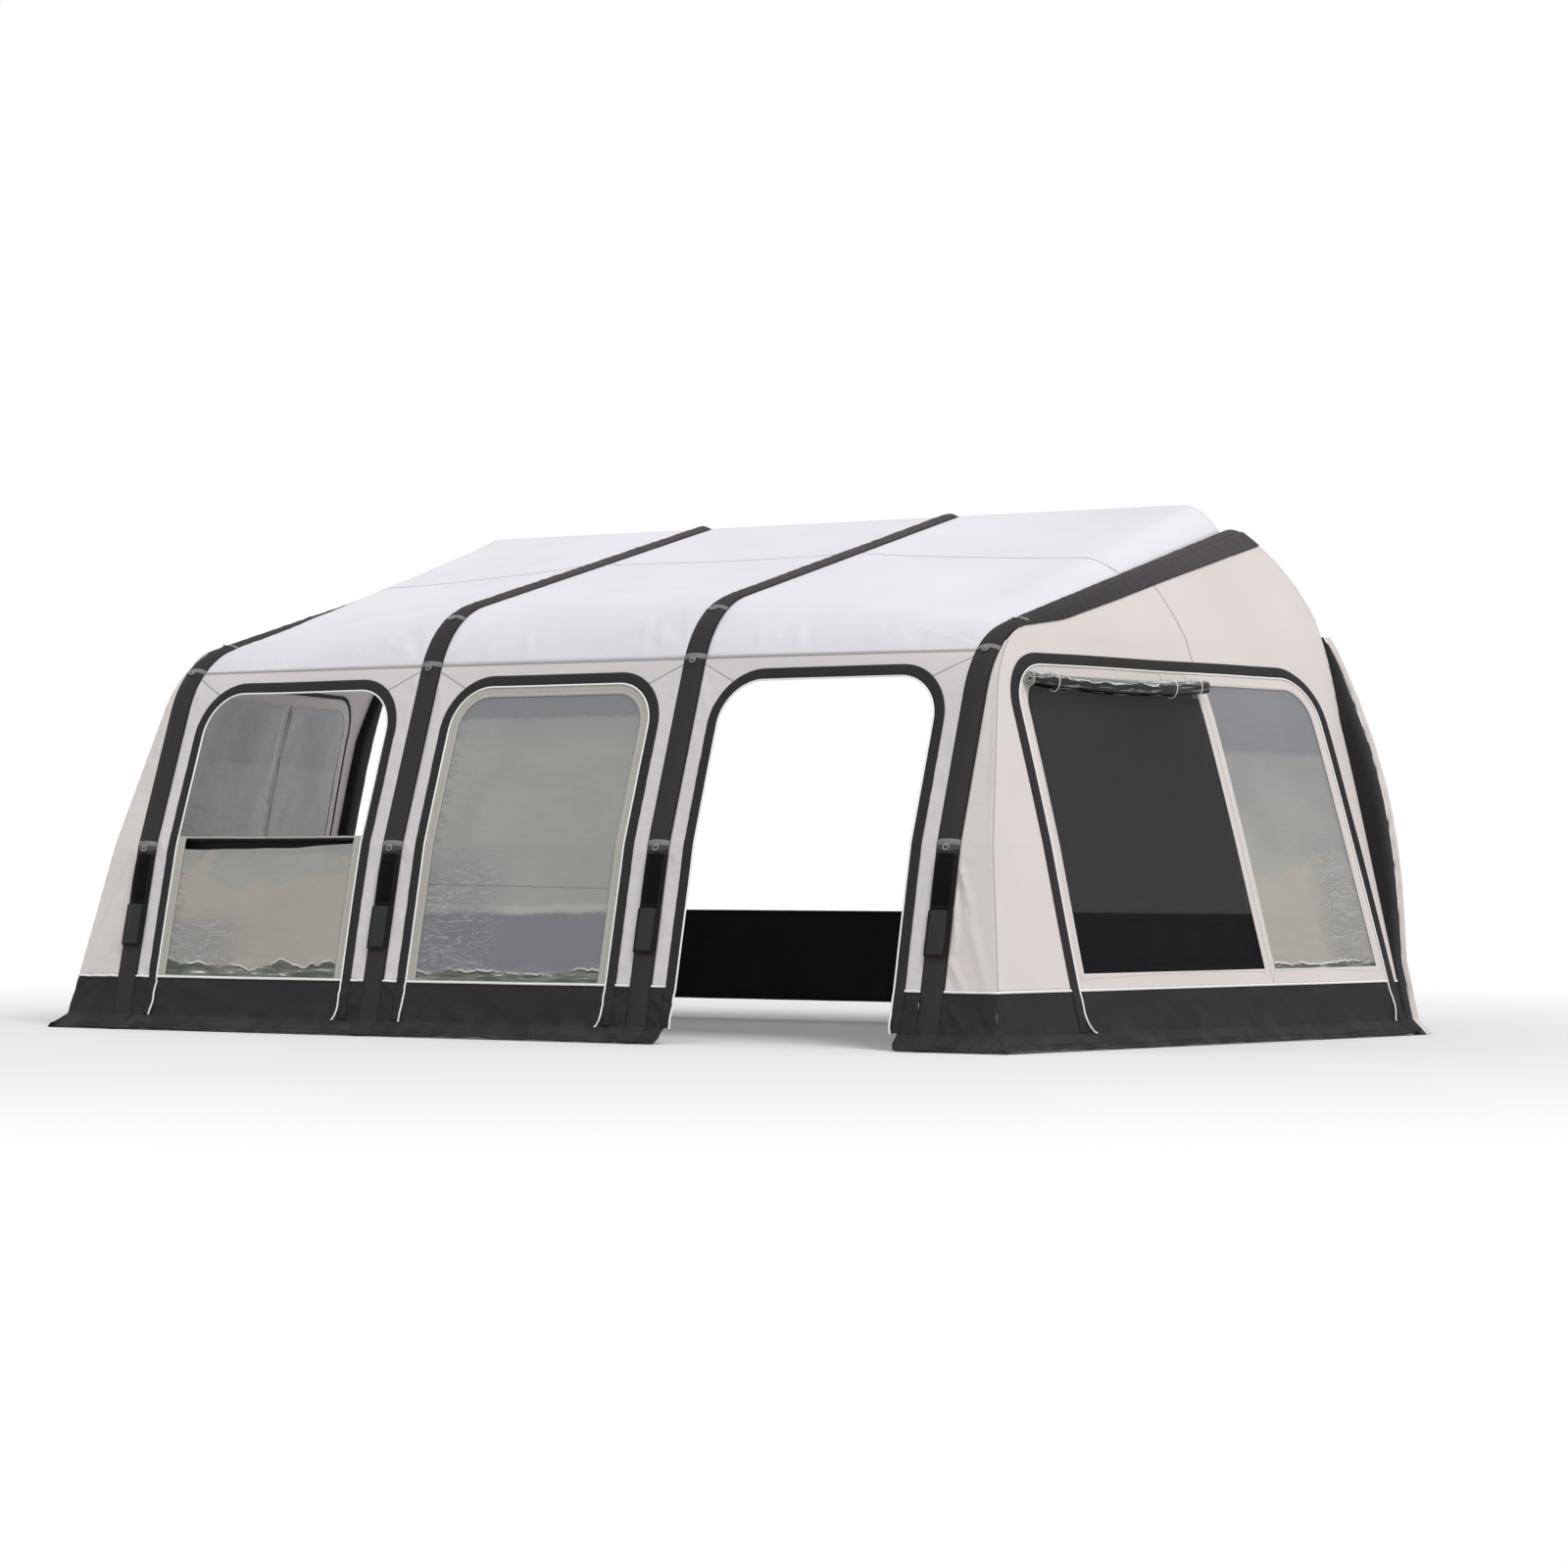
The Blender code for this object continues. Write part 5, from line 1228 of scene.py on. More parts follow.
@lru_cache(maxsize=None)
def finish_of(kind):
    """The shared finishes, each made once."""
    colours = bpy.context.scene.awning_colours
    makers = {
        # The roof's eave value paints shade towards its eave.
        "roof": lambda: cloth_finish("roof_cloth", colours.roof, 0.72, 0.0024, eave=0.22),
        "front": lambda: cloth_finish("front_cloth", colours.front),
        "side": lambda: cloth_finish("side_cloth", colours.side),
        "roof_seam": lambda: cloth_finish("roof_seam", toned(colours.roof, 0.78), rows=(0.003, 0.008)),
        "front_seam": lambda: cloth_finish("front_seam", toned(colours.front, 0.7), rows=(0.003, 0.008)),
        "side_seam": lambda: cloth_finish("side_seam", toned(colours.side, 0.84), rows=(0.003, 0.008)),
        "border": lambda: cloth_finish("window_border", colours.border, rows=(0.006, 0.043)),
        "side_border": lambda: cloth_finish("side_window_border", colours.side, rows=(0.006, 0.066)),
        "dark": lambda: cloth_finish("dark_cloth", colours.dark, 0.7, 0.003, dust=0.1),
        "band": lambda: cloth_finish("band_cloth", colours.dark, 0.7, rows=(0.005, 0.047)),
        "hem": lambda: cloth_finish(
            "hem_cloth", toned(colours.dark, 0.9), 0.7, rows=(0.004, 0.018), dust=0.12),
        # The cover's painted roof light makes its roof part paler.
        "cover": lambda: cloth_finish("beam_cover_cloth", colours.cover, 0.78, painted_roof_light=0.55),
        "cover_hem": lambda: cloth_finish(
            "cover_hem", toned(colours.cover, 0.85), 0.78, rows=(0.003, 0.0065)),
        "patch": lambda: cloth_finish("patch_cloth", srgb(72, 70, 73), 0.7),
        "flap": lambda: cloth_finish("flap_cloth", colours.flap, 0.66, 0.002, gloss=0.06),
        "pouch": lambda: cloth_finish("pouch_cloth", colours.pouch, 0.6, 0.004),
        "flap_edge": lambda: cloth_finish("flap_edge", toned(colours.flap, 1.5), 0.7, rows=(0.003, 0.009)),
        "skirt": lambda: cloth_finish("skirt_cloth", colours.skirt, 0.45, 0.004),
        "pad": lambda: cloth_finish("pad_cloth", toned(colours.dark, 0.8), 0.6, 0.003),
        "sleeve": lambda: cloth_finish("air_beam_sleeve", toned(colours.flap, 1.4), 0.7, 0.002),
        "tab": lambda: webbing_finish("tab_webbing", colours.tab),
        "peg_webbing": lambda: webbing_finish("peg_webbing", colours.flap),
        "piping": lambda: plain_finish("piping", colours.piping, 0.45),
        "steel": lambda: plain_finish("ring_steel", srgb(176, 178, 180), 0.28, 0.9),
        "plastic": lambda: plain_finish("valve_plastic", srgb(44, 44, 47), 0.45),
        "rail": lambda: plain_finish("rail_tube", srgb(40, 44, 42), 0.35, 0.3),
        "zip": lambda: plain_finish("zip_metal", srgb(60, 60, 63), 0.35, 0.7),
        "mesh": lambda: mesh_finish("insect_mesh", colours.mesh),
        "rolled": lambda: rolled_film_finish("rolled_film"),
        "roll_end": lambda: plain_finish("roll_end", srgb(196, 194, 186), 0.3),
    }
    return makers[kind]()


# Pieces


def cords(name, lines, radius, slot=None, sides=8, stands_for=()):
    """One piece of several pipings."""
    bm = bmesh.new()
    for line in lines:
        tube(bm, line, radius, sides)
    return piece(name, bm, "piping", slot=slot, stands_for=stands_for)


def build_beam(index, x):
    """The inflated tube in its sleeve, with the valve's boss."""
    girths = beam_run(x)[1]
    upper = steps_between(girths[1] - 0.05, girths[-1] - BEAM_END_INSET, 0.03)
    stations = [girth_of_height(BEAM_FOOT_RUN), *upper]
    path = [along_beam(x, station, -BEAM_SINK) for station in stations]
    path.insert(0, (path[0][0], 0.002))
    points = [Vector((splayed_x(x, depth), RAIL_Y - depth, z)) for depth, z in path]
    bm = bmesh.new()
    pattern = bm.loops.layers.uv.new(PATTERN)
    tube(bm, points, BEAM_RADIUS - GAP, 24)
    for face in bm.faces:
        for loop in face.loops:
            loop[pattern].uv = (loop.vert.co.x, loop.vert.co.z - loop.vert.co.y)
    skin = beam_skin(x, 0)
    girth = girth_of_height(KNEE_HEIGHT - VALVE_BELOW_KNEE)
    turn = frame_on(skin, 0, girth)
    boss = COVER_CROWN - BEAM_RADIUS + BEAM_SINK - VALVE_RIM
    for radius, high in ((VALVE_RADIUS, -boss), (VALVE_RADIUS + VALVE_RIM, -boss - VALVE_RIM)):
        bmesh.ops.create_cone(
            bm, cap_ends=True, segments=32, radius1=radius, radius2=radius, depth=high - VALVE_ROOT,
            matrix=turn @ Matrix.Translation((0, 0, (VALVE_ROOT + high) / 2)),
        )
    piece(f"air_tube_{index}", bm, "sleeve", stands_for=[f"air_beam_{index}"],
          slot="air_beam_cloth")


def build_cover(index, x):
    """The dark cover over a beam, sewn from the fold up to the rail, with a hole for the valve."""
    skin = beam_skin(x)
    rail = beam_run(x)[1][-1]
    half = HALF_COVER + COVER_FLANGE
    foot = -(FOLD_HEIGHT - FLAP_LIFT) * FLAP_SLOPE
    bm = bmesh.new()
    first = straight((-half, foot), (-half, rail - GAP), COVER_STEP)
    second = straight((half, foot), (half, rail - GAP), COVER_STEP)
    length = strip(bm, skin, first, second, COVER_LIFT, rows=18, size=COVER_STEP)
    valve = girth_of_height(KNEE_HEIGHT - VALVE_BELOW_KNEE)
    middle = skin.at(0, valve, COVER_LIFT)
    near = [vert for vert in bm.verts if (vert.co - middle).length < VALVE_HOLE_RADIUS]
    bmesh.ops.delete(bm, geom=near, context="VERTS")
    cover = piece(f"cover_cloth_{index}", bm, "cover", thick=CLOTH, slot="beam_cover_cloth",
                  stands_for=[f"beam_cover_{index}"])
    bm = bmesh.new()
    for side in (-1, 1):
        edge = straight((side * half, foot), (side * half, rail - GAP), 0.012)
        inner = [point - Vector((side * COVER_HEM, 0)) for point in edge]
        strip(bm, skin, edge, inner, 0.0016, rows=2, size=0.012)
    turns = [math.radians(10 * step) for step in range(36)]
    rims = [
        [Vector((radius * math.cos(turn), valve + radius * math.sin(turn))) for turn in turns]
        for radius in (VALVE_HOLE_RADIUS + reach for reach in HOLE_HEM)
    ]
    strip(bm, skin, *rims, 0.0022, closed=True, size=TRIM_STEP)
    hems = trim(f"cover_hems_{index}", bm, "cover_hem", 2 * COVER_HEM, cover.name)


def cover_tabs(x):
    """The middle of each guy line tab, as a distance up the profile."""
    seam_girth = girth_of_seam(x)
    return beam_run(x)[1][1], seam_girth, seam_girth + ROOF_TAB_STEP


def build_tabs(index, x):
    """Three webbing tabs across a cover, each with a loop that holds a steel ring."""
    skin = beam_skin(x)
    tabs, rings = bmesh.new(), bmesh.new()
    half = HALF_COVER + COVER_FLANGE / 2
    for middle in cover_tabs(x):
        low, high = middle - TAB_HEIGHT / 2, middle + TAB_HEIGHT / 2
        lines = [straight((-half, edge), (half, edge), 0.008) for edge in (low, high)]
        strip(tabs, skin, *lines, TAB_LIFT, shape=lambda along, share: 0.0008 * (1 - (2 * share - 1) ** 4))
        drop = low - sizes().ring * 0.55
        turn = frame_on(skin, 0, drop, 0.0062) @ Matrix.Rotation(TAB_TILT, 4, "X")
        ring(rings, turn, sizes().ring, sizes().ring_wire)
        reach = TAB_LOOP_REACH
        lines = [straight((-reach, edge), (reach, edge), 0.004) for edge in (low - 0.010, low + 0.006)]
        for rise in TAB_LOOP_RISES:
            strip(tabs, skin, *lines, rise, rows=6, shape=lambda along, share, rise=rise: (
                (0.0036 - rise) * ease((share - 0.35) / 0.65) + (0.0055 - rise) * ease((0.3 - share) / 0.3)
            ))
    tab = piece(f"guy_tabs_{index}", tabs, "tab", thick=WEBBING)
    hoops = piece(f"guy_rings_{index}", rings, "steel")
    head = cover_tabs(x)[0] - TAB_HEIGHT / 2
    side = PATCH_LENGTH - PATCH_POINT
    outline = [(-half, head - side), (0, head - PATCH_LENGTH), (half, head - side)]
    outline = [(-half, head + 0.004), *outline, (half, head + 0.004)]
    cloth = lay(outline, TRIM_STEP, skin, 0.0026)
    trim(f"guy_patch_{index}", cloth, "patch", COVER_WIDTH, f"cover_cloth_{index}", 0.0008)


def flap_span():
    """The valve flap's lower and upper ends, as distances up the profile."""
    top = girth_of_height(KNEE_HEIGHT - VALVE_FLAP_BELOW_KNEE)
    return top - VALVE_FLAP_LENGTH, top


def pouch_span():
    top = flap_span()[0] - POUCH_BELOW_FLAP
    return top - POUCH_LENGTH, top


def build_flap(name, body, x, half, low, high, rise, radius):
    """A hinged flap with round lower corners and a bound edge; rise gives its height over the cover."""
    skin = beam_skin(x, 0)
    outline = rounded([(-half, high), (-half, low), (half, low), (half, high)], radius, 6)
    bm = lay(outline, TRIM_STEP, skin, slack=rise)
    kind = "pouch" if "pouch" in name else "flap"
    flap = piece(name, bm, kind, body, CLOTH, [body], "flap_cloth")
    bound = bmesh.new()
    inner = beside(outline, FLAP_BINDING)
    inner[0].y = inner[-1].y = high
    over_flap = Skin(skin.place, lambda u, v: rise(u, v) + 0.0009, skin.outward)
    strip(bound, over_flap, outline, inner, rows=2, size=TRIM_STEP)
    binding = trim(f"{name}_binding", bound, "flap_edge", FLAP_BINDING, name, BINDING_CLOTH, body=body,
                   slot="flap_cloth")


def build_flaps(index, x):
    low, high = flap_span()
    half = VALVE_FLAP_WIDTH / 2

    def over_valve(offset, girth):
        across = min(abs(offset) / half, 1)
        up = 2 * (girth - low) / (high - low) - 1
        swell = VALVE_FLAP_BULGE * (1 - across**4) * (1 - abs(up) ** 4) * ease((1 - up) / 0.35)
        rumple = wave(offset, girth, 14, 26, x + 2) * 0.0012 * (1 - across**2) * ease((1 - up) / 0.3)
        return 0.0032 + swell + rumple

    build_flap(f"valve_flap_cloth_{index}", f"valve_flap_{index}", x, half, low, high, over_valve, 0.012)
    low, high = pouch_span()
    half = (POUCH_WIDTH + POUCH_FLAP_MARGIN) / 2
    foot = low - POUCH_FLAP_MARGIN

    def over_pouch(offset, girth):
        rumple = wave(offset, girth, 12, 16, x + 4) * 0.0012 * ease((high - girth) / 0.05)
        return POUCH_DEPTH + 0.0036 + rumple

    build_flap(f"pouch_flap_cloth_{index}", f"guy_pouch_flap_{index}", x, half, foot, high, over_pouch, 0.010)


def build_pouch(index, x):
    """The guy line pouch, sewn on the cover under its flap."""
    low, high = pouch_span()
    skin = beam_skin(x, 0)
    half = POUCH_WIDTH / 2

    def pocket(offset, girth):
        edge = min(half - abs(offset), girth - low, high - girth)
        return 0.0005 + POUCH_DEPTH * ease(edge / 0.009) + wave(offset, girth, 20, 14, x) * 0.0008

    outline = [(-half, low), (half, low), (half, high), (-half, high)]
    bm = lay(outline, 0.004, skin, slack=pocket)
    pouch = piece(f"guy_pouch_{index}", bm, "pouch", thick=WEBBING, slot="flap_cloth")


def build_roof(index, bay):
    """A roof panel from the eave seam to the rail, with its seams."""
    left, right = cloth_edge(index, 1), cloth_edge(index + 1, -1)
    outline = [(left, 0), (right, 0), (right, ROOF_LENGTH - 0.001), (left, ROOF_LENGTH - 0.001)]
    roof = piece(
        f"roof_cloth_{bay}", lay(outline, ROOF_STEP, ROOF), "roof", thick=CLOTH,
        stands_for=[f"roof_panel_{bay}"], slot="roof_cloth",
    )
    bm = bmesh.new()
    half_way = ROOF_ARC + ROOF_SEAM_SHARE * ROOF_SLOPE
    seam(bm, ROOF, straight((left, half_way), (right, half_way), ROOF_STEP))
    seams = trim(f"roof_seams_{bay}", bm, "roof_seam", sizes().seam, roof.name)


def build_front_wall(index, bay):
    """The cloth round a bay's opening, the eave seam and the seams from the tabs to the band's corners."""
    left, right = cloth_edge(index, 1), cloth_edge(index + 1, -1)
    head = EAVE_SEAM_HEIGHT
    centre = bay_centre(index)
    arch = bay_arch(centre, WALL_REACH, WALL_FOOT)
    outline = [(left, WALL_FOOT), *arch, (right, WALL_FOOT), (right, head), (left, head)]
    bm = lay(outline, FRONT_STEP, FRONT, folds=[KNEE_HEIGHT])
    wall = piece(f"front_cloth_{bay}", bm, "front", thick=CLOTH,
                 stands_for=[f"front_wall_{bay}"], slot="front_cloth")
    bm = bmesh.new()
    seam(bm, FRONT, straight((left, head - 0.004), (right, head - 0.004), FRONT_STEP))
    corner = bay_arch(centre, BAND_WIDTH, WALL_FOOT)
    turn = len(corner) // 4
    for edge, point in ((left, corner[turn + 1]), (right, corner[-turn - 2])):
        seam(bm, FRONT, straight((edge, head - 0.03), point, FRONT_STEP), 0.006)
    seams = trim(f"front_seams_{bay}", bm, "front_seam", sizes().seam, wall.name)


def loose_end(skin, u, foot, curl):
    """The end of a piping that hangs loose over the mud wall, curled to one side."""
    points = []
    for step in range(LOOSE_END_STEPS + 1):
        share = step / LOOSE_END_STEPS
        rise = LAYER + PIPING_LIFT + PIPING_LIFT * math.sin(3 * share)
        points.append(skin.at(u + curl * share**2.2, foot + LOOSE_END * (1 - share), rise))
    return points


def build_band(name, piping_name, node, skin, arch, size, drop, curls):
    """The dark band over the zip round an opening, with white piping along its inner edge that ends loosely;
    arch gives the line at a distance from the opening's edge."""
    bm = bmesh.new()
    length = strip(bm, skin, arch(BAND_WIDTH), arch(BAND_LAP), LAYER, rows=5, shape=padded_band)
    band = piece(name, bm, "band", thick=CLOTH, stands_for=[node], slot="dark_cloth")
    line = [point for point in fill_in(arch(-PIPING_INSET), size) if point.y > BAND_FOOT + BAND_OPEN_FOOT]
    middle = [skin.at(point.x, point.y, LAYER + 0.001) for point in line]
    start = loose_end(skin, line[0].x, BAND_FOOT - drop, curls[0])[::-1]
    end = loose_end(skin, line[-1].x, BAND_FOOT - drop, curls[1])
    piping = cords(piping_name, [start + middle + end], sizes().piping)


def build_zip_band(index, bay):
    centre = bay_centre(index)
    build_band(
        f"band_cloth_{bay}", f"band_piping_{bay}", f"zip_band_{bay}", FRONT,
        lambda reach: bay_arch(centre, reach, BAND_FOOT), FRONT_STEP, 0.006, BAND_CURLS[bay],
    )


def build_mud_wall(name, cloth, hem_lines, top_lines):
    """A mud wall with its flap on the ground, a hem on its foot and white piping on its top edge."""
    stands_for = [name.replace("cloth", "wall")]
    wall = piece(name, cloth, "dark", thick=CLOTH, stands_for=stands_for, slot="dark_cloth")
    bm = bmesh.new()
    for skin, line in hem_lines:
        add_hem(bm, skin, line)
    hem = trim(f"{name}_hem", bm, "hem", sizes().hem, name, HEM_CLOTH)
    piping = cords(f"{name}_piping", top_lines, sizes().piping * MUD_PIPING_SHARE)


def mud_wall_end(index, side, door_edge=None):
    """One end of a mud wall, at a beam's foot or else round at the doorway: its outline from the top down,
    and the X of its upper and lower corner. side is 1 where the wall runs to the right from here, else -1."""
    if door_edge is None:
        edge, beam = cloth_edge(index, side), BEAM_PLACES[index] + side * GAP
        foot = [(edge, TONGUE_HEIGHT), (beam, TONGUE_HEIGHT), (beam, FLAP_LIFT)]
    else:
        edge, beam = door_edge, door_edge + side * DOORWAY_END_RADIUS
        corner = [(edge, DOORWAY_END_HEIGHT), (edge, FLAP_LIFT), (edge + side * DOORWAY_END_RUN, FLAP_LIFT)]
        foot = rounded(corner, DOORWAY_END_RADIUS, 5)
    return [(edge, MUD_WALL_TOP), *foot], edge, beam


def build_front_mud_walls():
    """The mud walls of the front bays; the doorway has one stub on each side."""
    door, reach, top = bay_centre(2), HALF_BAY + WALL_REACH, MUD_WALL_TOP
    spans = [
        ("left", 0, None, None),
        ("middle", 1, None, None),
        ("door_left", 2, None, door - reach),
        ("door_right", 2, door + reach, None),
    ]
    for name, index, left_edge, right_edge in spans:
        down, left, start = mud_wall_end(index, 1, left_edge)
        up, right, end = mud_wall_end(index + 1, -1, right_edge)
        hem_line = straight((start, FLAP_LIFT), (end, FLAP_LIFT), FRONT_STEP)
        centre = bay_centre(index)
        tops = []
        if left_edge is None:
            tops.append((left + 0.003, centre - HALF_BAY - BAND_WIDTH))
        if right_edge is None:
            tops.append((centre + HALF_BAY + BAND_WIDTH, right - 0.003))
        if left_edge is None and right_edge is None:
            tops.append((centre - HALF_BAY, centre + HALF_BAY))
        lines = [
            [FRONT.at(u, v, PIPING_LIFT) for u, v in straight((low, top), (high, top), FRONT_STEP)]
            for low, high in tops
        ]
        cloth = lay(down + up[::-1], FRONT_STEP, FRONT, folds=MUD_WALL_FOLDS)
        build_mud_wall(f"mud_cloth_{name}", cloth, [(FRONT, hem_line)], lines)


def build_border(name, node, skin, outline, inner, finish, body="shell", seed=41.5, pucker=0.0016):
    """The border of a panel, between its outline and its pane, with small puckers across its inner edge."""

    def puckers(along, share):
        gathered = wave(along, share * 0.3, 62, 1, seed) * ease(0.5 + wave(along, 0, 2.2, 1, seed + 1))
        hem = 0.0008 * ease((share - 0.8) / 0.1)
        return pucker * gathered * math.sin(math.pi * min(share * 1.1, 1)) + hem

    bm = bmesh.new()
    length = strip(bm, skin, outline, inner, closed=True, rows=8, shape=puckers, size=TRIM_STEP)
    border = piece(name, bm, finish, body, CLOTH, [node] if node else (), "window_border")


def raised_foot(outline, foot):
    """The outline with its lowest points moved to the height foot."""
    low = min(point.y for point in outline)
    return [Vector((point.x, foot)) if point.y < low + WELD else point for point in outline]


def build_film(
    name, node, skin, outline, low, finish, rise=-LAYER, body="shell", slump=0.007, side=0.0
):
    """A film pane, taut near its border and crumpled at its foot; side is how much its left edge is crumpled,
    and node may be None."""
    left = min(point[0] for point in outline)
    edge_points = fill_in([*outline, outline[0]], 0.03)

    def slack(u, v):
        edge = min((point - Vector((u, v))).length for point in edge_points)
        hold = ease((edge - FILM_OVERLAP) / 0.02)
        foot = math.exp(-(max(v - low, 0) / 0.075) ** 2)
        crumple = wave(u, v, 8, 24, 51.5) * slump * 1.8 * foot
        crumple += wave(u + 0.4 * v, v, 28, 48, 53.5) * slump * 0.6 * foot
        beside_edge = wave(u + v, v, 16, 30, 55.5) * side * math.exp(-max(u - left, 0) / 0.16)
        broad = wave(u, v, 2.4, 1.8, 57.5) * 0.007 + wave(u + 0.3 * v, v, 6, 3.5, 58.5) * 0.002
        return hold * (crumple + beside_edge + broad) - 0.003 * hold

    bm = lay(outline, FILM_STEP, skin, rise, slack)
    slot = "insect_mesh" if finish == finish_of("mesh") else "clear_film"
    film = piece(name, bm, finish, body, TRIM_CLOTH, [node] if node else (), slot)


def build_middle_bay():
    """The middle bay's panel: a border round one clear film."""
    low, high = WALL_FOOT + PANEL_FOOT_BORDER, BAY_OPENING_TOP + PANEL_REACH - PANEL_BORDER
    outline = bay_arch(0, PANEL_REACH, WALL_FOOT)
    inner = raised_foot(inset(outline, PANEL_BORDER), low)
    build_border("middle_border", "middle_panel", FRONT, outline, inner, "border", pucker=0.0026)
    pane = raised_foot(inset(outline, PANEL_BORDER - FILM_OVERLAP), low - FILM_FOOT_OVERLAP)
    left, right = min(point.x for point in inner), max(point.x for point in inner)
    finish = film_finish("middle_film_haze", left, right, low, high)
    build_film("middle_clear", "middle_film", FRONT, pane, low, finish, side=0.004)


def veranda_axis():
    """The middle of the veranda rail, as depth and height."""
    return leg_depth(VERANDA_HEIGHT) - BEAM_SINK, VERANDA_HEIGHT


def build_veranda():
    """The left bay's panel, lowered: one half below the rail and the other hung over it, inside."""
    centre = bay_centre(0)
    half = HALF_BAY + PANEL_REACH
    foot, head = WALL_FOOT, VERANDA_HEIGHT + LOWER_PANEL_RISE
    low, high = foot + PANEL_FOOT_BORDER, head - LOWER_PANEL_EDGE
    left, right = centre - half, centre + half
    outline = [Vector(corner) for corner in ((left, foot), (right, foot), (right, head), (left, head))]
    start, end = left + PANEL_BORDER, right - PANEL_BORDER
    inner = [Vector(corner) for corner in ((start, low), (end, low), (end, high), (start, high))]
    build_border("veranda_border", "veranda_lower_panel", FRONT, outline, inner, "border", seed=43.5,
                 pucker=0.0026)
    reach = PANEL_BORDER - FILM_OVERLAP
    pane = [Vector((edge, low - FILM_FOOT_OVERLAP)) for edge in (left + reach, right - reach)]
    for step in range(25):
        share = step / 24
        x = right - reach + (left - right + 2 * reach) * share
        droop = 0.052 - 0.026 * (1 - ease(share / 0.5))
        droop += 0.003 * math.sin(9 * share) + 0.0015 * math.sin(23 * share)
        pane.append(Vector((x, high - droop)))
    finish = film_finish("veranda_film_haze", start, end, low, high, head=0.05, foot=0.78, foot_tone="veil",
                         cloudy=1.3, cover=0.9, line=0, fold=0.065)
    build_film("veranda_clear", "veranda_film", FRONT, pane, low, finish, slump=0.009, side=0.003)
    build_hanging_panel(centre, half - UPPER_PANEL_MARGIN)


def build_hanging_panel(centre, half):
    """The upper half of the left bay's panel, hung inside in soft folds from a dark sleeve over the rail."""
    depth, rail_z = veranda_axis()
    length = (BAY_OPENING_TOP - VERANDA_HEIGHT) * math.hypot(1, UPPER_LEAN_SHARE) - UPPER_PANEL_MARGIN
    inside = VERANDA_RAIL_RADIUS + 2 * GAP + CLOTH

    def place(u, v):
        if v > 0:
            angle = v / inside
            return Vector((u, RAIL_Y - depth + inside * math.cos(angle), rail_z + inside * math.sin(angle)))
        return Vector((u, RAIL_Y - depth + inside, rail_z + v))

    def ripple(u, v):
        down = max(-v, 0) / length
        folds = math.sin(math.pi * HANG_FOLDS * (u - centre) / half) * HANG_FOLD_DEPTH
        return down * (folds + 0.008 * wave(u, v, 4, 3, 61.5))

    def slack(u, v):
        return 0.003 * ease(-v / 0.04)

    skin = Skin(place, ripple, (0, 1, 0))
    wrap = inside * math.radians(200)
    neck = -0.075
    left, right = centre - half, centre + half
    outline = rounded([(left, neck), (left, -length), (right, -length), (right, neck)], BAY_CORNER_RADIUS)
    inner = inset(outline, PANEL_BORDER)
    low, high = -length + PANEL_BORDER, neck - 0.02
    inner[0].y = inner[-1].y = high
    body = "veranda_upper_panel"
    build_border("hanging_border", body, skin, outline, inner, "border", body=body, seed=45.5)
    cut = [(left, neck - 0.01), (right, neck - 0.01), (right, wrap), (left, wrap)]
    cloth = lay(cut, 0.005, Skin(place, flat_ripple, (0, 1, 0)), slack=slack)
    sleeve = piece("hanging_sleeve", cloth, "band", body, CLOTH, slot="window_border")
    pane = inset(outline, PANEL_BORDER - FILM_OVERLAP)
    pane[0].y = pane[-1].y = high + FILM_OVERLAP
    finish = film_finish("hanging_film_haze", left, right, low, high, cover=0.7)
    build_film("hanging_clear", None, skin, pane, low, finish, rise=-0.002, body=body, slump=0.003)


def build_side_wall(side):
    """A side wall with its gusset in front of the corner seam, and its seams."""
    skin = SIDES[side]
    sign = 1 if side == "right" else -1
    edge = cloth_edge(-1, 1)
    heights = steps_between(WALL_FOOT, CORNER_SEAM_TOP, 0.03)
    gusset = [(sign * corner_x(z), z) for z in heights]
    gusset = [(sign * edge, WALL_FOOT), *gusset, (sign * edge, CORNER_SEAM_TOP)]
    front = lay(gusset, FRONT_STEP, FRONT, folds=[KNEE_HEIGHT])
    upper = steps_between(CORNER_SEAM_TOP, REAR_TOP - GAP, 0.02)
    outline = [(side_front(z)[1], z) for z in heights + upper[1:]]
    outline += [(side_rear(z)[1], z) for z in steps_between(WALL_FOOT, REAR_TOP - GAP, 0.03)[::-1]]
    outline += window_arch(WALL_REACH, WALL_FOOT)[::-1]
    back = lay(outline, SIDE_STEP, skin, folds=[KNEE_HEIGHT])
    wall = piece(f"side_cloth_{side}", joined(back, front), "side", thick=CLOTH,
                 stands_for=[f"side_wall_{side}"], slot="side_cloth")
    bm = bmesh.new()
    corner = [Vector((side_front(z)[1] - 0.004, z)) for z in heights]
    strip(bm, skin, corner, [point - Vector((0.009, 0)) for point in corner], 0.0003, shape=felled)
    roof_depth = 0.445 * CORNER_TOP_DEPTH
    top = depth_height(roof_depth) - COVER_SIDE_FRONT
    line = straight((roof_depth, top), (roof_depth * 1.05, WINDOW_TOP + BAND_WIDTH), SIDE_STEP)
    seam(bm, skin, line, 0.008)
    seams = trim(f"side_seams_{side}", bm, "side_seam", sizes().seam, wall.name)


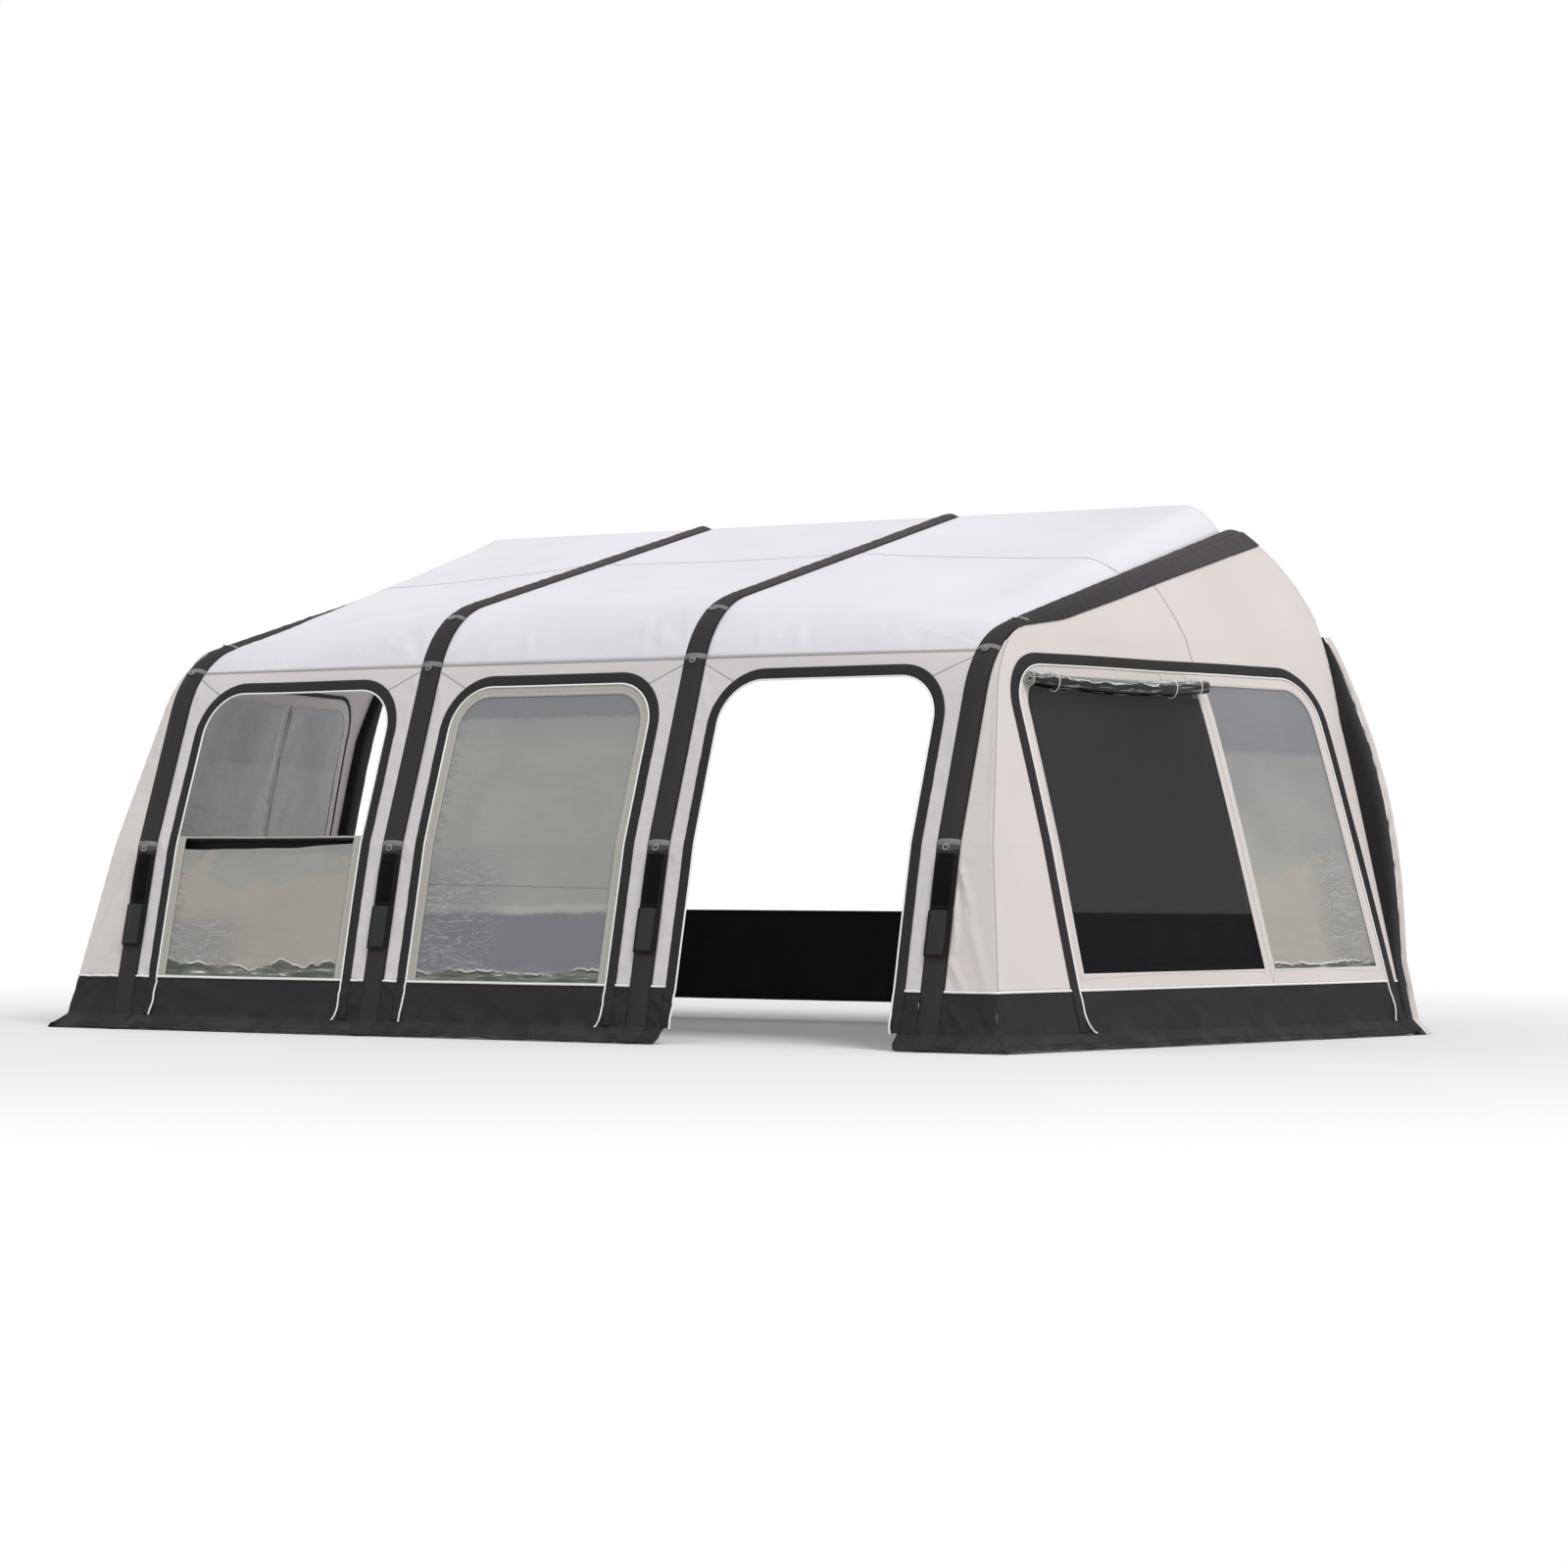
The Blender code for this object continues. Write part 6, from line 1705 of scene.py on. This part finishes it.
def build_cover_side(side):
    """The outer cover's cloth where it turns down over the air beam, onto the side wall's top edge."""
    sign = 1 if side == "right" else -1
    brim = SIDE_EDGE_X - OUTER_BEAM_X - HALF_COVER - COVER_FLANGE

    def place(depth, drop):
        top = depth_height(min(max(depth, 0.001), CORNER_TOP_DEPTH))
        if drop < brim:
            x = splayed_x(SIDE_EDGE_X, depth) - brim + drop
            return Vector((sign * x, RAIL_Y - depth, top))
        point = side_place(depth, top - drop + brim)
        point.x *= sign
        return point

    def ripple(depth, drop):
        top = depth_height(min(max(depth, 0.001), CORNER_TOP_DEPTH))
        return side_ripple(depth, top - drop) + wave(drop, depth, 9, 62, 99.5) * 0.0030 * ease(drop / 0.02)

    skin = Skin(place, ripple, (sign, 0, 0.6))
    first, second = [], []
    for depth in steps_between(0.004, CORNER_TOP_DEPTH - 0.01, 0.02):
        back = 1 - depth / CORNER_TOP_DEPTH
        width = (COVER_SIDE_FRONT + (COVER_SIDE_REAR - COVER_SIDE_FRONT) * back) * ease(back / 0.22)
        first.append(Vector((depth, 0)))
        second.append(Vector((depth, 0.002 + width)))
    bm = bmesh.new()
    length = strip(bm, skin, first, second, 0.0065, rows=8, size=0.008)
    cloth = piece(f"cover_side_{side}", bm, "cover", thick=CLOTH, slot="beam_cover_cloth")


@lru_cache(maxsize=None)
def depth_height(depth):
    """Height of the outer beam's roof line at this depth."""
    low, high = CORNER_SEAM_TOP, REAR_TOP
    for _ in range(40):
        middle = (low + high) / 2
        low, high = (middle, high) if depth_at(SIDE_EDGE_X, middle) > depth else (low, middle)
    return low


def build_side_band(side):
    build_band(
        f"side_band_cloth_{side}", f"side_piping_{side}", f"side_zip_band_{side}", SIDES[side],
        lambda reach: window_arch(reach, BAND_FOOT), SIDE_STEP, 0.004, SIDE_BAND_CURLS,
    )


def window_lights():
    """The outlines of a side window's two lights and of their panes, which the sloping mullion parts."""
    whole = window_arch(PANEL_REACH, WALL_FOOT)
    top = Vector((MULLION_HEAD_DEPTH, WINDOW_TOP + PANEL_REACH))
    bottom = Vector((MULLION_FOOT_DEPTH, WALL_FOOT))
    half = len(whole) // 2

    def parted(shift):
        return whole[:half] + [top - shift, bottom - shift], [bottom + shift, top + shift] + whole[half:]

    return parted(Vector((0, 0))), parted(Vector((WINDOW_BORDER - MULLION_WIDTH / 2, 0)))


def build_side_window(side):
    """A side window's panel: the border with its mullion, and its two lights."""
    skin = SIDES[side]
    lights, wide = window_lights()
    low = MUD_WALL_HEIGHT + WINDOW_BORDER
    high = WINDOW_TOP - WINDOW_BORDER
    for light, outline, reach in zip(("front", "rear"), lights, wide):
        stands_for = f"side_panel_{side}" if light == "front" else None
        inner = inset(reach, WINDOW_BORDER)
        build_border(f"side_{light}_border_{side}", stands_for, skin, outline, inner, "side_border",
                     seed=47.5)
        pane = inset(reach, WINDOW_BORDER - FILM_OVERLAP)
        meshed = light == "front" and side == "right"
        node = "side_front_mesh_right" if meshed else f"side_{light}_film_{side}"
        name = "side_mesh_right" if meshed else f"side_{light}_clear_{side}"
        start, end = min(point.x for point in inner), max(point.x for point in inner)
        # Each film's finish also paints reflection, glints and shade over its haze.
        finish = finish_of("mesh") if meshed else film_finish(
            f"{name}_haze", start, end, low, high, head=0.24, foot=0.36, foot_tone="veil", cloudy=0.5,
            cover=0.92, line=0, fold=0.02,
        )
        build_film(name, node, skin, pane, low, finish, slump=0.004 if meshed else 0.008)


def build_side_mud_wall(side):
    """A side's mud wall, round the corner seam, and its flap on the ground."""
    skin = SIDES[side]
    sign = 1 if side == "right" else -1
    top, foot = MUD_WALL_TOP, FLAP_LIFT
    heights = steps_between(foot, top, 0.02)
    down, edge, beam = mud_wall_end(-1, 1)
    gusset = [(sign * x, z) for x, z in down] + [(sign * corner_x(z), z) for z in heights]
    front = lay(gusset, FRONT_STEP, FRONT, folds=MUD_WALL_FOLDS)
    outline = [(side_front(z)[1], z) for z in heights] + [(side_rear(z)[1], z) for z in heights[::-1]]

    def tip(depth, z):
        return 0.03 * math.exp(-((depth - side_rear(z)[1]) / 0.05) ** 2) * ease((0.12 - z) / 0.12)

    back = lay(outline, SIDE_STEP, skin, slack=tip, folds=MUD_WALL_FOLDS)
    hem_lines = [
        (FRONT, straight((sign * beam, foot), (sign * corner_x(foot), foot), FRONT_STEP)),
        (skin, straight((side_front(foot)[1], foot), (side_rear(foot)[1] + 0.03, foot), SIDE_STEP)),
    ]
    front_top = straight((sign * (edge + 0.003), top), (sign * corner_x(top), top), FRONT_STEP)
    outer, inner = window_arch(BAND_WIDTH, top), window_arch(0, top)
    runs = [
        straight((side_front(top)[1], top), outer[0], SIDE_STEP),
        straight(inner[0], inner[-1], SIDE_STEP),
        straight(outer[-1], (side_rear(top)[1] + 0.004, top), SIDE_STEP),
    ]
    lines = [[skin.at(u, v, 0.0022) for u, v in run] for run in runs]
    lines[0] = [FRONT.at(u, v, 0.0022) for u, v in front_top] + lines[0]
    build_mud_wall(f"mud_cloth_side_{side}", joined(back, front), hem_lines, lines)


def build_film_roll():
    """The clear film of the right window's front light, rolled up over the mesh and held by elastic loops."""
    skin = Skin(side_place, flat_ripple, (1, 0, 0))
    front = WINDOW_FRONT_DEPTH - WINDOW_BORDER + FILM_OVERLAP
    rear = MULLION_HEAD_DEPTH + ROLL_END_INSET
    stations = steps_between(rear, front, 0.015)[::-1]

    def centre_of(depth):
        across = 2 * (depth - rear) / (front - rear) - 1
        return WINDOW_TOP - ROLL_BELOW_TOP - ROLL_SAG * (1 - across**2)

    steps = sizes().roll_turns * ROLL_STEPS_A_TURN
    frames = [
        frame_on(skin, depth, centre_of(depth), ROLL_RADIUS + ROLL_SWELL + 0.003) for depth in stations
    ]

    def place(column, step):
        run, turned, wound = front - stations[column], step / ROLL_STEPS_A_TURN, step / steps
        angle = 2 * math.pi * turned + ROLL_START
        rumple = wave(run, turned, 7, 4, 71.5) * 0.006 + wave(run, turned, 22, 9, 73.5) * 0.003
        radius = ROLL_CORE + (ROLL_RADIUS + ROLL_SWELL - ROLL_CORE) * wound + rumple * wound
        radius *= 1 + 0.12 * wave(run, 0, 4, 1, 75.5)
        spot = frames[column] @ Vector((0, math.sin(angle) * radius, math.cos(angle) * radius))
        return spot, (run, 2 * math.pi * ROLL_RADIUS * turned)

    bm = bmesh.new()
    add_grid(bm, len(stations) - 1, steps, place)
    roll = piece("rolled_film_right", bm, "rolled", thick=0.0042, stands_for=["film_roll_right"],
                 slot="clear_film")
    roll.data.materials.append(finish_of("roll_end"))
    roll.modifiers["Cloth"].material_offset_rim = 1
    loops = []
    for share in ROLL_LOOP_SHARES:
        depth = front + (rear - front) * share
        turn = frame_on(skin, depth, centre_of(depth), ROLL_RADIUS)
        reach = ROLL_RADIUS + ROLL_SWELL + 0.006
        angles = [math.radians(-75 + 12 * step) for step in range(26)]
        hoop = [
            turn @ Vector((0.004 * math.sin(2 * angle), math.cos(angle) * reach, math.sin(angle) * reach))
            for angle in angles
        ]
        hook = skin.at(depth, WINDOW_TOP - 0.012, LAYER + 0.004)
        loops.append([hook, hook.lerp(hoop[0], 0.6), *hoop[1:-1], hook.lerp(hoop[-1], 0.5), hook])
    holders = cords("roll_loops_right", loops, ROLL_LOOP_RADIUS)


def pad_outer_x(z):
    """The pad swells out beside the wall over its middle height."""
    swell = share_of(z, PAD_BULGE_FOOT, PAD_TOP - PAD_HEAD_BELOW_TOP)
    return side_rear(z)[0] + PAD_OUTER_REACH + PAD_BULGE * math.sin(math.pi * swell)


def squared(value):
    """Swells a round section towards a square one."""
    return math.copysign(abs(value) ** 0.5, value)


def build_pad(side):
    """The foam pad behind a side wall's rear edge, in a rumpled cover with piping."""
    sign = 1 if side == "right" else -1
    heights = steps_between(0.003, PAD_TOP - PAD_HEAD_BELOW_TOP, 0.018)

    def place(column, step):
        z = heights[column]
        angle = 2 * math.pi * step / PAD_STEPS_AROUND
        rear_x, rear_depth = side_rear(z)
        left, right = rear_x - PAD_INNER_REACH, pad_outer_x(z)
        front = rear_depth - PAD_SEAM_GAP
        shrink = 1 - 0.05 * abs(wave(z, step % PAD_STEPS_AROUND / PAD_STEPS_AROUND, 9, 3, 81.5))
        shrink *= min(1, 0.75 + 0.25 * ease((heights[-1] - z) / 0.05)) * min(1, 0.85 + 0.15 * ease(z / 0.04))
        x = (left + right) / 2 + (right - left) / 2 * shrink * squared(math.cos(angle))
        depth = front / 2 + front / 2 * shrink * squared(math.sin(angle))
        return (sign * x, RAIL_Y - depth, z), (z, 0.4 * step / PAD_STEPS_AROUND)

    bm = bmesh.new()
    add_grid(bm, len(heights) - 1, PAD_STEPS_AROUND, place)
    bmesh.ops.remove_doubles(bm, verts=bm.verts[:], dist=WELD)
    bmesh.ops.holes_fill(bm, edges=[edge for edge in bm.edges if edge.is_boundary], sides=0)
    bmesh.ops.recalc_face_normals(bm, faces=bm.faces[:])
    pad = piece(f"pad_foam_{side}", bm, "pad", stands_for=[f"draught_pad_{side}"],
                slot="dark_cloth")
    line = []
    for z in heights:
        front = side_rear(z)[1] - PAD_SEAM_GAP
        wobble = 0.006 * wave(z, 0, 16, 1, 83.5) + 0.006 * wave(z, 0, 5, 1, 85.5)
        line.append(Vector((sign * (pad_outer_x(z) - 0.004 + wobble), RAIL_Y - min(front * 0.5, 0.05), z)))
    cords(f"pad_piping_{side}", [line], sizes().piping * 0.9)

    def beside_pad(z, out):
        depth = min(side_rear(z)[1] * 0.4, 0.045)
        return Vector((sign * (pad_outer_x(z) - 0.006 + out), RAIL_Y - depth + out * 0.7, z))

    def frill(z, out):
        return wave(z, out, 13, 20, 87.5) * 0.008

    edge = Skin(beside_pad, frill, (sign, -0.5, 0))
    bm = bmesh.new()
    first = [Vector((z, 0)) for z in heights]
    strip(bm, edge, first, [point + Vector((0, PAD_TAPE_WIDTH)) for point in first], rows=4, size=0.012)
    tape = piece(f"pad_tape_{side}", bm, "side", thick=CLOTH)


def build_skirt():
    """The draught skirt across the awning's open back, between the two pads."""
    low, high = (side_rear(z)[0] - PAD_INNER_REACH - GAP for z in (SKIRT_CLEARANCE, SKIRT_TOP))

    def ripple(x, z):
        down = share_of(SKIRT_TOP - z, 0, SKIRT_TOP - SKIRT_CLEARANCE)
        folds = math.sin(math.pi * sizes().skirt_folds * x / low + 2 * wave(x, z, 1, 2, 91.5)) * 0.007
        return down * folds + wave(x, z, 7, 9, 93.5) * 0.004 + wave(x + z, z, 18, 26, 95.5) * 0.0016

    skin = Skin(lambda x, z: Vector((x, RAIL_Y - SKIRT_DEPTH, z)), ripple, (0, -1, 0))
    outline = [(-low, SKIRT_CLEARANCE), (low, SKIRT_CLEARANCE), (high, SKIRT_TOP), (-high, SKIRT_TOP)]
    skirt = piece("skirt_cloth", lay(outline, 0.016, skin), "skirt", thick=CLOTH,
                  stands_for=["draught_skirt"], slot="dark_cloth")
    bm = bmesh.new()
    for z in (SKIRT_CLEARANCE, SKIRT_TOP - sizes().hem):
        reach = low - 0.002 if z < SKIRT_TOP / 2 else high - 0.002
        line = straight((-reach, z), (reach, z), 0.016)
        add_hem(bm, skin, line)
    hem = trim("skirt_hem", bm, "flap_edge", sizes().hem, skirt.name, HEM_CLOTH)


def build_bead():
    """The bead along the rear edges of the side walls and the roof, which slides into a rail."""
    half = [(side_rear(z)[0], z) for z in steps_between(PAD_TOP, REAR_TOP, 0.03)]
    half += [(splayed_x(x, 0), rail_height(x)) for x in steps_between(RAIL_BEND_X, SIDE_EDGE_X, 0.02)[::-1]]
    half.append((0, RAIL_HEIGHT))
    line = half + [(-x, z) for x, z in half[-2::-1]]
    points = [Vector((x, RAIL_Y + BEAD_RADIUS + GAP, z - CLOTH / 2)) for x, z in line]
    cords("keder", [points], BEAD_RADIUS, slot="front_cloth", sides=12, stands_for=["rail_bead"])


def build_peg_loops():
    """Webbing peg loops on the ground flap, at the feet of the beams."""
    bm = bmesh.new()
    flat = Skin(lambda u, v: Vector((u, v, 0.0)), flat_ripple, (0, 0, 1))
    y = RAIL_Y - leg_depth(0)
    for x in BEAM_PLACES:
        for side in (-1, 1):
            first = [Vector((x + side * 0.016 - 0.007, y + 0.03 - 0.045 * step / 6)) for step in range(7)]
            second = [point + Vector((0.014, 0)) for point in first]
            strip(bm, flat, first, second, 0.007, rows=2, size=0.008)
        first = [Vector((x - 0.023 + 0.046 * step / 6, y - 0.015)) for step in range(7)]
        second = [point + Vector((0, 0.012)) for point in first]
        strip(bm, flat, first, second, 0.0085, rows=2, size=0.008)
    loops = piece("peg_loops", bm, "peg_webbing", thick=WEBBING)


def refinish(node, kind):
    """Gives a solid of the frame its finish."""
    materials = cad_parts[node].data.materials
    materials.clear()
    materials.append(finish_of(kind))


# Stage

CAMERA_PLACE = (10.413, -17.720, 0.778)
CAMERA_YAW = math.radians(31.0075)
CAMERA_PITCH = math.radians(1.2665)
CAMERA_ROLL = math.radians(0.1112)
CAMERA_LENS = 90
FLOOR_SIZE = 90
FADE_START = 4.2
FADE_END = 8.5


def build_camera():
    """A camera at the photograph's viewing angle, placed from the rail plane."""
    yaw, pitch, roll = CAMERA_YAW, CAMERA_PITCH, CAMERA_ROLL
    forward = Vector((-math.sin(yaw) * math.cos(pitch), math.cos(yaw) * math.cos(pitch), math.sin(pitch)))
    right = Vector((math.cos(yaw), math.sin(yaw), 0))
    up = right.cross(forward)
    side = math.cos(roll) * right + math.sin(roll) * up
    top = -math.sin(roll) * right + math.cos(roll) * up
    turn = Matrix((side, top, -forward)).transposed().to_4x4()
    turn.translation = Vector(CAMERA_PLACE) + Vector((0, RAIL_Y, 0))
    camera = bpy.data.objects.new("camera", bpy.data.cameras.new("camera"))
    bpy.context.collection.objects.link(camera)
    camera.matrix_world = turn
    camera.data.lens = CAMERA_LENS
    camera.data.clip_end = FLOOR_SIZE * 2
    bpy.context.scene.camera = camera


def white_to_eye(tree, factor=None):
    """1 for what the camera, gloss and glass see and 0 for other light, times the factor if there is one."""
    path = tree.nodes.new("ShaderNodeLightPath")
    seen = path.outputs["Is Camera Ray"]
    steps = [("MAXIMUM", path.outputs[ray]) for ray in ("Is Glossy Ray", "Is Transmission Ray")]
    if factor:
        steps.append(("MULTIPLY", factor))
    for operation, other in steps:
        both = tree.nodes.new("ShaderNodeMath")
        both.operation = operation
        tree.links.new(seen, both.inputs[0])
        tree.links.new(other, both.inputs[1])
        seen = both.outputs[0]
    return seen


def build_world():
    """A plain pale surround: an even light on the awning, and white to the eye."""
    world = bpy.data.worlds.new("surround")
    bpy.context.scene.world = world
    world.use_nodes = True
    tree = world.node_tree
    lit = tree.nodes["Background"]
    lit.inputs["Color"].default_value = (0.975, 0.985, 1.0, 1)
    lit.inputs["Strength"].default_value = 0.68
    white = tree.nodes.new("ShaderNodeBackground")
    white.inputs["Color"].default_value = (1, 1, 1, 1)
    mix = tree.nodes.new("ShaderNodeMixShader")
    tree.links.new(white_to_eye(tree), mix.inputs[0])
    tree.links.new(lit.outputs[0], mix.inputs[1])
    tree.links.new(white.outputs[0], mix.inputs[2])
    tree.links.new(mix.outputs[0], tree.nodes["World Output"].inputs["Surface"])


def build_floor():
    """A wide pale floor that keeps the awning's shadow and fades to white away from it."""
    bm = bmesh.new()
    bmesh.ops.create_grid(bm, x_segments=1, y_segments=1, size=FLOOR_SIZE)
    mesh = bpy.data.meshes.new("floor")
    bm.to_mesh(mesh)
    bm.free()
    floor = bpy.data.objects.new("floor", mesh)
    bpy.context.collection.objects.link(floor)
    made = Finish("floor", {"Base Color": (0.82, 0.82, 0.82, 1), "Roughness": 0.9, "Specular IOR Level": 0.0})
    where = made.place()
    far = made.ramp(made.node("VectorMath", {0: where}, 1, operation="LENGTH"), FADE_START, FADE_END)
    white = made.node("Emission", {"Color": (1, 1, 1, 1), "Strength": 1.0})
    mixed = made.node("MixShader", {1: made.shader.outputs[0], 2: white})
    made.tree.links.new(white_to_eye(made.tree, far), mixed.node.inputs[0])
    made.tree.links.new(mixed, made.tree.nodes["Material Output"].inputs["Surface"])
    mesh.materials.append(made.material)


def build_lights():
    """A soft key light from the right and above, in front of the awning."""
    sun = bpy.data.lights.new("key", "SUN")
    sun.energy = 1.5
    sun.angle = math.radians(24)
    sun.color = (1.0, 0.985, 0.965)
    key = bpy.data.objects.new("key", sun)
    key.rotation_euler = Vector((-0.60, 0.24, -0.85)).to_track_quat("-Z", "Y").to_euler()
    bpy.context.collection.objects.link(key)


# Operators


class DressBeams(bpy.types.Operator):
    """Makes the air tubes, their covers, tabs, flaps and pouches"""

    bl_idname = "awning.dress_beams"
    bl_label = "Air beams and covers"

    def execute(self, context):
        for index, x in enumerate(BEAM_PLACES, 1):
            build_beam(index, x)
            build_cover(index, x)
            build_tabs(index, x)
            build_pouch(index, x)
            build_flaps(index, x)
            refinish(f"valve_cap_{index}", "plastic")
        return {"FINISHED"}


class DressRoof(bpy.types.Operator):
    """Makes the three roof panels with their seams"""

    bl_idname = "awning.dress_roof"
    bl_label = "Roof"

    def execute(self, context):
        for index, bay in enumerate(BAYS):
            build_roof(index, bay)
        return {"FINISHED"}


class DressFront(bpy.types.Operator):
    """Makes the front walls, the bands with their piping, and the mud walls"""

    bl_idname = "awning.dress_front"
    bl_label = "Front walls and bands"

    def execute(self, context):
        for index, bay in enumerate(BAYS):
            build_front_wall(index, bay)
            build_zip_band(index, bay)
        build_front_mud_walls()
        return {"FINISHED"}


class DressBays(bpy.types.Operator):
    """Makes the middle bay's window and the left bay's lowered panel"""

    bl_idname = "awning.dress_bays"
    bl_label = "Bay panels"

    def execute(self, context):
        build_middle_bay()
        build_veranda()
        refinish("veranda_rail", "rail")
        refinish("zip_slider_left", "zip")
        refinish("zip_slider_right", "zip")
        return {"FINISHED"}


class DressSides(bpy.types.Operator):
    """Makes the side walls, their windows, mud walls and the rolled up film"""

    bl_idname = "awning.dress_sides"
    bl_label = "Side walls and windows"

    def execute(self, context):
        for side in SIDES:
            build_side_wall(side)
            build_cover_side(side)
            build_side_band(side)
            build_side_window(side)
            build_side_mud_wall(side)
        build_film_roll()
        return {"FINISHED"}


class DressRear(bpy.types.Operator):
    """Makes the draught pads, the draught skirt, the rail bead and the peg loops"""

    bl_idname = "awning.dress_rear"
    bl_label = "Rear edge and peg loops"

    def execute(self, context):
        for side in SIDES:
            build_pad(side)
        build_skirt()
        build_bead()
        build_peg_loops()
        return {"FINISHED"}


class SetStage(bpy.types.Operator):
    """Sets the camera, the floor, the surround and the light"""

    bl_idname = "awning.set_stage"
    bl_label = "Stage"

    def execute(self, context):
        context.scene.view_settings.view_transform = "Standard"
        build_camera()
        build_world()
        build_floor()
        build_lights()
        return {"FINISHED"}


OPERATORS = (SetStage, DressBeams, DressRoof, DressFront, DressBays, DressSides, DressRear)


class AwningPanel(bpy.types.Panel):
    """Lists the steps and the values that they read"""

    bl_idname = "VIEW3D_PT_awning"
    bl_label = "Awning"
    bl_space_type = "VIEW_3D"
    bl_region_type = "UI"
    bl_category = "Awning"

    def draw(self, context):
        for operator in OPERATORS:
            self.layout.operator(operator.bl_idname)
        for group in (context.scene.awning_sizes, context.scene.awning_colours):
            for name in group.__annotations__:
                self.layout.prop(group, name)


CLASSES = (AwningSizes, AwningColours, *OPERATORS, AwningPanel)


def register():
    for cls in CLASSES:
        bpy.utils.register_class(cls)
    bpy.types.Scene.awning_sizes = PointerProperty(type=AwningSizes)
    bpy.types.Scene.awning_colours = PointerProperty(type=AwningColours)


def unregister():
    del bpy.types.Scene.awning_colours
    del bpy.types.Scene.awning_sizes
    for cls in reversed(CLASSES):
        bpy.utils.unregister_class(cls)


def main():
    register()
    for operator in OPERATORS:
        group, name = operator.bl_idname.split(".")
        getattr(getattr(bpy.ops, group), name)()


if __name__ == "__main__":
    main()
